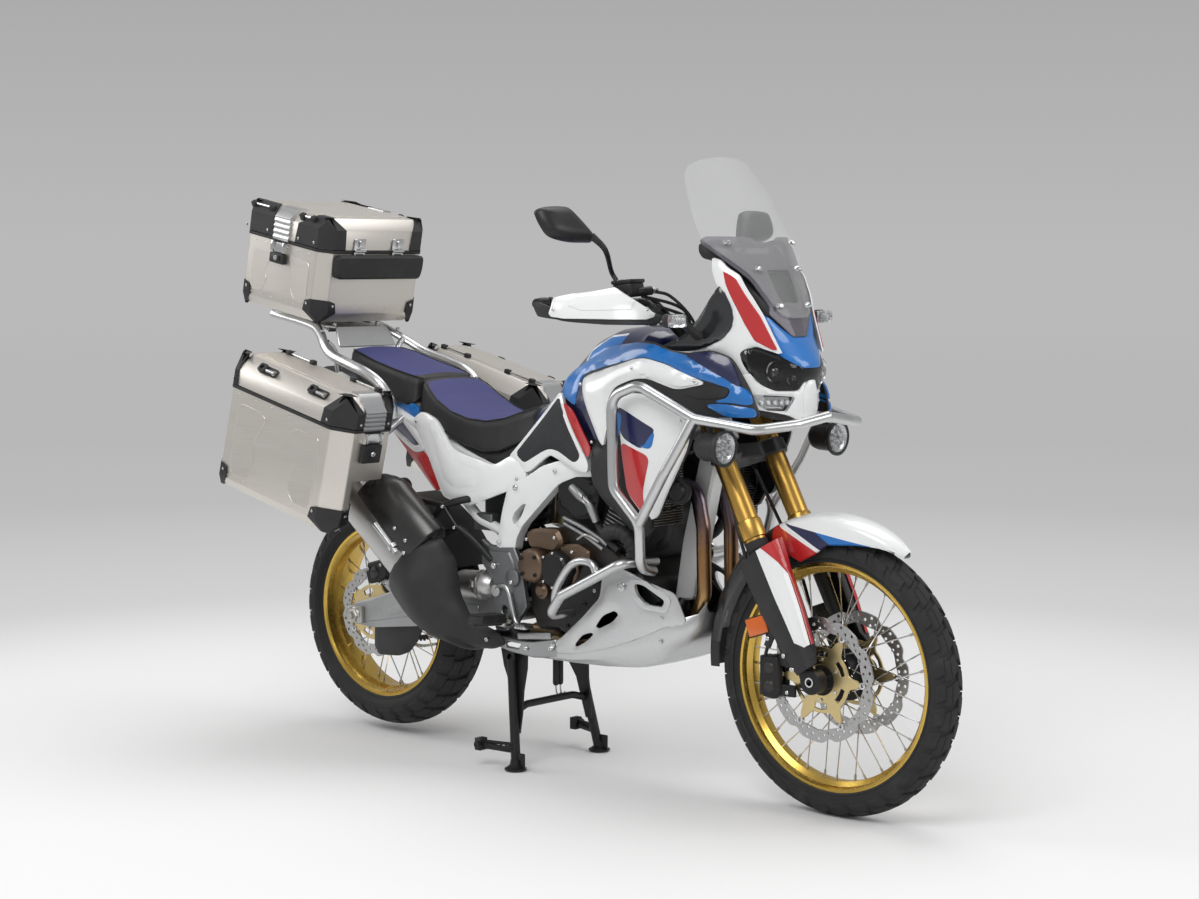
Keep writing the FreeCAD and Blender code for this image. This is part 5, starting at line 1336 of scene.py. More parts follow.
# look, outline, lift off the skin, wall, roll, edge, grain
fairingPanels = (
    ("black", "shell", -.008, .004, .01, .012, .018), ("white", "cowl", .001, .008, .006, .01, .014),
    ("white", "letterPlate", .0035, .006, .003, .005, .014),
    ("white", "barPanel", 0.0, .007, .005, .009, .016), ("white", "padBorder", 0.0, .01, .006, .008, .016),
    ("blue", "blueBand", -.001, .008, .006, .01, .014), ("blue", "blueLow", -.001, .008, .005, .008, .014),
    ("blue", "skyBlock", .0012, .0016, .0003, .002, .016),
    ("blue", "skyTall", .0012, .0016, .0003, .002, .016),
    ("navy", "navyFront", -.002, .006, .004, .008, .014),
    ("navy", "navyBlock", .001, .0016, .0003, .002, .016), ("navy", "navyGap", -.005, .004, .001, .002, .016),
    ("red", "redBlock", .001, .0016, .0003, .002, .016), ("red", "redStripe", .0016, .004, .002, .003, .016),
    ("kneePad", "pad", .003, .006, .003, .006, .014), ("black", "recess", -.004, .004, .001, .003, .016),
)
shroudDepths = [(.66, .8, .196), (.5, .68, .206), (.55, .8, .214), (.6, .9, .214), (.44, .7, .2),
    (.6, .73, .188), (.56, .95, .224)]
sideFairings = Piece("sideFairings", "black")
for look, key, lift, wall, roll, edge, grain in fairingPanels:
    sideFairings.use(look).panel(sideParts[key], raised(lift), wall, roll, edge, grain, side=-1)
sideFairings.use("black").panel(sideParts["shroud"], shroudDepths, .006, .02, .03, .02, side=-1)
sideFairings.bothSides()
sideFairings.make("chassis", "white_plastic", "side_fairings")
for back, height, side in ((.466, 1.1, .2505), (.29, 1.0735, .219), (.628, .905, .216), (.662, 1.052, .222),
        (.545, .975, .2475), (.318, .975, .236)):
    boltRow("dome", "chassis", [at(back, -side, height)], (.05, -1, .05), .009, .003, both=True)

# the tank: rounded sections from the steering head to the seat: behind, top, bottom, half width, squareness
tankStations = [
    (.478, 1.165, 1.125, .07, 2.6), (.49, 1.18, 1.11, .115, 2.6), (.515, 1.193, 1.09, .15, 2.8),
    (.535, 1.198, .96, .162, 2.8), (.58, 1.2, .87, .17, 3.0), (.64, 1.193, .866, .174, 3.0),
    (.69, 1.172, .864, .172, 3.0), (.74, 1.13, .862, .164, 2.9), (.79, 1.085, .862, .15, 2.8),
    (.84, 1.04, .862, .132, 2.7), (.89, 1.005, .862, .112, 2.6), (.93, .985, .864, .092, 2.6),
    (.958, .975, .87, .072, 2.5), (.966, .955, .89, .05, 2.4),
]


def roundSection(back, top, bottom, half, square, count=44):
    ring = []
    for index in range(count):
        angle = math.tau * index / count
        c, s = math.cos(angle), math.sin(angle)
        ring.append(at(back, half * math.copysign(abs(c) ** (2 / square), c),
            (top + bottom) / 2 + (top - bottom) / 2 * math.copysign(abs(s) ** (2 / square), s)))
    return ring


def thicker(stations, steps=4):
    table = np.array(stations)
    spots = np.linspace(0, len(table) - 1, (len(table) - 1) * steps + 1)
    return [tuple(np.interp(spot, range(len(table)), column) for column in table.T) for spot in spots]


# navy above, blue shoulders with a fine white edge, black below
def tankPaint(shade):
    shoulder = shade.y.size() - (shade.z * -.55 + .765)
    behindEdge = (shade.x * -1.0 + .262).over(0.0)
    band = shade.mix(shoulder.over(0.0) * behindEdge, tints["navy"], tints["blue"])
    piping = shoulder.size().under(.0024) * behindEdge
    return shade.mix(piping, band, tints["white"])


finish["tank"] = lacquer("tankPaint", tints["navy"], tankPaint)
fillerCap = at(.585, 0, 1.2)
tank = Piece("fuelTank", "tank")
tank.rings([roundSection(*station) for station in thicker(tankStations)])
tank.use("gloss")
tank.lathe([(0, .01), (.022, .01), (.026, .007), (.028, 0), (.032, -.002), (.032, -.012), (0, -.012)],
    fillerCap, (.02, 0, 1), 32)
tank.use("steel")
tank.lathe([(.0325, -.004), (.037, -.003), (.038, -.012), (.0325, -.012)], fillerCap, (.02, 0, 1), 32)
tank.make("chassis", "tank_paint", "fuel_tank")
boltRow("darkCap", "chassis", [fillerCap + Vector((-.0351 * math.cos(a), .0351 * math.sin(a), -.0015))
    for a in (.5, 1.55, 2.6, 3.65, 4.7, 5.75)], (0, 0, 1), .006, .003)

# under-seat side panels and tail
coverDepths = [(1.371, .922, .138), (1.329, .948, .142), (1.25, .9, .152), (1.2, .8, .16), (1.2, .72, .16),
    (1.12, .7, .162), (1.1, .8, .163), (.94, .77, .16), (.94, .83, .155), (.985, .843, .15), (1.04, .8, .164),
    (1.25, .74, .152), (1.32, .855, .142)]
sideCovers = Piece("sideCovers", "white")
sideCovers.panel([(1.329, .948), (1.269, .929), (1.247, .909), (1.199, .857), (1.166, .843), (1.033, .815),
    (.986, .843), (.955, .846), (.932, .831), (.915, .79), (.932, .767), (1.123, .7), (1.174, .704),
    (1.233, .718), (1.248, .738), (1.322, .855), (1.371, .922)], coverDepths, .008, .007, .012, .016,
    side=-1)
sideCovers.panel([(1.3, .925), (1.262, .905), (1.2, .845), (1.165, .82), (1.06, .79), (1.1, .752),
    (1.17, .742), (1.225, .765)], [(b, z, y + .0035) for b, z, y in coverDepths], .006, .004, .012, .016,
    side=-1)
tailDepths = [(1.43, .98, .118), (1.43, .86, .112), (1.34, .95, .132), (1.34, .85, .132), (1.27, .73, .14)]
sideCovers.use("blue")
sideCovers.panel([(1.56, 1.035), (1.423, .983), (1.339, .952), (1.371, .921), (1.412, .928), (1.5, .95),
    (1.6, .99)], tailDepths, .006, .005, .008, .018, side=-1)
sideCovers.use("navy")
sideCovers.panel([(1.6, .985), (1.5, .945), (1.424, .927), (1.378, .92), (1.33, .86), (1.374, .845),
    (1.428, .87), (1.56, .93)], raised(-.002, tailDepths), .006, .004, .008, .018, side=-1)
sideCovers.use("white")
sideCovers.panel([(1.52, .912), (1.428, .868), (1.374, .842), (1.336, .856), (1.32, .838), (1.367, .828),
    (1.432, .856), (1.52, .903)], raised(.0006, tailDepths), .005, .002, .004, .018, side=-1)
sideCovers.use("red")
sideCovers.panel([(1.49, .886), (1.428, .854), (1.367, .829), (1.322, .838), (1.3, .8), (1.246, .736),
    (1.277, .728), (1.356, .789)], raised(-.001, tailDepths), .006, .004, .008, .018, side=-1)
sideCovers.bothSides()
sideCovers.make("chassis", "white_plastic", "side_covers")
boltRow("dome", "chassis", [at(.945, -.16, .785), at(1.345, -.141, .918)], (0, -1, 0), .01, .003, both=True)
print("bodywork made")

# the nose by height: distance behind the front axle, and how fast it falls back with the side
noseLine = [(.95, .112, 4.5), (.985, .103, 4.5), (1.07, .096, 4.5), (1.108, .088, 4.4), (1.179, .128, 3.2),
    (1.255, .153, 2.2), (1.349, .2, 1.95), (1.412, .237, 1.9), (1.52, .302, 2.0), (1.628, .382, 2.2)]


def onNose(lift=0.0):
    table = np.array(noseLine)

    def rule(spots):
        side, height = spots[:, 0], spots[:, 1]
        base, swell = (np.interp(height, table[:, 0], table[:, column]) for column in (1, 2))
        return base + swell * side * side - lift

    return rule


def noseAt(side, height, lift=0.0):
    return at(float(onNose(lift)(np.array([(side, height)]))[0]), side, height)


def bothHalves(half):
    return list(half) + [(-side, height) for side, height in reversed(half)]


# the ear curves from the nose round to the side: (behind, height, side)
earDepths = [(.1, 1.14, .075), (.122, 1.14, .092), (.145, 1.19, .103), (.171, 1.235, .115), (.2, 1.05, .138),
    (.18, 1.02, .124), (.2, 1.15, .136), (.2, 1.28, .134), (.25, 1.17, .152), (.25, 1.34, .149),
    (.3, 1.15, .162), (.3, 1.37, .158), (.36, 1.14, .172), (.43, 1.15, .196)]
earParts = {
    "white": [(.292, 1.377), (.267, 1.37), (.252, 1.353), (.219, 1.333), (.206, 1.308), (.187, 1.277),
        (.167, 1.237), (.145, 1.19), (.121, 1.139), (.14, 1.146), (.173, 1.158), (.186, 1.157), (.197, 1.144),
        (.195, 1.126), (.184, 1.1), (.172, 1.078), (.162, 1.04), (.16, 1.008), (.183, 1.008), (.2, 1.049),
        (.234, 1.119), (.257, 1.141), (.306, 1.143), (.349, 1.133), (.382, 1.134), (.434, 1.148),
        (.432, 1.153), (.382, 1.145), (.349, 1.146), (.306, 1.155), (.258, 1.177), (.238, 1.202),
        (.233, 1.227), (.238, 1.252), (.254, 1.283), (.275, 1.308), (.289, 1.342)],
    "red": [(.257, 1.345), (.224, 1.325), (.211, 1.303), (.17, 1.234), (.129, 1.151), (.138, 1.151),
        (.178, 1.173), (.203, 1.215), (.223, 1.258), (.247, 1.308)],
    "deflector": [(.264, 1.311), (.248, 1.285), (.234, 1.255), (.229, 1.228), (.234, 1.202), (.254, 1.177),
        (.306, 1.152), (.349, 1.144), (.382, 1.144), (.428, 1.153), (.414, 1.158), (.363, 1.182),
        (.314, 1.234), (.29, 1.275)],
    "frame": [(.337, 1.413), (.312, 1.403), (.2, 1.291), (.166, 1.255), (.166, 1.228), (.19, 1.232),
        (.212, 1.275), (.245, 1.334), (.274, 1.352), (.298, 1.368), (.325, 1.374), (.337, 1.392)],
}

cowl = Piece("frontCowl", "white")
cowl.panel(earParts["white"], earDepths, .005, .005, .009, .011, side=-1, soft=.008)
cowl.use("red")
cowl.panel(earParts["red"], raised(.0016, earDepths), .003, .001, .002, .011, side=-1, soft=.004)
cowl.use("deflector")
cowl.panel(earParts["deflector"], raised(.004, earDepths), .004, .005, .012, .011, side=-1)
cowl.use("black")
frameDepths = [(.337, 1.4, .15), (.3, 1.37, .142), (.25, 1.31, .12), (.2, 1.26, .098), (.17, 1.24, .086),
    (.3, 1.4, .138), (.24, 1.33, .116)]
cowl.panel(earParts["frame"], frameDepths, .01, .003, .006, .011, side=-1)
cowl.bothSides()
cowl.use("white")
chin = bothHalves([(-.02, 1.072), (-.03, 1.064), (-.04, 1.05), (-.09, 1.05), (-.111, 1.061), (-.128, 1.076),
    (-.139, 1.096), (-.15, 1.085), (-.15, 1.05), (-.136, 1.008), (-.058, .99), (-.02, .974)])
holes = [[(side * y, z) for y, z in ((.131, 1.041), (.045, 1.035), (.062, 1.0), (.104, 1.002), (.122, 1.018))]
    for side in (-1, 1)]
cowl.panel(chin, onNose(.001), .006, .005, .007, .01, holes=holes, front=True, soft=.006)
tab = bothHalves([(-.012, 1.076), (-.024, 1.058), (-.026, 1.03), (-.018, .982), (-.008, .974)])
cowl.panel(tab, onNose(.008), .012, .005, .008, .008, front=True, soft=.006)
cowl.use("blue")
vee = bothHalves([(-.028, 1.181), (-.057, 1.203), (-.082, 1.228), (-.108, 1.24), (-.096, 1.195),
    (-.083, 1.143), (-.077, 1.133), (-.052, 1.115), (-.032, 1.106)])
cowl.panel(vee, onNose(.002), .006, .004, .008, .01, front=True, soft=.006)
cowl.use("black")
backing = bothHalves([(-.06, 1.385), (-.125, 1.385), (-.12, 1.28), (-.105, 1.2), (-.13, 1.15), (-.14, 1.08),
    (-.135, 1.01), (-.06, .975)])
cowl.panel(backing, onNose(-.03), .012, .004, .012, .018, front=True)
cowl.make("chassis", "white_plastic", "front_cowl")

# twin lamps in dark bowls behind one dark cover, two lower lamps with clear covers
lamps = Piece("headlamps", "gloss")
glass = bothHalves([(-.034, 1.105), (-.052, 1.114), (-.081, 1.134), (-.122, 1.156), (-.133, 1.157),
    (-.143, 1.147), (-.143, 1.125), (-.138, 1.1), (-.129, 1.079), (-.111, 1.062), (-.09, 1.051),
    (-.04, 1.051), (-.03, 1.065), (-.02, 1.073)])
lamps.panel([(y * .98, 1.1 + (z - 1.1) * .97) for y, z in glass], onNose(-.014), .014, .003, .008, .012,
    front=True)
for hand in (-1, 1):
    for y, z, wide in ((.094, 1.098, .027), (.052, 1.082, .02)):
        centre = noseAt(hand * y, z, -.01)
        ahead = Vector((1, hand * .35, 0))
        lamps.use("steel")
        lamps.lathe([(wide, .006), (wide * .96, .01), (wide * .9, .006), (wide * .5, -.004), (0, -.006)],
            centre, ahead, 32)
        lamps.use("gloss")
        lamps.lathe([(0, .012), (wide * .3, .011), (wide * .52, .005), (wide * .56, -.003), (0, -.004)],
            centre, ahead, 24)
    lamps.use("frosted")
    line = [noseAt(hand * y, z, -.006) for y, z in ((.136, 1.142), (.128, 1.15), (.104, 1.14), (.08, 1.126))]
    lamps.tube(line, .003, 4, 8)
    lamps.use("steel")
    hole = [(hand * y, z)
        for y, z in ((.129, 1.039), (.048, 1.033), (.063, 1.002), (.103, 1.004), (.12, 1.019))]
    lamps.panel(hole, onNose(-.012), .006, .004, .01, .01, front=True, soft=.004)
    lamps.use("frosted")
    for y in np.linspace(.062, .112, 5):
        spot = noseAt(hand * y, 1.0215, -.004)
        lamps.lathe([(0, .003), (.0052, .0022), (.0072, 0), (.0072, -.006), (0, -.006)], spot,
            (1, hand * .3, 0), 12)
lamps.make("chassis", "lamp_glass", "headlamp")
cover = Piece("lampCovers", "darkGlass")
cover.panel(glass, onNose(.0015), .0022, .002, .005, .01, front=True, soft=.006)
cover.use("lens")
for hand in (-1, 1):
    hole = [(hand * y, z)
        for y, z in ((.13, 1.04), (.046, 1.034), (.062, 1.001), (.104, 1.003), (.121, 1.0185))]
    cover.panel(hole, onNose(-.0005), .002, .001, .004, .01, front=True, soft=.004)
cover.make("chassis")

# the tall clear screen with its smoked lower visor
screenPlan = {"lift": .012, "wall": .0036, "visorLift": .002, "visorWall": .004}
screen = Piece("windscreen", "clear")
tall = bothHalves([(0.0, 1.629), (-.045, 1.626), (-.084, 1.62), (-.125, 1.606), (-.148, 1.58), (-.164, 1.54),
    (-.176, 1.495), (-.183, 1.45), (-.184, 1.418), (-.155, 1.385), (-.104, 1.33), (-.074, 1.262),
    (-.06, 1.236), (-.03, 1.228)])
screen.panel(tall, onNose(screenPlan["lift"]), screenPlan["wall"], 0.0, .004, .016, front=True, soft=.012)
screen.use("smoked")
visor = bothHalves([(-.033, 1.414), (-.05, 1.424), (-.066, 1.427), (-.12, 1.428), (-.167, 1.428),
    (-.185, 1.414), (-.15, 1.372), (-.102, 1.318), (-.078, 1.256), (-.084, 1.238), (-.06, 1.214),
    (-.029, 1.182)])
gap = bothHalves([(-.046, 1.346), (-.044, 1.31), (-.04, 1.274), (-.033, 1.265)])
screen.panel(visor, onNose(screenPlan["visorLift"]), screenPlan["visorWall"], .001, .004, .012, front=True,
    holes=[gap], soft=.008)
screen.make("chassis", "screen", "windscreen")
for side, height in ((.133, 1.411), (.082, 1.347), (.06, 1.256)):
    for hand in (-1, 1):
        ahead = Vector((1, hand * .7 * side / .13, .45))
        bolt("cap", "chassis", noseAt(hand * side, height, .015), ahead, .0125, .005)
        bolt("dome", "chassis", noseAt(hand * side, height, .003), ahead, .016, .013)

# rails that carry the screen, and the display behind it
stay = Piece("screenStay", "satin")
for hand in (-1, 1):
    stay.tube([noseAt(hand * .06, 1.235, -.016), noseAt(hand * .085, 1.34, -.018),
        noseAt(hand * .118, 1.41, -.018), at(.345, hand * .12, 1.405)], .007, 5, 10)
    stay.tube([noseAt(hand * .085, 1.34, -.018), at(.275, hand * .1, 1.31), at(.3, hand * .125, 1.24),
        at(.33, hand * .14, 1.17)], .007, 5, 10)
stay.tube([noseAt(-.085, 1.34, -.018), noseAt(.085, 1.34, -.018)], .006, 2, 10)
stay.tube([at(.345, -.12, 1.405), at(.345, .12, 1.405)], .006, 2, 10)
stay.make("chassis")
displayPlan = {"place": at(.288, 0, 1.328), "tilt": 62, "case": (.096, .172, .022), "glass": (.08, .15, .004)}
display = Piece("instrumentPanel", "black")
tiltBack = Matrix.Translation(displayPlan["place"]) @ spun(-displayPlan["tilt"], "Y")
display.block(displayPlan["case"], tiltBack, .008, 3)
display.use("gloss")
display.block(displayPlan["glass"], tiltBack @ shift(0.0, 0, .0115), .003)
display.use("grey")
for place in (-.078, .078):
    for step in (-.024, 0, .024):
        display.block((.014, .008, .006), tiltBack @ shift(step, place, .012), .002)
display.make("chassis", "display", "instrument_panel")

# turn signals: ribbed stalks with clear capsules; red ones' twins sit at the tail
signals = Piece("turnSignals", "black")
shells = Piece("signalLenses", "lens")
for place, reach, ahead in ((at(.286, .299, 1.223), (.1, -.115, -.04), 1),
        (at(1.775, .17, 1.016), (.1, -.09, .004), -1)):
    inner = place + Vector((-.02 * ahead, reach[1], reach[2]))
    signals.use("softRubber")
    signals.tube([inner, place + Vector((-.006, -.03, -.004))], [.014, .0135, .012, .0135, .011, .0125, .01],
        12, 12, flat=.85)
    signals.use("black")
    where = facing(place, (ahead, .12, 0))
    signals.block((.058, .034, .024), where @ shift(0, 0, -.01), .01, 3)
    signals.use("steel")
    signals.block((.05, .027, .004), where @ shift(0, 0, .003), .0018)
    signals.use("frosted")
    signals.lathe([(0, .013), (.005, .011), (.0065, .006), (.0065, 0), (0, 0)], where @ Vector((0, 0, .004)),
        (ahead, .12, 0), 14)
    shells.block((.056, .032, .026), where @ shift(0, 0, .01), .011, 4)
signals.bothSides()
signals.make("chassis", "black_plastic", "turn_signals")
shells.bothSides()
shells.make("chassis")

# fog lamps on the crash bars: ribbed black bodies with clear fronts
fogs = Piece("fogLamps", "black")
fogGlass = Piece("fogGlass", "lens")
fogPlace, fogAim = at(.19, .234, .915), (1, 0, -.03)
fogs.lathe([(0, -.07), (.022, -.07), (.032, -.06), (.036, -.046), (.0365, -.01), (.0375, -.004), (.044, .002),
    (.0465, .006), (.0465, .012), (.043, .0135), (.0405, .012), (.039, .004), (0, .002)], fogPlace,
    fogAim, 48)
fogs.use("steel")
fogs.lathe([(.0385, .008), (.036, .0045), (.03, .001), (0, -.001)], fogPlace + Vector((.0035, 0, 0)),
    fogAim, 32)
fogs.use("frosted")
for ring, count in ((.012, 5), (.025, 10)):  # rings of beads behind the glass
    for k in range(count):
        angle = math.tau * k / count
        spot = fogPlace + Vector((.006, ring * math.cos(angle), ring * math.sin(angle)))
        fogs.lathe([(0, .004), (.0042, .003), (.0056, 0), (.0056, -.003), (0, -.003)], spot, (1, 0, 0), 10)
fogs.use("satin")
fogs.tube([fogPlace + Vector((-.036, 0, .03)), fogPlace + Vector((-.036, 0, .052)),
    fogPlace + Vector((-.022, -.004, .062))], .009, 4, 10)
fogs.bothSides()
fogs.make("chassis", "black_plastic", "fog_lamps")
fogGlass.lathe([(0, .0175), (.02, .0165), (.034, .0135), (.0402, .0105), (.0402, .0085), (.034, .0112),
    (.02, .0145), (0, .0155)], fogPlace, fogAim, 48)
fogGlass.bothSides()
fogGlass.make("chassis")
boltRow("cap", "chassis", [fogPlace + Vector((-.036, -.01, .056))], (0, -1, 0), .01, .005, both=True)
print("front made")

# both seats: rounded sections, filled out by a short cloth run, then edged with piping
seatShapes = {
    # behind, top, half width at the top, low edge, half width below, crown
    "pillionSeat": [(1.362, 1.036, .062, .985, .1, .004), (1.371, 1.044, .092, .965, .122, .006),
                    (1.4, 1.054, .104, .962, .13, .008), (1.46, 1.068, .108, .97, .132, .008),
                    (1.54, 1.088, .106, .99, .13, .008), (1.6, 1.105, .1, 1.025, .124, .007),
                    (1.645, 1.114, .088, 1.045, .112, .006), (1.668, 1.112, .07, 1.06, .092, .004),
                    (1.676, 1.1, .05, 1.07, .07, .002)],
    "riderSeat": [(.962, .975, .02, .925, .055, .004), (.975, .978, .034, .895, .075, .006),
                  (1.0, .968, .056, .87, .096, .007), (1.05, .948, .085, .848, .122, .008),
                  (1.1, .94, .108, .846, .136, .009), (1.16, .946, .122, .86, .14, .01),
                  (1.22, .963, .128, .882, .14, .01), (1.28, .994, .124, .908, .136, .01),
                  (1.32, 1.022, .114, .93, .13, .008), (1.348, 1.038, .1, .95, .12, .006),
                  (1.36, 1.036, .08, .965, .104, .003)],
}


# shares of the outline taken by the top, shoulder and side; bulge and drop of the shoulder
seatForm = {"top": .45, "shoulder": .27, "shoulderEnd": .72, "side": .28, "bulge": .62, "drop": .026}
# the short cloth run that draws the cover tight
coverCloth = {"voxel": .0055, "heldDepth": .1, "leastHold": .35, "stiffness": 25, "bending": 1.2,
    "pressure": 4.0, "frames": 20, "most": .006}


def shoulder(half, wide, s):
    return half + (wide - half) * seatForm["bulge"] * math.sin(s * math.pi / 2)


def shoulderTop(top, crown, s):
    return top - crown - seatForm["drop"] * (1 - math.cos(s * math.pi / 2))


def seatSection(back, top, half, low, wide, crown, count=12):
    right = []
    # from the centre of the top over the shoulder and down to the lower edge
    for index in range(count + 1):
        t = index / count
        if t < seatForm["top"]:
            s = t / seatForm["top"]
            y, z = half * s, top - crown * s * s
        elif t < seatForm["shoulderEnd"]:
            s = (t - seatForm["top"]) / seatForm["shoulder"]
            y, z = shoulder(half, wide, s), shoulderTop(top, crown, s)
        else:
            s = (t - seatForm["shoulderEnd"]) / seatForm["side"]
            y = half + (wide - half) * (seatForm["bulge"] + .38 * s)
            z = (top - crown - seatForm["drop"]) * (1 - s) + low * s
        right.append((y, z))
    left = [(-y, z) for y, z in right[1:]]
    base = [(wide * .55, low - .002), (-wide * .55, low - .002)]
    return [at(back, y, z) for y, z in right + base + left[::-1]]


# the vinyl boundary runs a little inside the shoulder
def seatEdge(stations, back):
    table = np.array(stations)
    return float(np.interp(back, table[:, 0], table[:, 2])) + .002


def seatPaint(stations):
    behinds = np.linspace(stations[0][0], stations[-1][0], 10)
    low, high = frontHub.x - behinds[-1], frontHub.x - behinds[0]

    def paint(shade):
        where = (shade.x - low) / (high - low)
        stops = [((frontHub.x - back - low) / (high - low), (seatEdge(stations, back) * 4,) * 3)
            for back in reversed(behinds)]
        edge = Value(shade,
            shade.node("ShaderNodeValToRGB", {"stops": stops}, {0: where}, whole=True).outputs[0]) * .25
        ends = (shade.x - (low + .022)).over(0.0) * ((high - .02) - shade.x).over(0.0)
        sides = (edge - shade.y.size()).over(0.0) * ends
        table = np.array(stations)
        slope = np.polyfit(frontHub.x - table[:, 0], table[:, 1], 3)
        top = ((shade.x * float(slope[0]) + float(slope[1])) * shade.x + float(slope[2])) * shade.x + float(
            slope[3])
        return sides * (shade.z - top).over(-.034)
    return paint


def vinyl(name, stations):
    shade = Shade(name, IOR=1.47)
    inside = seatPaint(stations)(shade)
    cloud, fine = shade.noise(9.0, 5.0), shade.noise(330.0, 3.0)
    top = shade.mix(cloud.blur(.3, .8) * .35, tints["vinylTop"], (.05, .05, .21))
    side = shade.mix(cloud.blur(.3, .8) * .35, (.011, .011, .012), (.028, .028, .03))
    shade.set(Base_Color=shade.mix(inside, side, top), Roughness=inside * .14 + cloud * .12 + .44)
    shade.bump(shade.cells(560.0) * .6 + fine * .5, .00016, .6)
    return shade.material


def makeSeat(name, nodeName):
    stations = thicker(seatShapes[name], 4)
    seat = Piece(name, vinyl(name + "Vinyl", seatShapes[name]))
    seat.rings([seatSection(*station) for station in stations])
    piece = seat.make(crease=60)
    blow(piece)
    smooth = piece.modifiers.new("smooth", "SUBSURF")
    smooth.levels = smooth.render_levels = 1
    settle(piece, "chassis", nodeName)


# a light cloth run fills the cover out and draws it tight over the foam
def blow(piece):
    scene = bpy.context.scene
    remesh = piece.modifiers.new("even", "REMESH")
    remesh.mode, remesh.voxel_size = "VOXEL", coverCloth["voxel"]
    evened = bpy.data.meshes.new_from_object(piece.evaluated_get(bpy.context.evaluated_depsgraph_get()))
    piece.modifiers.clear()
    cover = piece.data.materials[0]
    piece.data = evened
    piece.data.materials.clear()
    piece.data.materials.append(cover)
    held = piece.vertex_groups.new(name="held")
    low = min(vert.co.z for vert in evened.vertices)
    for vert in evened.vertices:
        weight = max(0.0, min(1.0, 1.0 - (vert.co.z - low) / coverCloth["heldDepth"]))
        held.add([vert.index], max(coverCloth["leastHold"], weight), "REPLACE")
    cloth = piece.modifiers.new("cloth", "CLOTH")
    cloth.settings.quality, cloth.settings.mass = 4, .3
    cloth.settings.tension_stiffness = cloth.settings.compression_stiffness = coverCloth["stiffness"]
    cloth.settings.bending_stiffness = coverCloth["bending"]
    cloth.settings.use_pressure, cloth.settings.uniform_pressure_force = True, coverCloth["pressure"]
    cloth.settings.effector_weights.gravity = 0.0
    cloth.settings.vertex_group_mass, cloth.settings.pin_stiffness = "held", .8
    cloth.point_cache.frame_start, cloth.point_cache.frame_end = 1, coverCloth["frames"]
    before = [vert.co.copy() for vert in evened.vertices]
    for step in range(1, coverCloth["frames"] + 1):
        scene.frame_set(step)
    filled = bpy.data.meshes.new_from_object(piece.evaluated_get(bpy.context.evaluated_depsgraph_get()))
    piece.modifiers.clear()
    most = coverCloth["most"]
    for vert, old in zip(filled.vertices, before):
        move = vert.co - old
        if move.length > most:
            vert.co = old + move * (most / move.length)
    piece.data = filled
    filled.shade_smooth()
    scene.frame_set(1)


def seatPiping():
    piping = Piece("seatPiping", "softRubber")
    for name, stations in seatShapes.items():
        for hand in (-1, 1):
            upper = [at(back, hand * (shoulder(half, wide, .25) + .0005),
                shoulderTop(top, crown, .25) + .0012)
                for back, top, half, low, wide, crown in thicker(stations, 3)[2:-2]]
            piping.tube(upper, .0016, 2, 6)
            lower = [at(row[0], hand * (row[4] + .0006), row[3] + .006) for row in thicker(stations, 3)[1:-1]]
            piping.tube(lower, .0018, 2, 6)
    # the plastic pan under the seats
    piping.use("black")
    piping.panel([(1.3, .925), (1.235, .895), (1.19, .862), (1.068, .812), (1.04, .806), (.985, .846),
        (.968, .9), (1.01, .9), (1.06, .862), (1.12, .862), (1.2, .885), (1.29, .935)],
        [(1.3, .92, .124), (1.2, .88, .13), (1.07, .82, .124), (.98, .86, .088), (.97, .9, .07)], .012, .006,
        .01, .02, side=-1)
    piping.bothSides()
    piping.make("chassis")


for seatName, seatNode in (("pillionSeat", "pillion_seat"), ("riderSeat", "rider_seat")):
    makeSeat(seatName, seatNode)
seatPiping()
print("seats made")


# plates that lie in the side view, from an inner to an outer distance, on one side or both
def sidePlate(piece, outline, inner, outer, hand=-1, edge=.003, soft=.008, holes=()):
    low, high = sorted((hand * inner, hand * outer))
    return piece.plate(roundCorners(outline, soft, 4), high - low, sideways(low),
        [roundCorners(hole, .005, 3) for hole in holes], edge=edge)


def sideTurned(piece, profile, behind, height, side, hand=-1, steps=36):
    return piece.lathe(profile, at(behind, hand * side, height), (0, hand, 0), steps)


# white frame: spars from the steering head to the pivots, a square downtube, grey pivot plates
spar = [(.905, .794), (.85, .826), (.796, .842), (.7, .872), (.56, .95), (.452, 1.03), (.405, 1.04),
    (.372, 1.0), (.392, .955), (.47, .915), (.58, .845), (.688, .806), (.74, .804), (.796, .782),
    (.871, .712), (.923, .662), (.946, .624), (.952, .592), (1.016, .59), (.993, .691), (.968, .769)]
sparDepths = [(.39, 1.0, .05), (.45, .97, .068), (.56, .89, .11), (.69, .83, .15), (.8, .81, .164),
    (.9, .75, .167), (.95, .66, .168), (1.0, .6, .168)]
mainFrame = Piece("mainFrame", "frameWhite")
mainFrame.panel(spar, sparDepths, .03, .006, .01, .018, side=-1, soft=.01,
    holes=[[(.958, .678), (.951, .694), (.923, .719), (.907, .722), (.93, .68), (.953, .66)]])
mainFrame.use("plate")
sidePlate(mainFrame, [(1.072, .617), (1.044, .6), (.951, .602), (.93, .562), (.915, .5), (.905, .446),
    (.94, .4), (.985, .372), (1.02, .372), (1.03, .44), (1.029, .502), (1.058, .535), (1.072, .55)], .146,
    .164, holes=[circlePoints((.985, .43), .011, 10)])
sidePlate(mainFrame, [(1.045, .588), (.965, .59), (.948, .56), (.934, .506), (.96, .47), (1.008, .488),
    (1.016, .52), (1.046, .545)], .16, .169, edge=.004)
sideTurned(mainFrame, [(0, .012), (.02, .012), (.024, .009), (.026, 0), (.026, -.02), (0, -.02)], .951, .52,
    .162)
mainFrame.bothSides()
mainFrame.use("frameWhite")
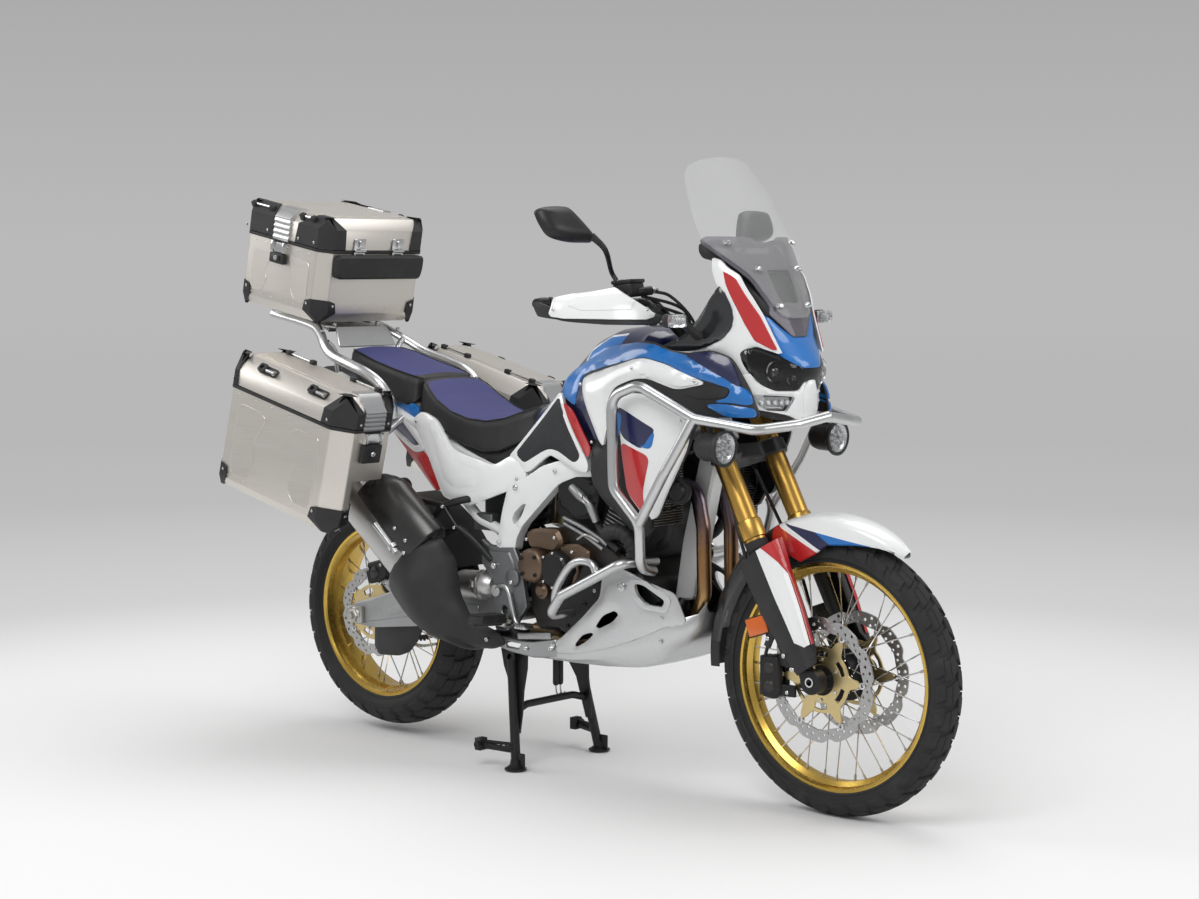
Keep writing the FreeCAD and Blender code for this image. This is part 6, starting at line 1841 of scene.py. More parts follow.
mainFrame.plate(roundCorners([(.421, .905), (.366, .905), (.381, .828), (.404, .728), (.453, .494),
    (.511, .488), (.486, .643)], .01, 4), .05, sideways(-.025), edge=.006)
mainFrame.lathe([(.03, 0.0), (.034, .004), (.034, .15), (.03, .154), (.02, .154), (.02, 0)],
    steerAt(0, 0, .628), steerUp, 32)
mainFrame.use("satin")
for hand in (-1, 1):
    mainFrame.tube(path(hand, (.48, .02, .492), (.505, .075, .4), (.56, .1, .352), (.76, .11, .34),
        (.94, .13, .352), (.985, .15, .41)), .014, 8, 12)
mainFrame.tube([at(.985, -.15, .47), at(.985, .15, .47)], .016, 1, 16, smooth=False)
mainFrame.tube([at(1.0, -.15, .592), at(1.0, .15, .592)], .016, 1, 16, smooth=False)
mainFrame.make("chassis", "white_paint", "main_frame")
for back, height, side, size in ((.938, .764, .1675, .016), (1.015, .547, .169, .017),
        (.948, .509, .174, .012), (.8, .815, .165, .011), (1.0, .612, .168, .012)):
    boltRow("cap", "chassis", [at(back, -side, height)], (0, -1, 0), size, size * .5, both=True)

# the engine: dark crankcase, bronze covers, finned cylinders leaning forward
engine = Piece("engine", "engine")
engine.plate(roundCorners([(.925, .44), (.935, .56), (.905, .64), (.8, .668), (.69, .66), (.59, .6),
    (.52, .545), (.52, .45), (.6, .398), (.9, .382)], .014, 4), .26, sideways(-.13), edge=.01)
engine.use("satin")
engine.plate(roundCorners([(.8, .65), (.56, .59), (.5, .72), (.505, .8), (.56, .86), (.69, .9), (.8, .88),
    (.85, .8), (.86, .7)], .018, 4), .216, sideways(-.108), edge=.01)
for hand in (-1, 1):
    # black upper cover, deep airbox side, lower black plate
    sidePlate(engine,
        [(.812, .792), (.77, .822), (.69, .806), (.668, .76), (.682, .7), (.745, .69), (.812, .728)], .1, .15,
        hand, .01, .014)
    sidePlate(engine,
        [(.7, .6), (.64, .56), (.61, .5), (.69, .42), (.76, .38), (.8, .4), (.8, .47), (.745, .52)], .12,
        .158, hand, .008, .012)
    engine.use("bronze")
    sideTurned(engine,
        [(0, .006), (.036, .006), (.041, .003), (.0445, -.002), (.0465, -.012), (.0465, -.07), (0, -.07)],
        .869, .562, .188, hand, 48)
    sidePlate(engine,
        [(.912, .64), (.893, .655), (.857, .66), (.795, .662), (.776, .63), (.8, .598), (.895, .602)], .11,
        .166, hand, .009, .012)
    sidePlate(engine,
        [(.905, .6), (.87, .618), (.76, .612), (.735, .56), (.74, .52), (.8, .5), (.88, .505), (.915, .54)],
        .11, .152, hand, .008, .014)
    sideTurned(engine, [(0, .01), (.012, .01), (.016, .004), (.022, .002), (.023, -.03), (0, -.03)], .852,
        .494, .16, hand, 28)
    sidePlate(engine, [(.792, .622), (.73, .628), (.69, .612), (.69, .584), (.742, .575), (.792, .59)], .11,
        .158, hand, .006, .006)
    engine.use("satin")
    sideTurned(engine, [(0, .004), (.04, .004), (.047, .001), (.052, -.006), (.053, -.05), (0, -.05)], .792,
        .556, .182, hand, 8)
    sideTurned(engine, [(0, .006), (.034, .006), (.037, .002), (.037, -.004), (0, -.004)], .792, .556, .182,
        hand, 40)
    # corrugated hose and dark ring beside the cylinders
    engine.use("softRubber")
    hose = path(hand, (.64, .14, .66), (.61, .15, .67), (.57, .15, .665), (.545, .145, .63), (.56, .14, .59),
        (.6, .135, .575))
    engine.tube(hose, [.019, .022] * 13, 10, 14)
    engine.tube(path(hand, (.7, .12, .7), (.655, .135, .655), (.6, .14, .62)), .01, 8, 10)
    engine.use("castSilver")
    engine.tube(path(hand, (.755, .148, .775), (.715, .155, .752), (.69, .15, .73), (.678, .14, .69)),
        [.012, .014, .009, .013, .01], 6, 14)
    engine.tube(path(hand, (.8, .13, .69), (.72, .138, .668), (.64, .138, .632)), .0065, 6, 10)
    engine.tube(path(hand, (.79, .14, .676), (.71, .146, .65), (.65, .146, .62)), .005, 6, 10)
    engine.use("zinc")
    engine.tube(path(hand, (.735, .15, .64), (.7, .155, .655), (.66, .15, .64)), .004, 6, 8)
    engine.use("steel")
    for ring in (.705, .688):
        engine.lathe([(.0135, 0), (.0155, .001), (.0155, .006), (.0135, .007)], at(ring, hand * .153, .745),
            (.75, 0, .55), 20)
engine.make("chassis", "engine_metal", "engine")
for hand in (-1, 1):
    for angle in (.6, 2.3, 3.9, 5.5):
        bolt("darkCap", "chassis",
            at(.869 + .033 * math.cos(angle), hand * .193, .562 + .033 * math.sin(angle)), (0, hand, 0), .011,
            .005)
    for angle in np.linspace(0, math.tau, 9)[:-1]:
        bolt("cap", "chassis",
            at(.792 + .0455 * math.cos(angle), hand * .183, .556 + .0455 * math.sin(angle)), (0, hand, 0),
            .0075, .004)
    for back, height, side in ((.9, .628, .166), (.8, .64, .166), (.745, .606, .158), (.8, .808, .15),
            (.69, .79, .15), (.8, .735, .15), (.7, .71, .15), (.655, .535, .158), (.7, .475, .158),
            (.76, .41, .158), (.905, .565, .152), (.76, .535, .152)):
        bolt("darkCap" if height > .7 or height < .54 else "cap", "chassis", at(back, hand * side, height),
            (0, hand, 0), .0095, .005)

# cylinder fins leaning forward, one after another along the cylinder
fin = Piece("cylinderFin", "castSilver")
fin.plate(roundCorners([(-.07, -.13), (.062, -.13), (.07, -.11), (.07, .11), (.062, .13), (-.07, .13)], .012,
    3), .0032, Matrix.Identity(4), edge=.0009)
finCopy = bpy.data.objects.new("cylinderFin", fin.mesh())
cylinder = {"foot": at(.622, 0, .64), "lean": 24, "fins": 9, "gap": .0105}
cylinderTurn = Matrix.Rotation(math.radians(cylinder["lean"]), 3, "Y")
finWay = cylinderTurn @ Vector((0, 0, cylinder["gap"]))
finMesh = grown("cylinderFins", rowTree, None, Count=cylinder["fins"], Gap=finWay, Place=(0, 0, 0),
    Copy=finCopy, Finish=finish["castSilver"])
finMesh.transform(Matrix.Translation(cylinder["foot"]))
# every fin is turned about its own middle
for vert in finMesh.vertices:
    spot = vert.co - cylinder["foot"]
    step = round(spot.dot(cylinderTurn @ Vector((0, 0, 1))) / cylinder["gap"])
    vert.co = cylinder["foot"] + finWay * step + cylinderTurn @ (spot - finWay * step)
bpy.data.objects.remove(finCopy)
joined("cylinderFins", [finMesh], "chassis")

# skid plate: two slotted cheeks over a rounded belly
skid = Piece("skidPlate", "skid")
slot = [(.523, .547), (.494, .543), (.44, .506), (.449, .488), (.494, .496), (.519, .523)]
cheek = [(.631, .564), (.591, .585), (.533, .569), (.418, .526), (.39, .452), (.47, .415), (.629, .352),
    (.736, .326), (.862, .318), (.838, .351), (.783, .373), (.7, .44), (.64, .497)]
cheekDepths = [(.4, .5, .128), (.43, .46, .138), (.5, .55, .165), (.6, .57, .17), (.6, .45, .172),
    (.6, .37, .166), (.75, .37, .168), (.75, .335, .164), (.86, .325, .16), (.5, .43, .16)]
skid.panel(cheek, cheekDepths, .004, .004, .008, .016, side=-1, soft=.014, holes=[slot,
    [(.656, .42), (.63, .452), (.59, .469), (.576, .46), (.597, .438), (.643, .416)],
    [(.731, .364), (.702, .394), (.669, .403), (.662, .396), (.696, .373), (.726, .358)]])
outerRim = [(.537, .556), (.49, .556), (.424, .51), (.438, .474), (.5, .482), (.53, .512)]
skid.panel(outerRim, raised(.004, cheekDepths), .006, .002, .004, .012, side=-1, soft=.01, holes=[slot])
skid.bothSides()
rings = []
for back, half, high, low in ((.362, .07, .5, .47), (.372, .095, .47, .425), (.4, .12, .46, .392),
        (.46, .146, .428, .345), (.53, .16, .396, .321), (.63, .165, .362, .313), (.74, .163, .338, .309),
        (.86, .158, .328, .307), (.935, .14, .326, .309)):
    half += .003
    shape = [(half, high), (half, (high + low) / 2), (half * .9, low + .004), (half * .66, low),
        (0, low - .002)]
    outer = shape + [(-y, z) for y, z in reversed(shape[:-1])]
    inner = [(y * .975, z + .004) for y, z in reversed(outer)]
    rings.append([at(back, y, z) for y, z in outer + inner])
skid.rings(rings)
skid.use("satin")
for hand in (-1, 1):
    sidePlate(skid, [(.655, .5), (.6, .545), (.52, .535), (.47, .5), (.52, .46), (.64, .4), (.78, .36),
        (.8, .375), (.7, .45)], .12, .13, hand)
skid.make("chassis", "skid_metal", "skid_plate")
for back, height, side, size in ((.561, .534, .171, .022), (.653, .515, .173, .01), (.807, .352, .166, .016),
        (.452, .4, .146, .012), (.45, .462, .146, .01)):
    boltRow("cap", "chassis", [at(back, -side, height)], (0, -1, 0), size, size * .35, both=True)

# radiators with their fins, end tanks, fan rings and hoses
radiatorPlan = {"behind": .448, "side": .155, "height": .787, "core": (.026, .104, .176), "fins": 26,
    "finGap": .0066, "fanArms": 6}
radiator = Piece("radiators", "satin")
core = bpy.data.objects.new("radiatorFin",
    Piece("fin", "satin").block((.022, .108, .0012), (0, 0, 0), .0003, 1).mesh())
finSets = []
for hand in (-1, 1):
    radiator.use("fineBlack")
    radiator.block(radiatorPlan["core"],
        at(radiatorPlan["behind"], hand * radiatorPlan["side"], radiatorPlan["height"]), .004)
    radiator.use("satin")
    for side in (.098, .214):
        radiator.block((.036, .016, .186), at(.444, hand * side, radiatorPlan["height"]), .006, 3)
    radiator.lathe([(.046, -.012), (.05, -.012), (.052, -.008), (.052, .004), (.048, .006), (.046, .002)],
        at(.42, hand * radiatorPlan["side"], .79), (1, 0, 0), 40)
    radiator.lathe([(0, .006), (.016, .005), (.019, .001), (.019, -.01), (0, -.01)],
        at(.42, hand * radiatorPlan["side"], .79), (1, 0, 0), 24)
    for step in range(radiatorPlan["fanArms"]):
        fanTurn = Matrix.Rotation(math.tau * step / radiatorPlan["fanArms"], 4, "X")
        turn = Matrix.Translation(at(.424, hand * radiatorPlan["side"], .79)) @ fanTurn
        radiator.block((.003, .016, .03), turn @ shift(0, 0, .032) @ Matrix.Rotation(.5, 4, "Z"), .001, 1)
    # the round cap on the outside, seen beside the leg of the crash bar
    radiator.lathe([(0, .012), (.018, .012), (.022, .008), (.024, 0), (.032, -.001), (.034, -.006),
        (.034, -.016), (0, -.016)], at(.362, hand * .196, .794), (.3, hand, 0), 32)
    radiator.use("softRubber")
    radiator.tube(path(hand, (.45, .11, .705), (.47, .095, .66), (.52, .07, .63)), .013, 6, 14)
    radiator.tube(path(hand, (.448, .11, .878), (.48, .085, .9), (.54, .06, .88)), .013, 6, 14)
    finSets.append(grown("radiatorFins", rowTree, None, Count=radiatorPlan["fins"],
        Gap=(0, 0, radiatorPlan["finGap"]), Place=at(.43, hand * radiatorPlan["side"], .7045), Copy=core,
        Finish=finish["zinc"]))
bpy.data.objects.remove(core)
radiator.make("chassis", "radiator_metal", "radiators")
joined("radiatorFins", finSets, "chassis")
print("engine made")

# silencer: a deep satin can, hollow at its end, with a dark shield over it
muffler = {"canFront": (1.176, .446), "canAim": (.7606, .6493), "side": -.243, "wall": .003}
exhaust = Piece("silencer", "muffler")


def canRing(along, tall, wide, rise=0.0):
    (b0, z0), (db, dz) = muffler["canFront"], muffler["canAim"]
    ring = []
    for k in range(40):
        angle = math.tau * k / 40
        up, out = rise + tall * math.sin(angle), wide * math.cos(angle)
        ring.append(at(b0 + db * along - dz * up, muffler["side"] + out, z0 + dz * along + db * up))
    return ring


canStops = [(0.0, .024, .024, .004), (.02, .034, .032, .008), (.055, .066, .052, .018),
    (.07, .072, .056, .02), (.078, .072, .056, .02), (.08, .075, .058, .02), (.1, .075, .058, .02),
    (.102, .072, .056, .02), (.26, .07, .056, .014), (.33, .06, .056, .003), (.5, .058, .056, 0.0),
    (.502, .0605, .0585, 0.0), (.53, .0605, .0585, 0.0), (.536, .056, .054, 0.0), (.536, .038, .038, 0.0),
    (.44, .036, .036, 0.0)]
exhaust.rings([canRing(*stop) for stop in canStops])
exhaust.use("satin")
exhaust.tube([at(1.02, 0, .347), at(1.066, -.02, .344), at(1.084, -.19, .336), at(1.15, muffler["side"], .38),
    at(1.176, muffler["side"], .44)], .022, 8, 24)
exhaust.lathe([(.022, -.012), (.0265, -.01), (.0265, .01), (.022, .012)], at(1.163, muffler["side"], .41),
    (-.55, 0, .83), 28)
# the round chamber beside the pivot
chamber, chamberAim = at(1.168, -.152, .484), (1, 0, .04)
exhaust.use("muffler")
exhaust.lathe([(0, 0), (.026, .002), (.037, .014), (.039, .024), (.039, .1), (.042, .102), (.042, .11),
    (.039, .112), (.036, .128), (.026, .14), (0, .142)], chamber, chamberAim, 32)
exhaust.use("zinc")
exhaust.lathe([(.039, .084), (.0415, .085), (.0415, .096), (.039, .097)], chamber, chamberAim, 32)
exhaust.block((.016, .012, .02), at(1.076, -.194, .494), .003)
exhaust.use("darkShield")
shieldStops = [(.104, .104, .052), (.108, .11, .058), (.116, .112, .06), (.29, .11, .06), (.33, .092, .06),
    (.362, .07, .058)]
shield = []
for along, tall, wide in shieldStops:
    whole = canRing(along, tall, wide, .058)
    shield.append(whole[5:21] + [(whole[20] + whole[5]) / 2])
exhaust.rings(shield)
exhaust.use("silver")
exhaust.tube([at(1.336, -.303, .646), at(1.252, -.303, .574)], .013, 1, 16, flat=.7, smooth=False)
exhaust.lathe([(.0125, -.007), (.015, -.006), (.015, .006), (.0125, .007)], at(1.268, -.303, .588),
    (-.098, 0, .086), 24)
boltRow("cap", "chassis", [at(1.222, -.299, .61), at(1.262, -.3, .64)], (0, -1, 0), .011)
exhaust.use("black")
coverLine = [(1.318, .468), (1.292, .52), (1.25, .566), (1.205, .612), (1.14, .618), (1.104, .56),
    (1.09, .47), (1.05, .402), (.985, .37), (.973, .34), (1.018, .32), (1.132, .328), (1.205, .356),
    (1.27, .404)]
exhaust.panel(coverLine, [(1.318, .47, .284), (1.292, .52, .306), (1.25, .566, .308), (1.205, .612, .292),
    (1.14, .618, .262), (1.104, .56, .246), (1.09, .47, .244), (.985, .36, .198), (1.018, .325, .19),
    (1.132, .33, .238), (1.205, .358, .264), (1.27, .406, .272), (1.2, .5, .322), (1.16, .41, .3),
    (1.08, .378, .248)], wall=.004, roll=.016, edge=.034, side=-1, soft=.014)
boltRow("cap", "chassis", [at(1.01, -.203, .352), at(1.225, -.302, .576)], (0, -1, 0), .012)
exhaust.make("chassis", "muffler_metal", "muffler")

# tail: a tapering moulding with a red lamp, and a hanger for the blank plate
def tailRing(x, half, low, high, count=28):
    ring = []
    for k in range(count):
        a = math.tau * k / count
        c, s = math.cos(a), math.sin(a)
        ring.append(Vector((x, half * math.copysign(abs(c) ** .5, c),
            (low + high) / 2 + (high - low) / 2 * math.copysign(abs(s) ** .6, s))))
    return ring


tail = Piece("tail", "black")
tail.rings([tailRing(*row) for row in ((-.549, .074, .962, 1.02), (-.62, .082, .948, 1.036),
    (-.76, .084, .95, 1.046), (-.88, .074, .972, 1.05), (-.95, .06, .99, 1.048), (-.972, .056, .996, 1.046),
    (-.978, .052, 1.0, 1.042))])
for hand in (-1, 1):
    tail.block((.12, .004, .026), shift(-.82, hand * .082, 1.004), .0015)
tail.rings([tailRing(x, half, 1.0, high)
    for x, half, high in ((-.93, .052, 1.05), (-.985, .05, 1.051), (-.992, .046, 1.049))])
tail.use("redLamp")
tail.rings([tailRing(x, half, 1.006 + inset, 1.042 - inset)
    for x, half, inset in ((-.975, .046, 0), (-.99, .046, 0), (-.996, .043, .003), (-.998, .036, .008))])
tail.use("black")
slope = Vector((-.118, 0, -.225)).normalized()
hanger = facing((-.985, 0, .872), Vector((-slope.z, 0, slope.x)) * -1, slope)
hang = [(-.03, -.125), (.03, -.125), (.04, -.06), (.072, -.045), (.082, -.02), (.082, .1), (.07, .118),
    (-.07, .118), (-.082, .1), (-.082, -.02), (-.072, -.045), (-.04, -.06)]
tail.plate(roundCorners(hang, .01, 4), .005, hanger, edge=.0015)
tail.block((.06, .032, .026), shift(-.945, 0, .965), .006, 3)
tail.use("frosted")
tail.plate(roundCorners([(-.078, -.032), (.078, -.032), (.078, .072), (-.078, .072)], .008, 4), .0025,
    hanger @ shift(0, 0, .0066), edge=.0006)
tail.use("redLamp")
tail.block((.056, .026, .007), hanger @ shift(0, .096, .008), .003, 3)
tail.use("lens")
tail.block((.036, .02, .012), hanger @ shift(0, -.048, .01), .003)
for x in (-.058, .058):
    bolt("dome", "chassis", hanger @ Vector((x, -.02, .0085)), hanger.to_3x3() @ Vector((0, 0, 1)), .01)
tail.make("chassis", "black_plastic", "rear_fender")

# swing arm: deep sides over the arms, square axle blocks, bobbins and a lower guard
armPlan = {"inner": .123, "outer": .153, "thick": .03, "axleBehind": 1.575, "axleHeight": .355}
arms = Piece("swingArmSides", "castSilver")
armLine = [(1.6, .334), (1.6, .386), (1.52, .407), (1.41, .444), (1.22, .466), (1.05, .462), (.972, .448),
    (.956, .42), (.972, .392), (1.1, .384), (1.3, .378), (1.42, .357), (1.52, .337)]
for hand in (-1, 1):
    low = min(hand * armPlan["inner"], hand * armPlan["outer"])
    arms.use("castSilver")
    arms.plate(roundCorners(armLine, .014, 4), armPlan["thick"], sideways(low), edge=.006)
    arms.plate(roundCorners([(1.47, .376), (1.4, .402), (1.22, .43), (1.09, .43), (1.09, .412), (1.3, .404),
        (1.44, .368)], .01, 4), .003, sideways(hand * armPlan["outer"] - (.003 if hand < 0 else 0)),
        edge=.0012)
    arms.use("zinc")
    arms.block((.058, .012, .05), at(1.575, hand * .158, .357), .004)
    arms.lathe([(0, .02), (.009, .02), (.011, .017), (.011, .012), (.017, .012), (.019, .01), (.019, 0),
        (0, 0)], at(armPlan["axleBehind"], hand * .163, armPlan["axleHeight"]), (0, hand, 0), 6)
    arms.lathe([(0, .006), (.02, .006), (.022, .004), (.022, 0), (0, 0)],
        at(armPlan["axleBehind"], hand * .162, armPlan["axleHeight"]), (0, hand, 0), 28)
    arms.tube(path(hand, (1.598, .138, .358), (1.628, .138, .356)), .0045, 1, 10, smooth=False)
    arms.use("satin")
    arms.lathe([(0, .01), (.01, .01), (.015, .006), (.018, 0), (0, 0)], at(.985, hand * .152, .42),
        (0, hand, 0), 28)
    for behind, height in ((1.596, .373), (1.556, .343)):
        bolt("cap", "chassis", at(behind, hand * .164, height), (0, hand, 0), .008)
arms.use("black")
arms.panel([(1.535, .338), (1.338, .372), (1.34, .34), (1.362, .3), (1.4, .262), (1.44, .247), (1.53, .24),
    (1.545, .262)],
    [(1.535, .338, .128), (1.338, .371, .13), (1.403, .266, .124), (1.535, .24, .118), (1.45, .3, .134)],
    wall=.003, roll=.006, edge=.016, side=-1, soft=.01)
arms.make("chassis")

# rear caliper over the disc
rearBrake = {"x": -.69, "height": .477, "lean": 16}
discMiddle = middle("rear_disc")
brake = Piece("rearCaliper", "satin")
flat = spun(90, "X")
where = shift(rearBrake["x"], discMiddle.y, rearBrake["height"]) @ spun(-rearBrake["lean"], "Y")
brakeLine = [(-.044, -.022), (-.036, -.03), (.03, -.028), (.046, -.012), (.042, .018), (.02, .03),
    (-.03, .028), (-.044, .012)]
for near, far in ((-.022, -.006), (.006, .02)):
    brake.plate(roundCorners(brakeLine, .01, 4), far - near, where @ shift(0, far, 0) @ flat, edge=.004)
brake.block((.07, .036, .014), where @ shift(0, 0, .024), .004)
brake.use("engine")
brake.lathe([(0, .006), (.012, .006), (.016, .003), (.018, 0), (0, 0)], where @ Vector((-.006, -.022, -.002)),
    (0, -1, 0), 24)
brake.use("softRubber")
brake.tube([where @ Vector((.04, -.014, .02)), at(1.46, -.12, .5), at(1.36, -.118, .47),
    at(1.2, -.118, .474)], .0045, 6, 8)
for x in (-.026, .028):
    bolt("cap", "chassis", where @ Vector((x, -.022, .014)), (0, -1, 0), .01)
brake.make("chassis", "black_metal", "rear_caliper")

# drive chain: links along the loop over both sprockets
chainPlan = {"front": (.93, .42), "rear": (1.575, .355), "frontRadius": .0385, "rearRadius": .1205,
    "side": .094, "pitch": .0159}


def chainLoop():
    (b1, z1), (b2, z2) = chainPlan["front"], chainPlan["rear"]
    r1, r2 = chainPlan["frontRadius"], chainPlan["rearRadius"]
    gap = math.hypot(b2 - b1, z2 - z1)
    lean, spread = math.atan2(z2 - z1, b2 - b1), math.acos((r1 - r2) / gap)
    stops = []
    for (b, z), radius, first, last in (((b1, z1), r1, lean + spread, lean + math.tau - spread),
            ((b2, z2), r2, lean - spread, lean + spread)):
        stops += [at(b + radius * math.cos(a), chainPlan["side"], z + radius * math.sin(a))
            for a in np.linspace(first, last, 24)]
    return stops


loop = chainLoop()
loopLength = sum((b - a).length for a, b in zip(loop, loop[1:] + loop[:1]))
link = Piece("link", "zinc")
for side in (-.0058, .0042):
    outline = [(-.0035, -.0095), (.0035, -.0095), (.0042, -.004), (.0028, 0), (.0042, .004), (.0035, .0095),
        (-.0035, .0095), (-.0042, .004), (-.0028, 0), (-.0042, -.004)]
    link.plate(outline, .0016, Matrix(((0, 0, 1, side), (1, 0, 0, 0), (0, 1, 0, 0), (0, 0, 0, 1))))
link.lathe([(0, -.0075), (.0028, -.0075), (.0028, .0075), (0, .0075)], (0, 0, 0), (1, 0, 0), 7)
linkCopy = bpy.data.objects.new("link", link.mesh())
chainMesh = grown("chain", lineTree, lineMesh("chainLine", loop, True),
    Count=round(loopLength / chainPlan["pitch"]), Twist=0.0, Copy=linkCopy, Finish=finish["zinc"])
bpy.data.objects.remove(linkCopy)
joined("driveChain", [chainMesh], "chassis", ["drive_chain"])
sprocket = Piece("frontSprocket", "satin")
teeth = []
for k in range(16 * 4):
    radius = (.034, .04, .04, .034)[k % 4]
    angle = math.tau * (k + (.25, -.1, .1, -.25)[k % 4]) / 64
    teeth.append((radius * math.cos(angle), radius * math.sin(angle)))
sprocket.plate([(.93 + b, .42 + z) for b, z in teeth], .006, sideways(.091))
sprocket.make("chassis")

# shock: damper body, coil spring and a remote bottle
shock = Piece("shockSpring", "satin")
foot, head = at(1.09, 0, .4), at(1.0, 0, .78)
shockWay = (head - foot).normalized()
shock.lathe([(0, 0), (.012, 0), (.016, .01), (.016, .118), (.036, .12), (.038, .124), (.038, .13),
    (.02, .134), (.02, .3), (.038, .318), (.04, .324), (.04, .332), (.026, .336), (.026, .372), (.012, .39),
    (0, .39)], foot, shockWay, 32)
shock.use("steel")
shock.lathe([(0, .1), (.0085, .1), (.0085, .2), (0, .2)], foot, shockWay, 16)
shock.use("black")
spring = {"radius": .0345, "wire": .0058, "low": .134, "length": .178, "sweep": math.tau * 6.5}
coil = [facing(foot, shockWay) @ Vector((spring["radius"] * math.cos(a), spring["radius"] * math.sin(a),
    spring["low"] + spring["length"] * a / spring["sweep"])) for a in np.linspace(0, spring["sweep"], 118)]
shock.tube(coil, spring["wire"], 1, 8, smooth=False)
shock.use("goldPale")
shock.lathe([(0, 0), (.02, .002), (.022, .006), (.022, .09), (.02, .096), (0, .098)], at(1.02, .072, .64),
    (0, .1, 1), 28)
shock.make("chassis", None, "shock_absorber")
clutter = Piece("sideParts", "plate")
clutter.block((.068, .034, .046), at(1.1, -.112, .656), .005, 3)
clutter.use("black")
clutter.block((.15, .15, .12), at(1.08, 0, .7), .02, 3)
clutter.make("chassis")
print("rear made")


# luggage cases: u runs to the rear, w up the case, y across; every case is tilted nose down
class Case:
    def __init__(self, name, behind, height, tilt, length, near, far, depth, lidHigh, bevel, corner):
        self.name, self.length, self.near, self.far = name, length, near, far
        self.depth, self.lidHigh, self.bevel, self.corner = depth, lidHigh, bevel, corner
        self.turn = Matrix.Rotation(math.radians(tilt), 3, "Y")
        self.foot = at(behind, 0, height)
        self.outward = 1 if far > near else -1

    def place(self, u, y, w):
        return self.foot + self.turn @ Vector((-u, y, w))

    def way(self, u, y, w):
        return self.turn @ Vector((-u, y, w))

    # a matrix whose x runs to the rear, y up and z outwards on the far (or near) side
    def sideFace(self, u, w, side, lift=0.0):
        y = (self.far if side > 0 else self.near) + self.outward * side * lift
        return self.matrix(self.place(u, y, w), (1, 0, 0), (0, 0, 1), (0, self.outward * side, 0))

    # x across, y up and z forwards on the front face
    def frontFace(self, y, w, lift=0.0):
        return self.matrix(self.place(-lift, y, w), (0, self.outward, 0), (0, 0, 1), (-1, 0, 0))

    def topFace(self, u, y, lift=0.0):
        return self.matrix(self.place(u, y, self.depth + self.lidHigh + lift), (1, 0, 0),
            (0, self.outward, 0), (0, 0, 1))

    def matrix(self, place, first, second, third):
        turn = Matrix((self.way(*first), self.way(*second), self.way(*third))).transposed().to_4x4()
        return Matrix.Translation(place) @ turn

    # the plan of the case with its corners cut, moved in by the inset
    def plan(self, inset, w, near=None, soft=.004):
        cut, near = self.corner, self.near if near is None else near
        low, high = min(near, self.far) + inset, max(near, self.far) - inset
        front, rear = inset, self.length - inset
        cut = max(cut - inset * .586, .004)
        outline = [(front, low + cut), (front, high - cut), (front + cut, high), (rear - cut, high),
            (rear, high - cut), (rear, low + cut), (rear - cut, low), (front + cut, low)]
        return [self.place(p.x, p.y, w) for p in roundCorners(outline, soft, 2)]

    # a black cap over one corner: it is wide at the seam and narrow at the top
    def cornerCap(self, piece, rear, far, low, high, bevel, wide, narrow, lift=.0035, thick=.007, lip=.012,
            across=None):
        across = across or (wide, narrow)
        u0, y0 = (self.length if rear else 0.0), (self.far if far else self.near)
        du, dy = (-1 if rear else 1), (-self.outward if far else self.outward)
        rings = []

        def ring(w, inset, alongWide, acrossWide, thick):
            cut = max(self.corner - inset * .586, .004)
            outer, inner = -lift + inset, -lift + inset + thick
            face = [(alongWide, outer), (cut, outer), (outer, cut), (outer, acrossWide)]
            back = [(inner, acrossWide), (inner, cut + thick * .4), (cut + thick * .4, inner),
                (alongWide, inner)]
            rings.append([self.place(u0 + du * a, y0 + dy * b, w) for a, b in face + back])

        steps = [(low, 0.0, wide, across[0], thick), (high - bevel, 0.0, wide * .94, across[0] * .94, thick)]
        if bevel:
            steps += [(high + .002, bevel * .92, narrow, across[1], thick),
                (high + .003, bevel + lip, narrow * .96, across[1] * .96, .004)]
        else:
            steps += [(high, 0.0, narrow, across[1], thick)]
        for step in steps:
            ring(*step)
        return piece.rings(rings)


topBoxPlan = {"behind": 1.686, "height": 1.18, "tilt": 10.5, "length": .36, "near": -.202, "far": .202,
    "depth": .213, "lidHigh": .087, "bevel": .03, "corner": .034}
sideCasePlan = {"behind": 1.357, "height": .626, "tilt": 14.0, "length": .5, "depth": .295, "lidHigh": .084,
    "bevel": .042, "corner": .046}
topCase = Case("topBox", **topBoxPlan)
rightCase = Case("rightPannier", near=-.252, far=-.472, **sideCasePlan)
leftCase = Case("leftPannier", near=.252, far=.472, **sideCasePlan)


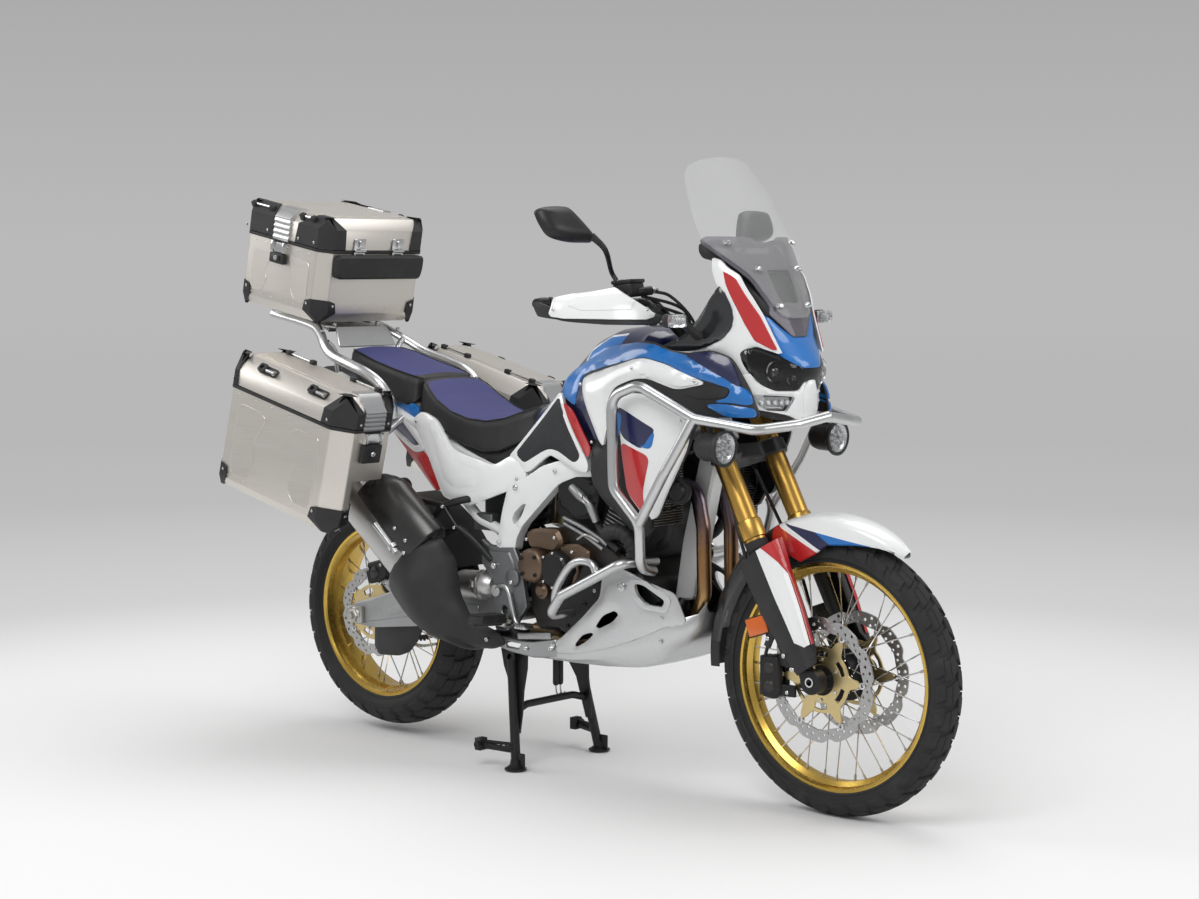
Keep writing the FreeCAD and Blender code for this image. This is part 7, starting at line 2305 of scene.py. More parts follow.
# the step, if any, is (near side below it, its height): room for the exhaust
def caseBody(case, step=None):
    piece = Piece(case.name, "case")
    depth = case.depth
    near, rise = step or (case.near, .06)
    rings = [case.plan(.03, .002, near), case.plan(.022, .0005, near), case.plan(.0015, .026, near),
        case.plan(0.0, .03, near), case.plan(0.0, rise, near), case.plan(0.0, rise + .0004),
        case.plan(0.0, depth - .01), case.plan(0.0, depth - .0015), case.plan(.0026, depth - .0015),
        case.plan(.0026, rise + .003), case.plan(.0026, rise + .0026, near), case.plan(.0026, .032, near),
        case.plan(.025, .004, near)]
    piece.rings(rings)
    # folded strip round the bottom and pressed shapes in the long walls
    for side in ((1,) if step else (-1, 1)):
        wide = case.length
        sheet = [(wide * .16, .05), (wide * .3, .046), (wide * .36, .085), (wide * .32, depth * .5),
            (wide * .4, depth * .8), (wide * .34, depth - .045), (wide * .16, depth - .045)]
        for mirrored in (False, True):
            outline = [(wide - u, w) if mirrored else (u, w) for u, w in sheet]
            piece.plate(roundCorners(outline, .022, 4), .0013, case.sideFace(0, 0, side, -.0005), edge=.0011)
    piece.use("softRubber")
    bands = ((.0042, depth - .0105), (-.0028, depth - .01), (-.0038, depth - .006), (-.0028, depth - .0015),
        (.002, depth - .001), (.0042, depth - .0105))
    lines = [case.plan(inset, w) for inset, w in bands[:-1]]
    piece.rings(lines + lines[:1], caps=False)
    # black corner guards at the bottom
    piece.use("black")
    for rear in (False, True):
        for far in (False, True):
            lowerGuard(case, piece, rear, far, near)
    rivetRows(case, near)
    return piece


# a guard wraps a bottom corner: tall at the corner, with a foot under the box
def lowerGuard(case, piece, rear, far, near):
    u0, y0 = (case.length if rear else 0.0), (case.far if far else near)
    du, dy = (-1 if rear else 1), (-case.outward if far else case.outward)
    cut, lift, rings = case.corner, .0035, []
    for w, inset, reach, thick in ((.0665, 0.0, .004, .007), (.06, 0.0, .024, .007), (.031, 0.0, .03, .007),
            (-.0015, .024, .01, .007), (-.003, .034, 0.0, .006)):
        outer, inner = inset - lift, inset - lift + thick
        corner = max(cut - inset * .586, .006)
        face = [(corner + reach, outer), (corner, outer), (outer, corner), (outer, corner + reach)]
        back = [(inner, corner + reach), (inner, corner + .003), (corner + .003, inner),
            (corner + reach, inner)]
        rings.append([case.place(u0 + du * a, y0 + dy * b, w) for a, b in face + back])
    piece.rings(rings)
    bolt("cap", "chassis", case.place(u0 + du * (cut + .014), y0 - dy * lift, .052), case.way(0, -dy, 0),
        .008, .003)
    bolt("cap", "chassis", case.place(u0 - du * lift, y0 + dy * (cut + .014), .052), case.way(-du, 0, 0),
        .008, .003)


def rivetRows(case, near):
    for side, y, w in ((1, case.far, case.depth - .022), (1, case.far, .038),
            (-1, case.near, case.depth - .022), (-1, near, .038)):
        for u in np.linspace(case.corner + .03, case.length - case.corner - .03, 6):
            bolt("rivet", "chassis", case.place(u, y, w), case.way(0, case.outward * side, 0), .005, .0014)
    low, high = sorted((near, case.far))
    for u, way in ((0.0, -1), (case.length, 1)):
        for w in (case.depth - .08 if way < 0 and case is topCase else case.depth - .022, .04):
            for y in np.linspace(low + case.corner + .012, high - case.corner - .012, 4):
                bolt("rivet", "chassis", case.place(u, y, w), case.way(way, 0, 0), .005, .0014)


def caseLid(case):
    piece = Piece(case.name + "Lid", "case")
    low, high, bevel = case.depth + .0005, case.depth + case.lidHigh, case.bevel
    rings = [case.plan(0.0, low), case.plan(0.0, high - bevel - .002), case.plan(.002, high - bevel + .001),
        case.plan(bevel - .003, high - .002), case.plan(bevel, high - .0005), case.plan(bevel + .01, high)]
    inner = [case.plan(bevel + .01, high - .004), case.plan(bevel + .003, high - .005),
        case.plan(.004, high - bevel), case.plan(.0035, low)]
    piece.rings(list(reversed(rings)) + list(reversed(inner)))
    # a shallow pressed field on the top
    span = abs(case.far - case.near)
    u0, u1, v0, v1 = bevel + .03, case.length - bevel - .03, bevel + .022, span - bevel - .022
    field = [(u0, v0), (u1, v0), (u1, v1), (u0, v1)]
    piece.plate(roundCorners(field, .018, 4), .0012, case.topFace(0, case.near, -.0004), edge=.0011)
    return piece


# a rod held between two black feet, for tying luggage down
def lashRod(piece, start, end, rise, radius=.0036):
    piece.use("steel")
    piece.tube([start, end], radius, 1, 8, smooth=False)
    piece.use("black")
    along = (end - start).normalized()
    for spot in (start, end):
        piece.block((.016, .018, .022), facing(spot - rise * .004, rise, along), .003)


# ribbed strip with a hooked clasp and a black lock below it; x across, y up, z out
def latch(lidPiece, bodyPiece, face, wide, lidHigh, bevel, lockHigh):
    ribs = [(0.0, -.0005)]
    stops = np.linspace(-.006, lidHigh - bevel, 9)
    for index, w in enumerate(stops):
        ribs.append((w, .0085 if index % 2 else .004))
    ribs += [(lidHigh - bevel + .004, .0075), (lidHigh - .004, .0075 - bevel * .82),
        (lidHigh + .0035, .006 - bevel), (lidHigh + .004, -.022 - bevel), (lidHigh - .003, -.022 - bevel)]
    across = Matrix(((0, 0, 1, -wide / 2), (1, 0, 0, 0), (0, 1, 0, 0), (0, 0, 0, 1)))
    lidPiece.use("rack")
    lidPiece.plate(roundCorners(ribs, .0016, 2), wide, face @ across)
    bodyPiece.use("steel")
    hook = [(-.01, .0005), (-.012, .0085), (-.034, .0115), (-.04, .009), (-.04, .0005)]
    bodyPiece.plate(hook, wide * .84,
        face @ shift(-wide * .42, 0, 0) @ Matrix(((0, 0, 1, 0), (1, 0, 0, 0), (0, 1, 0, 0), (0, 0, 0, 1))))
    for side in (-1, 1):
        bodyPiece.block((.012, .03, .008), face @ shift(side * wide * .36, -.024, .011), .002)
    bodyPiece.use("black")
    bodyPiece.block((wide * .92, lockHigh, .016), face @ shift(0, -.042 - lockHigh / 2, .0075), .0045)
    bodyPiece.use("fineBlack")
    bodyPiece.block((wide * .52, lockHigh * .5, .006), face @ shift(0, -.04 - lockHigh / 2, .0155), .002)
    bodyPiece.use("steel")
    lock = face @ shift(0, -.04 - lockHigh * .52, .0185)
    bodyPiece.lathe([(0, .0012), (.002, .0012), (.0023, .002), (.0065, .002), (.0078, 0), (.0078, -.003),
        (0, -.003)], lock.to_translation(), lock.to_3x3() @ Vector((0, 0, 1)), 20)


# steel hinge in two leaves with a knuckle
def hinge(lidPiece, bodyPiece, face, wide, lidLeaf, bodyLeaf):
    lidPiece.use("steel")
    lidPiece.block((wide, lidLeaf, .0035), face @ shift(0, lidLeaf / 2 + .004, .0035), .0014)
    lidPiece.block((wide * .34, lidLeaf * .7, .0105), face @ shift(0, lidLeaf / 2 + .004, .0055), .003)
    bodyPiece.use("steel")
    bodyPiece.block((wide, bodyLeaf, .0035), face @ shift(0, -bodyLeaf / 2 - .004, .0055), .0014)
    knuckle = face @ shift(0, 0, .006)
    start, end = (knuckle @ Vector((side * wide * .5, 0, 0)) for side in (-1, 1))
    bodyPiece.tube([start, end], .0052, 1, 12, smooth=False)
    bodyPiece.use("black")
    bodyPiece.block((wide * .55, bodyLeaf * .66, .006), face @ shift(0, -bodyLeaf * .62, .009), .002)


def makeTopCase():
    case = topCase
    body, lid = caseBody(case), caseLid(case)
    top, bevel, high = case.depth, case.bevel, case.lidHigh
    lid.use("black")
    for far in (False, True):
        case.cornerCap(lid, False, far, top + .001, top + high, bevel, .128, .07, across=(.075, .038))
        case.cornerCap(lid, True, far, top + .001, top + high, bevel, .14, .12, across=(.086, .05))
        y = case.far if far else case.near
        out = 1 if far else -1
        for u in (.016, .112, .246, .34):
            bolt("cap", "top_box_lid", case.place(u if u > .05 else .045, y + out * .0035, top + .014),
                case.way(0, out, 0), .008, .003)
        # tie-down rods in the bevel of the long sides
        for start, end in ((.07, .118), (.25, .33)):
            places = [case.place(u, y - out * bevel * .3, top + high - bevel * .28) for u in (start, end)]
            lashRod(lid, *places, case.way(0, out * .5, .87))
    for y in (-.075, .075):
        hinge(lid, body, case.frontFace(y, top), .044, .03, .03)
    for side in (-1, 1):
        latch(lid, body, case.sideFace(.186, top, side), .066, high, bevel, .03)
    # back rest pad on the front wall
    body.use("softRubber")
    pad = roundCorners([(-.162, -.08), (.162, -.08), (.17, -.052), (.17, -.012), (-.17, -.012),
        (-.17, -.052)], .016, 5)
    body.plate(pad, .026, case.frontFace(0, top, 0.0), edge=.006)
    body.make("chassis", "case_metal", "top_box")
    lid.make("top_box_lid", "case_metal", "top_box_lid")


def makeSideCase(case, nodeName, step=None):
    body, lid = caseBody(case, step), caseLid(case)
    top, bevel, high = case.depth, case.bevel, case.lidHigh
    lid.use("black")
    for far in (False, True):
        case.cornerCap(lid, False, far, top + .001, top + high, bevel, .085, .05, across=(.078, .046))
        case.cornerCap(lid, True, far, top + .001, top + high, bevel, .062, .044, across=(.078, .046))
        y = case.far if far else case.near
        out = case.outward * (1 if far else -1)
        for u in (.06, case.length - .046):
            bolt("cap", nodeName + "_lid", case.place(u, y + out * .0035, top + .014), case.way(0, out, 0),
                .008, .003)
    middleY = (case.near + case.far) / 2
    for u, way in ((0.0, -1), (case.length, 1)):
        for y in (case.near + case.outward * .06, case.far - case.outward * .06):
            bolt("cap", nodeName + "_lid", case.place(u + way * .0035, y, top + .014), case.way(way, 0, 0),
                .008, .003)
    # lashing fittings on the bright outer bevel
    face = Vector((0, case.outward * .7, .72))
    for u in (.135, .345):
        spot = case.place(u, case.far - case.outward * bevel * .52, top + high - bevel * .46)
        way = case.turn @ face
        turn = facing(spot, way, case.way(0, 0, 1))
        lid.use("black")
        lid.plate(roundCorners([(-.036, -.013), (.036, -.013), (.036, .013), (-.036, .013)], .008, 4), .004,
            turn, edge=.001)
        lid.plate(roundCorners([(-.034, -.013), (-.004, -.013), (-.004, .013), (-.034, .013)], .008, 4), .012,
            turn, [circlePoints((-.022, 0), .006, 12)], edge=.0015)
        lid.use("steel")
        lid.tube([turn @ Vector((0.0, -.004, .008)), turn @ Vector((.034, -.004, .008))], .005, 1, 12,
            smooth=False)
        lid.tube([turn @ Vector((.028, -.004, .008)), turn @ Vector((.034, -.004, .008))], .0072, 1, 12,
            smooth=False)
    # tie-down rods and their black feet on the inner edge of the lid
    for start, end in ((.06, .16), (.33, .43)):
        places = [case.place(u, case.near + case.outward * (bevel + .012), top + high + .005)
            for u in (start, end)]
        lashRod(lid, *places, case.way(0, 0, 1), .003)
    latch(lid, body, case.frontFace(middleY, top), .074, high, bevel, .052)
    for u in (.12, .38):
        hinge(lid, body, case.sideFace(u, top, -1), .04, .022, .022)
    body.make("chassis", "case_metal", nodeName)
    lid.make(nodeName + "_lid", "case_metal", nodeName + "_lid")


makeTopCase()
makeSideCase(rightCase, "right_pannier", (-.355, .148))
makeSideCase(leftCase, "left_pannier")
print("cases made")

# handlebar with its grips, switches and levers, then the mirrors and hand guards
cockpit = {"gripLength": .125, "gripRibs": 22, "ribGap": .0044, "guardUp": 1.052, "guardFall": .5205,
    "mirrorForward": .065, "mirrorSide": .378, "mirrorUp": 1.218}
barTip, barKnee = Vector((-.052, .412, 1.053)), Vector((.039, .132, 1.01))
barFoot = Vector((.043, .067, .921))
gripEnd = barTip + (barKnee - barTip).normalized() * cockpit["gripLength"]


def steered(place, hand=1):
    return steerAt(place[0], hand * place[1], place[2])


def alongBar(distance, hand, forward=0.0, up=0.0):
    place = barTip + (barKnee - barTip).normalized() * distance + Vector((forward, 0, up))
    return steered(place, hand)


bar = Piece("handlebarSet", "satin")
half = [barTip, barTip.lerp(barKnee, .5), barTip.lerp(barKnee, .93), barKnee, barKnee.lerp(barFoot, .5),
    barFoot, Vector((.043, .04, .9)), Vector((.043, .014, .896))]
bar.tube([steered(place, 1) for place in half] + [steered(place, -1) for place in reversed(half)],
    [.011, .011, .012, .0135, .0142, .0142, .0142, .0142] + [.0142, .0142, .0142, .0135, .012, .011, .011], 6,
    16)
for hand in (-1, 1):
    barWay = (alongBar(.1, hand) - alongBar(0, hand)).normalized()
    # risers clamp the bar to the head
    bar.block((.04, .034, .046), steerMatrix(.043, hand * .04, .88), .006, 3)
    bar.block((.046, .034, .018), steerMatrix(.043, hand * .04, .912), .006, 3)
    for forward in (-.015, .015):
        bolt("cap", "steering", steerAt(.043 + forward, hand * .04, .921), steerUp, .009, .005)
    bar.use("softRubber")
    ribs = [(.0115, .004), (.0185, .004), (.0195, .007), (.0195, .011), (.017, .013)]
    for rib in range(cockpit["gripRibs"]):
        along = .016 + rib * cockpit["ribGap"]
        ribs += [(.0162, along), (.017, along + .0009), (.017, along + .0031), (.0162, along + .004)]
    ribs += [(.0168, .115), (.02, .1165), (.02, .123), (.0115, .124)]
    bar.lathe(ribs, alongBar(0, hand), barWay, 24)
    bar.use("satin")
    bar.lathe([(0, -.03), (.012, -.03), (.0165, -.027), (.0185, -.02), (.0185, -.002), (.015, .002),
        (0, .002)], alongBar(0, hand), barWay, 24)
    # switch housing with its rockers and buttons
    bar.use("fineBlack")
    housing = facing(alongBar(.15, hand), barWay, steerUp)
    bar.block((.046, .044, .044), housing, .01, 3)
    bar.block((.03, .052, .034), housing @ shift(0, .004, -.006), .01, 3)
    bar.lathe([(.011, -.03), (.0205, -.03), (.0215, -.026), (.0215, .02), (.011, .022)], housing.translation,
        barWay, 24)
    bar.use("grey")
    for row, column in ((-.012, .008), (.002, .008), (-.012, -.008), (.004, -.008)):
        bar.block((.01, .01, .008), housing @ shift(-hand * .021, .01 + row, column), .002)
    bar.use("red" if hand < 0 else "orange")
    bar.block((.016, .012, .016), housing @ shift(0, .028, .01), .003)
    # lever with its perch and guard
    bar.use("satin")
    perch = facing(alongBar(.195, hand), barWay, steerUp)
    bar.block((.034, .032, .024), perch, .006, 3)
    bar.tube([alongBar(.196, hand, .006), alongBar(.2, hand, .03), alongBar(.176, hand, .052, -.004)], .0105,
        4, 12)
    blade = [alongBar(.19, hand, .05, -.006), alongBar(.165, hand, .058, -.01),
        alongBar(.12, hand, .056, -.014), alongBar(.07, hand, .052, -.016), alongBar(.025, hand, .052, -.016),
        alongBar(.004, hand, .058, -.016)]
    bar.tube(blade, [.0075, .008, .007, .0062, .006, .0062, .0085], 5, 10, flat=1.25)
    if hand < 0:
        # master cylinder with its square reservoir
        bar.tube([alongBar(.176, hand, .044, .004), alongBar(.262, hand, .048, .01)], .0115, 2, 14,
            smooth=False)
        tank = Matrix.Translation(alongBar(.206, hand, .04, .018)) @ spun(14, "Z") @ spun(-6, "Y")
        bar.use("fineBlack")
        bar.block((.052, .078, .032), tank, .006, 3)
        bar.block((.056, .082, .01), tank @ shift(0, 0, .0195), .003)
        for y in (-.03, .03):
            bolt("cap", "steering", tank @ Vector((0, y, .024)), tank.to_3x3() @ Vector((0, 0, 1)), .007,
                .003)
        bar.use("zinc")
        bar.lathe([(0, 0), (.008, 0), (.008, .014), (.006, .018), (0, .018)], alongBar(.262, hand, .048, .01),
            barWay, 12)
    # hoses and cables down to the head
    bar.use("softRubber")
    for run, (forward, side, up) in enumerate(((.062, .03, .88), (.04, .05, .862), (.074, .012, .87))):
        start = alongBar(.238 if run else .27, hand, .05 - .012 * run, .006 - .006 * run)
        bar.tube([start, steered(Vector((.092 - .01 * run, .12 - .02 * run, 1.0 - .02 * run)), hand),
            steered(Vector((.094 - .008 * run, .075, .94)), hand),
            steered(Vector((forward, side, up)), hand)], .0042, 6, 8)
bar.make("steering", "black_metal", "handlebar")


def mirrorAt(forward, hand, side, up):
    return steerAt(cockpit["mirrorForward"] + forward, hand * (cockpit["mirrorSide"] + side),
        cockpit["mirrorUp"] + up)


# mirrors: a shaped head on a bent stem, the glass facing the rider
mirrors = Piece("mirrors", "fineBlack")
headLine = [(.086, .02), (.081, .04), (.04, .047), (-.01, .047), (-.032, .036), (-.06, 0.0), (-.083, -.036),
    (-.08, -.046), (-.05, -.047), (0, -.046), (.046, -.038), (.072, -.026), (.082, -.004)]
for hand in (-1, 1):
    line = [(p.x, p.y) for p in smoothLine([Vector((x, y, 0)) for x, y in headLine], 4, True)]
    rings = []
    for grow, depth in ((.35, .021), (.66, .019), (.86, .0125), (.96, .004), (1.0, -.005), (1.0, -.012),
            (.975, -.0135), (.955, -.0125)):
        rings.append([mirrorAt(depth, hand, side * grow, up * grow - .002 * (1 - grow)) for side, up in line])
    mirrors.use("fineBlack")
    mirrors.rings(rings)
    mirrors.use("mirrorGlass")
    mirrors.rings([[mirrorAt(depth, hand, side * .945, up * .945) for side, up in line]
        for depth in (-.0105, -.013)])
    mirrors.use("fineBlack")
    base = barKnee.lerp(gripEnd, .45)
    root = base + Vector((.004, .006, .016))
    mirrors.tube([steered(place, hand) for place in (root, base + Vector((.004, .006, .06)),
        base + Vector((.006, .014, .086)), Vector((.075, .28, 1.14)), Vector((.071, .306, 1.182)))],
        [.007, .0062, .0062, .0062, .0075, .0095], 6, 12)
    mirrors.lathe([(0, 0), (.015, 0), (.0165, .003), (.0165, .016), (.0135, .022), (.0095, .036),
        (.0085, .048), (0, .048)], steered(root - Vector((0, 0, .006)), hand), steerUp, 20)
    mirrors.use("zinc")
    mirrors.lathe([(0, .04), (.0105, .04), (.0105, .048), (0, .048)],
        steered(root - Vector((0, 0, .006)), hand), steerUp, 6)
mirrors.make("steering", "black_plastic", "mirrors")


# hand guards: a black frame from the bar end, a white shell in front of the fingers
guardLine = smoothLine([Vector((x, y, 0)) for x, y in ((-.06, .42), (-.056, .456), (.01, .456),
    (.058, .372), (.082, .3), (.088, .225), (.084, .178))], 8)


def guardLevel(place):
    return cockpit["guardUp"] - cockpit["guardFall"] * (place.x + .056)


def guardShell(piece, hand, first, last, top, low, bulge, thick, push=0.0):
    rings = []
    count = len(guardLine)
    for step in range(41):
        s = first + (last - first) * step / 40
        spot = s * (count - 1)
        index = min(int(spot), count - 2)
        place = guardLine[index].lerp(guardLine[index + 1], spot - index)
        along = (guardLine[index + 1] - guardLine[index]).normalized()
        out = Vector((along.y, -along.x, 0))
        if out.dot(place - Vector((0, .3, 0))) < 0:
            out = -out
        t = (s - first) / (last - first)
        high = float(np.interp(t, [k[0] for k in top], [k[1] for k in top]))
        floor = float(np.interp(t, [k[0] for k in low], [k[1] for k in low]))
        outer, inner = [], []
        for k in range(9):
            rise = k / 8
            swell = bulge * math.sin(math.pi * (.12 + .8 * rise))
            if bulge > .004:
                swell -= .008 * max(0, rise - .8) / .2
            level = guardLevel(place)
            base = place + out * (swell + push) + Vector((0, 0, level + floor + (high - floor) * rise))
            outer.append(steered(base, hand))
            inner.append(steered(base - out * thick, hand))
        rings.append(outer + list(reversed(inner)))
    piece.rings(rings)


handGuards = Piece("handGuards", "black")
for hand in (-1, 1):
    handGuards.use("black")
    guardShell(handGuards, hand, .02, 1.0, [(0, .01), (.2, .012), (.34, -.01), (1, -.024)],
        [(0, -.02), (.2, -.03), (.5, -.046), (.9, -.05), (1, -.04)], .003, .009)
    handGuards.tube([steered(p, hand) for p in (barTip + Vector((-.008, .002, .004)),
        Vector((-.06, .425, 1.06)), Vector((-.05, .452, 1.056)))], .013, 5, 12)
    handGuards.tube([steered(p, hand)
        for p in (Vector((.084, .18, .968)), Vector((.066, .166, .978)), Vector((.04, .148, 1.008)))], .009,
        5, 12)
    handGuards.use("white")
    guardShell(handGuards, hand, .29, .85,
        [(0, -.012), (.06, .024), (.22, .036), (.45, .045), (.66, .054), (.73, .04), (.86, .012), (1, -.022)],
        [(0, -.028), (.1, -.034), (.5, -.038), (.86, -.04), (1, -.034)], .009, .003, .004)
    # a raised rib along the shell
    guardShell(handGuards, hand, .38, .72, [(0, 0.0), (.12, .022), (.75, .03), (1, .012)],
        [(0, -.004), (.12, -.016), (.9, -.014), (1, .004)], .003, .004, .0125)
    for s, up in ((.33, -.01), (.81, -.016)):
        spot = guardLine[int(s * (len(guardLine) - 1))]
        after = guardLine[int(s * (len(guardLine) - 1)) + 1]
        along = (after - spot).normalized()
        out = Vector((along.y, -along.x, 0))
        out = out if out.x > 0 else -out
        way = steerTurn @ Vector((out.x, hand * out.y, 0))
        level = guardLevel(spot) + up
        bolt("dome", "steering", steered(spot + out * .011 + Vector((0, 0, level)), hand), way, .011, .005)
handGuards.make("steering", "white_plastic", "handguards")
print("cockpit made")

# fork: gold tubes above, black legs with painted guards below, calipers on the legs
forkPlace = {"forward": .05, "side": .104}
forkTubes = Piece("forkTubes", "goldTube")
forkLegs = Piece("forkLegs", "satin")
for hand in (-1, 1):
    base = steerAt(forkPlace["forward"], hand * forkPlace["side"], 0)
    forkTubes.use("goldTube")
    forkTubes.lathe([(0, .33), (.0275, .33), (.0275, .548), (.0268, .556), (.0268, .8), (.0262, .852),
        (.0245, .858), (0, .858)], base, steerUp, 40)
    forkTubes.lathe([(.0275, .35), (.031, .352), (.0318, .358), (.0318, .392), (.0305, .398), (.0275, .4)],
        base, steerUp, 40)
    forkTubes.use("steel")
    forkTubes.lathe([(0, .866), (.01, .866), (.012, .862), (.0235, .86), (.0235, .852), (0, .852)], base,
        steerUp, 6)
    forkTubes.use("softRubber")
    forkTubes.lathe([(.0215, .322), (.0285, .322), (.0295, .328), (.0295, .342), (.0262, .346),
        (.0215, .346)], base, steerUp, 36)
    forkLegs.use("satin")
    forkLegs.lathe([(0, -.002), (.021, -.002), (.0225, .004), (.0225, .3), (.0242, .306), (.0255, .318),
        (.0255, .326), (0, .326)], base, steerUp, 36)
    # axle clamp with its split and pinch bolts
    clampAt = Matrix.Translation(frontHub + Vector((0, hand * .108, 0))) @ steerTurn.to_4x4()
    forkLegs.lathe([(.0125, 0), (.028, 0), (.031, .003), (.031, .031), (.028, .034), (.0125, .034)],
        frontHub + Vector((0, hand * .09, 0)), (0, hand, 0), 36)
    forkLegs.block((.03, .03, .06), clampAt @ shift(-.012, 0, .03), .006)
    forkLegs.block((.05, .022, .12), steerMatrix(.022, hand * .1, .085), .006)
    for up in (.012, .04):
        bolt("cap", "steering", steerAt(.05 + .022, hand * .106, up - .012), steerTurn @ Vector((1, 0, 0)),
            .009, .005)
forkTubes.make("steering", "gold_tube", "fork_tubes")
forkLegs.make("steering", "black_metal", "fork_sliders")

clamps = Piece("forkClamps", "satin")
for low, high, wide in ((.562, .602, .136), (.805, .833, .13)):
    outline = [(.086, -wide + .02), (.09, -wide + .04), (.088, -.07), (.06, -.05), (.06, .05), (.088, .07),
        (.09, wide - .04), (.086, wide - .02), (.07, wide), (.03, wide), (.014, wide - .02), (.014, .085),
        (-.028, .032), (-.028, -.032), (.014, -.085), (.014, -wide + .02), (.03, -wide), (.07, -wide)]
    clamps.plate(roundCorners(outline, .012, 4), high - low, steerMatrix(0, 0, low), edge=.004)
    for hand in (-1, 1):
        for up in (low + .01, high - .01):
            bolt("cap", "steering", steerAt(.03, hand * (wide - .001), up), (0, hand, 0), .008, .004)
clamps.lathe([(0, .604), (.022, .604), (.022, .804), (0, .804)], steerFoot, steerUp, 24)
clamps.use("steel")
clamps.lathe([(0, .852), (.009, .852), (.011, .849), (.02, .848), (.02, .833), (0, .833)], steerFoot, steerUp,
    6)
clamps.use("black")
clamps.block((.03, .05, .03), steerMatrix(.06, .03, .85), .006, 3)
clamps.make("steering", "black_metal", "fork_clamps")


# the guards wrap the outer front of each leg: s runs from the inner front round to the rear outside
def guardSpot(hand, s, up, lift):
    stops = (0, .12, .25, .4, .55, .7, .85, 1)
    forward = float(np.interp(s, stops, (.108, .12, .122, .113, .09, .062, .028, -.006)))
    out = float(np.interp(s, stops, (-.022, -.008, .012, .03, .04, .043, .04, .03)))
    slim = float(np.interp(up, (.06, .15, .35), (.66, .84, 1.0)))
    forward = .064 + (forward - .064) * slim
    push = Vector((forward - .04, out)).normalized() * lift
    return steerAt(forward + push.x, hand * (forkPlace["side"] + out * (.9 + .1 * slim) + push.y), up)


# a patch of guard given by rows of (height up the leg, first s, last s)
def guardPatch(piece, paint, rows, lift, thick):
    piece.use(paint)
    ups = np.linspace(rows[0][0], rows[-1][0], 13)
    levels = [row[0] for row in rows]
    for hand in (-1, 1):
        rings = []
        for up in ups:
            first, last = (float(np.interp(up, levels, [row[k] for row in rows])) for k in (1, 2))
            spans = [first + (last - first) * k / 16 for k in range(17)]
            rings.append([guardSpot(hand, s, up - .02 * s, lift) for s in spans]
                + [guardSpot(hand, s, up - .02 * s, lift - thick) for s in reversed(spans)])
        piece.rings(rings)


guards = Piece("forkGuards", "black")
guardPatch(guards, "black", [(.01, .3, .8), (.06, .1, .92), (.14, .06, .98), (.325, .04, 1.0)], 0.0, .004)
guardPatch(guards, "white", [(.058, .3, .44), (.074, .29, .6), (.2, .28, .65), (.327, .26, .66)], .0024,
    .0018)
guardPatch(guards, "red", [(.056, .2, .28), (.235, .18, .27), (.327, .1, .58)], .0046, .0018)
for hand in (-1, 1):
    spot = steerMatrix(-.022, hand * .128, .15) @ spun(8, "Y") @ spun(-hand * 14, "Z")
    guards.use("black")
    guards.block((.06, .006, .05), spot, .003)
    guards.block((.08, .008, .02), steerMatrix(.01, hand * .124, .118) @ spun(-38, "Y"), .003)
    guards.use("orange")
    guards.block((.054, .008, .044), spot @ shift(0, hand * .0035, 0), .003, 3)
    for forward, up in ((.004, .108), (.03, .052), (.04, .012)):
        bolt("cap", "steering", steerAt(forward, hand * .14, up), (0, hand, 0), .011, .005)
guards.make("steering")

# calipers clasp the discs behind the legs
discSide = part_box("front_discs")[1][1] - .0025
frontBrake = {"forward": -.139, "up": -.006, "pistonUp": (-.024, .022)}
calipers = Piece("frontCalipers", "satin")
caliperBody = [(-.028, -.052), (.014, -.056), (.03, -.036), (.026, .036), (.012, .056), (-.024, .05),
    (-.032, .03), (-.032, -.034)]
for hand in (-1, 1):
    centre = frontHub + Vector((frontBrake["forward"], hand * discSide, frontBrake["up"]))
    where = Matrix.Translation(centre)
    flat = spun(90, "X")
    for near, far in ((.006, .024), (-.022, -.006)):
        low, high = sorted((hand * near, hand * far))
        calipers.plate(roundCorners(caliperBody, .01, 4), high - low, where @ shift(0, high, 0) @ flat,
            edge=.004)
    calipers.block((.016, .04, .1), where @ shift(-.03, 0, 0), .004)
    calipers.block((.05, .01, .03), where @ shift(.046, hand * .014, .044), .003)
    calipers.block((.05, .01, .03), where @ shift(.046, hand * .014, -.03), .003)
    calipers.use("engine")
    for up in frontBrake["pistonUp"]:
        calipers.lathe([(0, .006), (.01, .006), (.014, .003), (.0165, 0), (.0165, -.004), (0, -.004)],
            where @ Vector((-.004, hand * .024, up)), (0, hand, 0), 24)
    calipers.use("softRubber")
    hose = [centre + Vector((-.02, hand * .018, .05)), centre + Vector((-.012, hand * .024, .11)),
        steerAt(-.004, hand * .1, .3), steerAt(0.0, hand * .085, .42), steerAt(.008, hand * .06, .545)]
    calipers.tube(hose, .0045, 8, 8)
    calipers.use("satin")
    for up in (-.034, .046):
        bolt("cap", "steering", where @ Vector((.05, hand * .019, up)), (0, hand, 0), .01, .005)
calipers.make("steering", "black_metal", "front_calipers")


# the front fender: a rounded strip over the wheel; angles in degrees round the axle
fenderPlan = {"steps": 36, "start": 58, "sweep": 113, "wall": .0035}


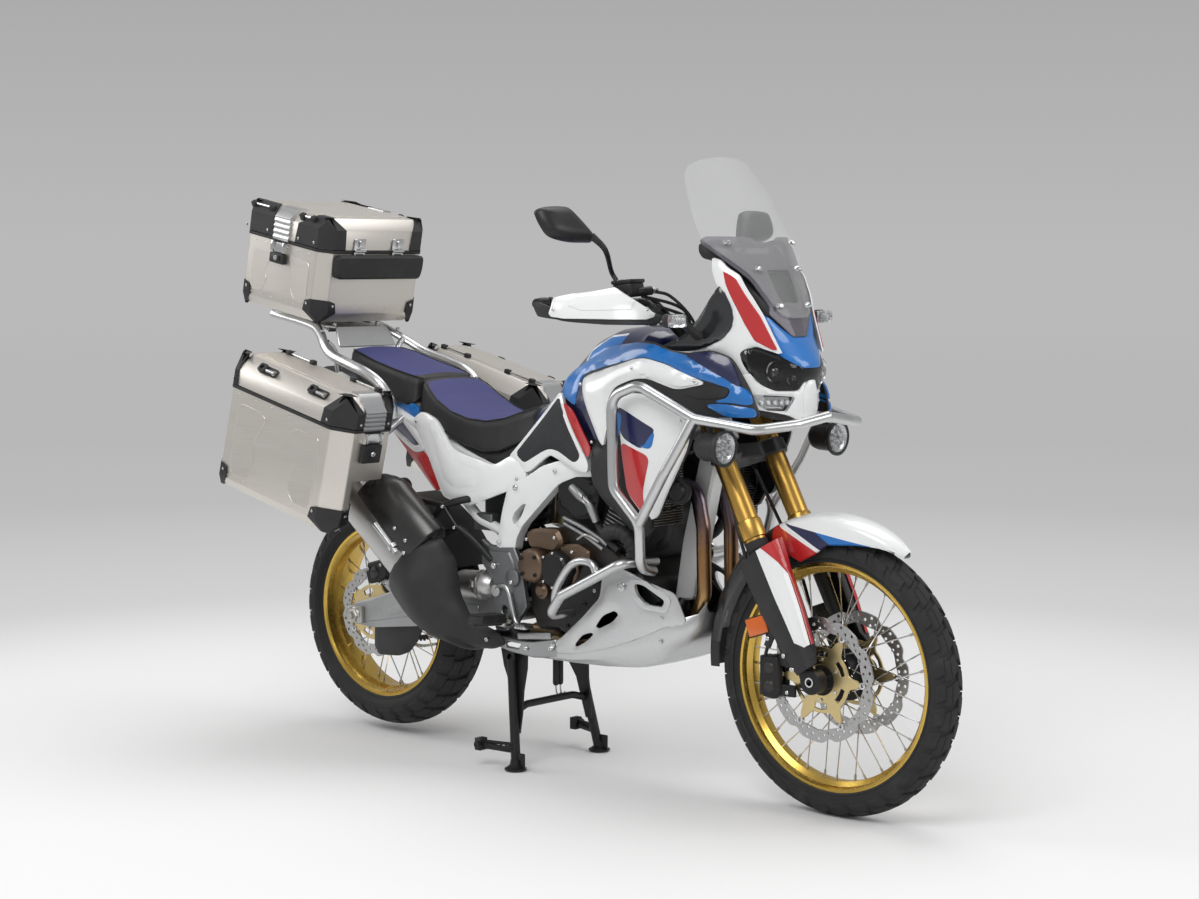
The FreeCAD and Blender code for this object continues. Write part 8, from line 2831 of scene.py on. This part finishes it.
def fenderStations():
    rows = []
    for step in range(fenderPlan["steps"] + 1):
        t = step / fenderPlan["steps"]
        stops = (0, .03, .07, .14, .21, .283, .34, .42, .5, .6, .8, 1)
        rise = float(np.interp(t, stops,
            (.377, .38, .384, .388, .392, .396, .398, .399, .397, .39, .38, .376)))
        half = float(np.interp(t, stops,
            (.012, .03, .042, .053, .06, .064, .066, .067, .067, .066, .06, .05)))
        skirt = float(np.interp(t, stops,
            (.004, .01, .018, .036, .052, .064, .09, .104, .06, .044, .038, .03)))
        rows.append((math.radians(fenderPlan["start"] + fenderPlan["sweep"] * t), rise, half, skirt))
    return rows


def fenderRing(angle, rise, half, skirt):
    line = [(-half, -skirt), (-half, -.012), (-half * .9, -.003), (-half * .62, .0035), (-half * .3, .0075),
        (0, .009), (half * .3, .0075), (half * .62, .0035), (half * .9, -.003), (half, -.012),
        (half, -skirt)]
    outward = Vector((math.cos(angle), 0, math.sin(angle)))
    outer = [frontHub + outward * (rise + up) + Vector((0, side, 0)) for side, up in line]
    inner = [frontHub + outward * (rise + up - fenderPlan["wall"]) + Vector((0, side * .945, 0))
        for side, up in reversed(line)]
    return outer + inner


def fenderPaint(shade):
    # half planes along lines in the side view, given by metres behind the axle and height
    def below(first, last):
        return shade.side([(frontHub.x - back, height) for back, height in (first, last)]).under(0.0)

    wedge = below((.118, .722), (-.116, .684)) * below((.038, .675), (.118, .718))
    blue = shade.mix(below((.045, .716), (-.001, .686)), tints["blue"], tints["navy"])
    tint = shade.mix(wedge * shade.x.under(frontHub.x + .118), tints["white"], blue)
    tint = shade.mix(below((.129, .708), (.045, .667)), tint, tints["red"])
    return shade.mix(shade.x.under(at(.16, 0, 0).x), tint, tints["black"])


finish["fender"] = lacquer("fenderPaint", tints["white"], fenderPaint)
fender = Piece("frontFender", "fender")
fender.rings([fenderRing(*row) for row in fenderStations()])
fender.use("black")
lower = []
for step in range(13):
    t = step / 12
    angle = math.radians(168 + 14 * t)
    half = .05 - .008 * t
    line = [(-half, -.03), (-half, -.006), (-half * .6, 0.0), (0, .003), (half * .6, 0.0), (half, -.006),
        (half, -.03)]
    outward = Vector((math.cos(angle), 0, math.sin(angle)))
    lower.append([frontHub + outward * (.378 + up) + Vector((0, side, 0)) for side, up in line]
        + [frontHub + outward * (.3752 + up) + Vector((0, side * .94, 0)) for side, up in reversed(line)])
fender.rings(lower)
for hand in (-1, 1):
    fender.block((.06, .006, .046), steerMatrix(.02, hand * .0735, .345), .002)
fender.make("steering", "white_plastic", "front_fender")
for hand in (-1, 1):
    for forward in (-.002, .042):
        bolt("cap", "steering", steerAt(forward, hand * .0765, .345), (0, hand, 0), .01, .004)
print("fork and fender made")

# centre stand: flared top plates, cross tube, springs and a ribbed tread on the foot lever
stands = Piece("centreStandParts", "satin")
legTop, legFoot = (.99, .131, .3), (.938, .168, 0.0)


def legSpot(share, hand, behind=0.0, side=0.0):
    place = Vector(legTop).lerp(Vector(legFoot), share)
    return at(place[0] + behind, hand * (place[1] + side), place[2])


for hand in (-1, 1):
    stands.use("satin")
    rings = []
    for share, front, back in ((-.05, .05, .046), (.1, .046, .038), (.3, .03, .014), (.5, .022, .012),
            (.68, .01, .01)):
        rings.append([legSpot(share, hand, -front, -.008), legSpot(share, hand, back, -.008),
            legSpot(share, hand, back, -.014), legSpot(share, hand, -front, -.014)])
    stands.rings(rings)
    stands.lathe([(0, 0), (.026, 0), (.03, .003), (.03, .0065), (.024, .009), (.016, .016), (.0135, .03),
        (0, .03)], at(legFoot[0], hand * (legFoot[1] + .002), .0005), (0, 0, 1), 32)
    stands.block((.028, .006, .046), at(legFoot[0] - .018, hand * legFoot[1], .026), .003)
    # skeleton lever with its tread
    start = Vector((legFoot[0] + .01, legFoot[1] + .002, .06))
    end = Vector((legFoot[0] + .104, legFoot[1] + .024, .062))
    for lift in (-.01, .01):
        stands.tube(path(hand, (start.x, start.y, start.z + lift), (end.x, end.y, end.z + lift * .8)), .0045,
            1, 8, smooth=False)
    for step in range(5):
        spot = start.lerp(end, .15 + .17 * step)
        stands.tube(path(hand, (spot.x, spot.y, spot.z - .01), (spot.x + .01, spot.y, spot.z + .009)), .003,
            1, 6, smooth=False)
    stands.use("softRubber")
    stands.block((.02, .034, .03), at(end.x + .004, hand * end.y, end.z), .005, 3)
    for step in range(4):
        stands.block((.022, .004, .034), at(end.x + .004, hand * (end.y - .012 + .008 * step), end.z), .0015)
for side in (.04, .058):
    stands.use("softRubber")
    stands.lathe([(0, 0), (.006, .002), (.0085, .008), (.0085, .078), (.006, .084), (0, .086)],
        at(.984, side, .196), (0, 0, 1), 14)
    stands.use("zinc")
    stands.tube([at(.984, side, .2), at(.982, side, .18), at(.974, side, .172), at(.966, side, .18)], .0022,
        5, 6)
stands.make("centre_stand")

# side stand: pad, spring and pivot bolt
standLow, standHigh = (Vector(corner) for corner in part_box("side_stand"))
sideStand = Piece("sideStandParts", "satin")
sideStand.block((.058, .034, .01),
    shift(standLow[0] + .026, standHigh[1] - .016, standLow[2] + .01) @ spun(4, "Y"), .004)
sideStand.use("zinc")
sideStand.tube([Vector((standHigh[0] - .02 - .0016 * k, standLow[1] + .004 + .004 * math.cos(k * 1.4),
    standHigh[2] - .006 + .004 * math.sin(k * 1.4))) for k in range(60)], .0012, 1, 5, smooth=False)
sideStand.make("side_stand")

# foot pegs: ribbed rubbers on steel, open black passenger brackets, brake and gear levers
pegPlan = {"behind": .968, "inner": (.19, .404), "outer": (.3, .412), "ribs": 9, "ribGap": .01}
pegs = Piece("pegParts", "satin")
for hand in (-1, 1):
    pegs.use("softRubber")
    inner, outer = (at(pegPlan["behind"], hand * side, height)
        for side, height in (pegPlan["inner"], pegPlan["outer"]))
    along = facing(inner, outer - inner)
    pegs.block((.052, .02, .1), along @ shift(0, .006, .056), .006, 3)
    for rib in range(pegPlan["ribs"]):
        pegs.block((.05, .008, .005), along @ shift(0, .018, .016 + rib * pegPlan["ribGap"]), .0015)
    pegs.use("zinc")
    pegs.block((.03, .03, .03), along @ shift(0, 0, -.008), .005)
    pegs.lathe([(0, -.024), (.006, -.024), (.006, .024), (0, .024)], along @ Vector((0, 0, -.008)), (1, 0, 0),
        12)
    pegs.use("satin")
    bracket = [(1.368, .726), (1.182, .706), (1.12, .64), (1.3, .556), (1.318, .566)]
    holes = [[(1.33, .708), (1.205, .694), (1.276, .626)], [(1.183, .69), (1.143, .644), (1.262, .618)],
        [(1.15, .634), (1.296, .57), (1.264, .606)]]
    low = min(hand * .188, hand * .202)
    pegs.plate(roundCorners(bracket, .01, 4), .014, sideways(low),
        [roundCorners(hole, .006, 3) for hole in holes], .003)
    pegs.lathe([(0, 0), (.02, .002), (.024, .008), (.024, .024), (.02, .03), (.009, .034), (0, .034)],
        at(1.352, hand * .168, .74), (0, hand, 0), 24)
    pegs.use("softRubber")
    pegs.block((.09, .026, .024), Matrix.Translation(at(1.3, hand * .186, .57)) @ spun(24, "Y"), .007, 3)
    for spot in ((1.355, .716), (1.178, .697), (1.134, .644)):
        bolt("cap", "chassis", at(spot[0], hand * .202, spot[1]), (0, hand, 0), .011)
pegs.use("silver")
pegs.tube([at(1.012, -.166, .482), at(1.0, -.168, .493), at(.976, -.17, .495), at(.962, -.17, .478),
    at(.95, -.172, .445), at(.936, -.174, .408), at(.918, -.176, .393)], .0065, 5, 12)
pegs.block((.044, .034, .01), at(.902, -.178, .394), .004)
for rib in range(4):
    pegs.block((.004, .034, .014), at(.888 + .009 * rib, -.178, .396), .001)
pegs.lathe([(0, -.012), (.016, -.012), (.016, .012), (0, .012)], at(1.012, -.16, .48), (0, 1, 0), 20)
pegs.tube([at(.985, .172, .372), at(.93, .18, .36), at(.868, .188, .352)], .006, 4, 12)
pegs.use("softRubber")
pegs.tube([at(.868, .176, .352), at(.868, .222, .352)], .0095, 1, 14, smooth=False)
pegs.use("satin")
for hand in (-1, 1):
    pegs.tube(path(hand, (.968, .166, .402), (.968, .292, .411)), .011, 1, 14, smooth=False)
    pegs.tube(path(hand, (1.182, .19, .7), (1.15, .176, .712), (1.11, .15, .722)), .01, 4, 12)
    pegs.tube(path(hand, (1.128, .194, .644), (1.08, .18, .61), (1.03, .165, .56)), .01, 4, 12)
pegs.make("chassis", None, "footpegs")

# belly plates between the pivot and the skid plate
belly = Piece("bellyPlates", "castSilver")
for hand in (-1, 1):
    low = min(hand * .152, hand * .164)
    belly.plate(roundCorners([(1.022, .356), (.94, .352), (.878, .356), (.8, .372), (.788, .322), (.88, .312),
        (.96, .318), (1.022, .33)], .008, 3), .012, sideways(low),
        [roundCorners([(.985, .346), (.925, .344), (.935, .33), (.98, .332)], .005, 3)], .003)
    belly.block((.12, .012, .018), Matrix.Translation(at(.87, hand * .168, .372)) @ spun(-6, "Y"), .004, 3)
    for b, z in ((1.006, .343), (.902, .335), (.812, .345)):
        bolt("cap", "chassis", at(b, hand * .165, z), (0, hand, 0), .013)
belly.make("chassis")

# a small loop that braces each lower crash bar
loops = Piece("crashBarLoops", "silver")
for hand in (-1, 1):
    loops.tube([at(b, hand * .245, z) for b, z in ((.586, .575), (.6, .596), (.638, .6), (.672, .586),
        (.7, .556), (.722, .52), (.728, .492), (.722, .48))], .0105, 6, 14)
loops.make("chassis", "silver_metal")

# luggage rack: broad alloy rails up to a slotted plate, and a hoop behind each side case
rack = Piece("luggageRack", "silver")
for hand in (-1, 1):
    rack.tube(path(hand, (1.418, .158, .925), (1.416, .172, .975), (1.44, .188, 1.019), (1.486, .194, 1.048),
        (1.545, .194, 1.067), (1.64, .184, 1.094), (1.69, .168, 1.12), (1.74, .14, 1.152), (1.8, .122, 1.176),
        (1.985, .104, 1.206)), .0145, 6, 16, flat=.66)
    hoop = [(1.392, .89), (1.392, .872), (1.42, .858), (1.49, .85), (1.6, .876), (1.74, .912), (1.758, .94),
        (1.752, .985), (1.6, .95), (1.42, .905), (1.4, .9)]
    rack.tube([at(b, hand * .236, z) for b, z in hoop], .009, 5, 12, closed=True)
    rack.tube(path(hand, (1.69, .112, 1.032), (1.696, .124, 1.1), (1.7, .15, 1.128)), .009, 4, 12)
    rack.tube(path(hand, (1.44, .236, .856), (1.43, .18, .88), (1.41, .12, .93)), .009, 5, 12)
    rack.tube(path(hand, (1.75, .236, .97), (1.745, .18, .985), (1.72, .09, .99)), .009, 5, 12)
    rack.use("satin")
    for b, z in ((1.43, .88), (1.72, .948)):
        rack.lathe([(0, 0), (.017, 0), (.018, .003), (.018, .012), (0, .014)], at(b, hand * .236, z),
            (0, hand, 0), 20)
    rack.use("silver")
    for b, y, z in ((1.72, .15, 1.146), (1.985, .104, 1.208)):
        bolt("cap", "chassis", at(b, hand * y, z + .01), (0, 0, 1), .012)
# the slotted plate lies under the top box at the same tilt
tilt = Matrix.Translation(at(1.856, 0, 1.19)) @ spun(topBoxPlan["tilt"], "Y")
outline = [(-.14, -.1), (-.14, .1), (-.11, .115), (.11, .115), (.14, .09), (.14, -.09), (.11, -.115),
    (-.11, -.115)]
slots = [[(x, y - .011), (x + .05, y - .011), (x + .05, y + .011), (x, y + .011)] for x in (-.1, -.025, .05)
    for y in (-.07, 0, .07)]
rack.plate(roundCorners(outline, .012, 4), .006, tilt, [roundCorners(slot, .01, 4) for slot in slots], .0015)
rack.block((.23, .19, .016), tilt @ shift(-.01, 0, -.01), .006, 3)
lip = [(-.034, -.1), (.03, -.112), (.03, .112), (-.034, .1)]
rack.plate(roundCorners(lip, .01, 4), .005, tilt @ shift(.158, 0, -.024) @ spun(52, "Y"), edge=.0012)
for x in (-.118, .118):
    for y in (-.084, .084):
        bolt("cap", "chassis", tilt @ Vector((x, y, .006)), tilt.to_3x3() @ Vector((0, 0, 1)), .012)
rack.make("chassis", "rack_metal", "luggage_racks")
print("stands, pegs and rack made")


# one fastener of a style, in units of its width
def boltShape(style):
    shape = Piece(style + "Head", "zinc")
    if style == "hex":
        for sides, rows in ((12, ((.56, 0), (.56, .14))),
                (6, ((.48, .14), (.5, .16), (.5, .92), (.44, 1.0)))):
            shape.rings([[Vector((r * math.cos(a), r * math.sin(a), z))
                for a in np.linspace(0, math.tau, sides + 1)[:-1]] for r, z in rows])
    elif style == "dome":
        shape.lathe([(0.0, 1.0), (.22, .94), (.4, .66), (.5, .2), (.5, 0.0), (0.0, 0.0)], (0, 0, 0),
            (0, 0, 1), 10)
    else:  # a round head with a socket
        shape.lathe([(0.0, .55), (.25, .55), (.27, .97), (.44, 1.0), (.5, .9), (.5, 0.0), (0.0, 0.0)],
            (0, 0, 0), (0, 0, 1), 12)
    mesh = shape.mesh()
    facesOut(mesh, merge=1e-5)
    return bpy.data.objects.new(style, mesh)


fastenerLooks = {"hex": "zinc", "cap": "steel", "dome": "steel", "darkCap": "satin", "rivet": "steel"}
fastenerForms = {"hex": "hex", "dome": "dome", "rivet": "dome"}
for (style, bodyName), rows in sorted(fasteners.items()):
    copy = boltShape(fastenerForms.get(style, "cap"))
    mesh = grown("fasteners", placesTree, pointsMesh("fastenerPlaces", rows), Copy=copy,
        Finish=finish[fastenerLooks[style]])
    bpy.data.objects.remove(copy)
    joined(style + "Fasteners_" + bodyName, [mesh], bodyName)
print("fasteners grown:", sum(len(rows) for rows in fasteners.values()))

# frame pieces that stay as they are get their finish
keptLooks = {
    "frameWhite": "main_frame subframe", "castSilver": "swingarm", "goldTube": "fork_tubes",
    "satin": "fork_sliders fork_clamps footpegs shock_absorber centre_stand side_stand "
        "handlebar rear_sprocket front_calipers radiators rear_caliper",
    "steel": "front_axle rear_axle front_hub rear_hub",
    "silver": "upper_crash_bars lower_crash_bars luggage_racks", "pipe": "exhaust_headers",
    "rubber": "front_tyre rear_tyre", "gold": "front_rim rear_rim", "disc": "front_discs rear_disc",
    "white": "handguards front_fender side_covers side_fairings front_cowl",
    "black": "mirrors rider_seat pillion_seat rear_fender turn_signals fog_lamps rear_hugger",
    "engine": "engine", "muffler": "muffler", "skid": "skid_plate", "navy": "fuel_tank",
    "gloss": "headlamp instrument_panel", "clear": "windscreen", "zinc": "drive_chain",
    "case": "top_box left_pannier right_pannier top_box_lid left_pannier_lid right_pannier_lid",
}
for look, names in keptLooks.items():
    for nodeName in names.split():
        for materialSlot in cadNodes[nodeName].material_slots:
            materialSlot.material = finish[look]
print("kept pieces finished")
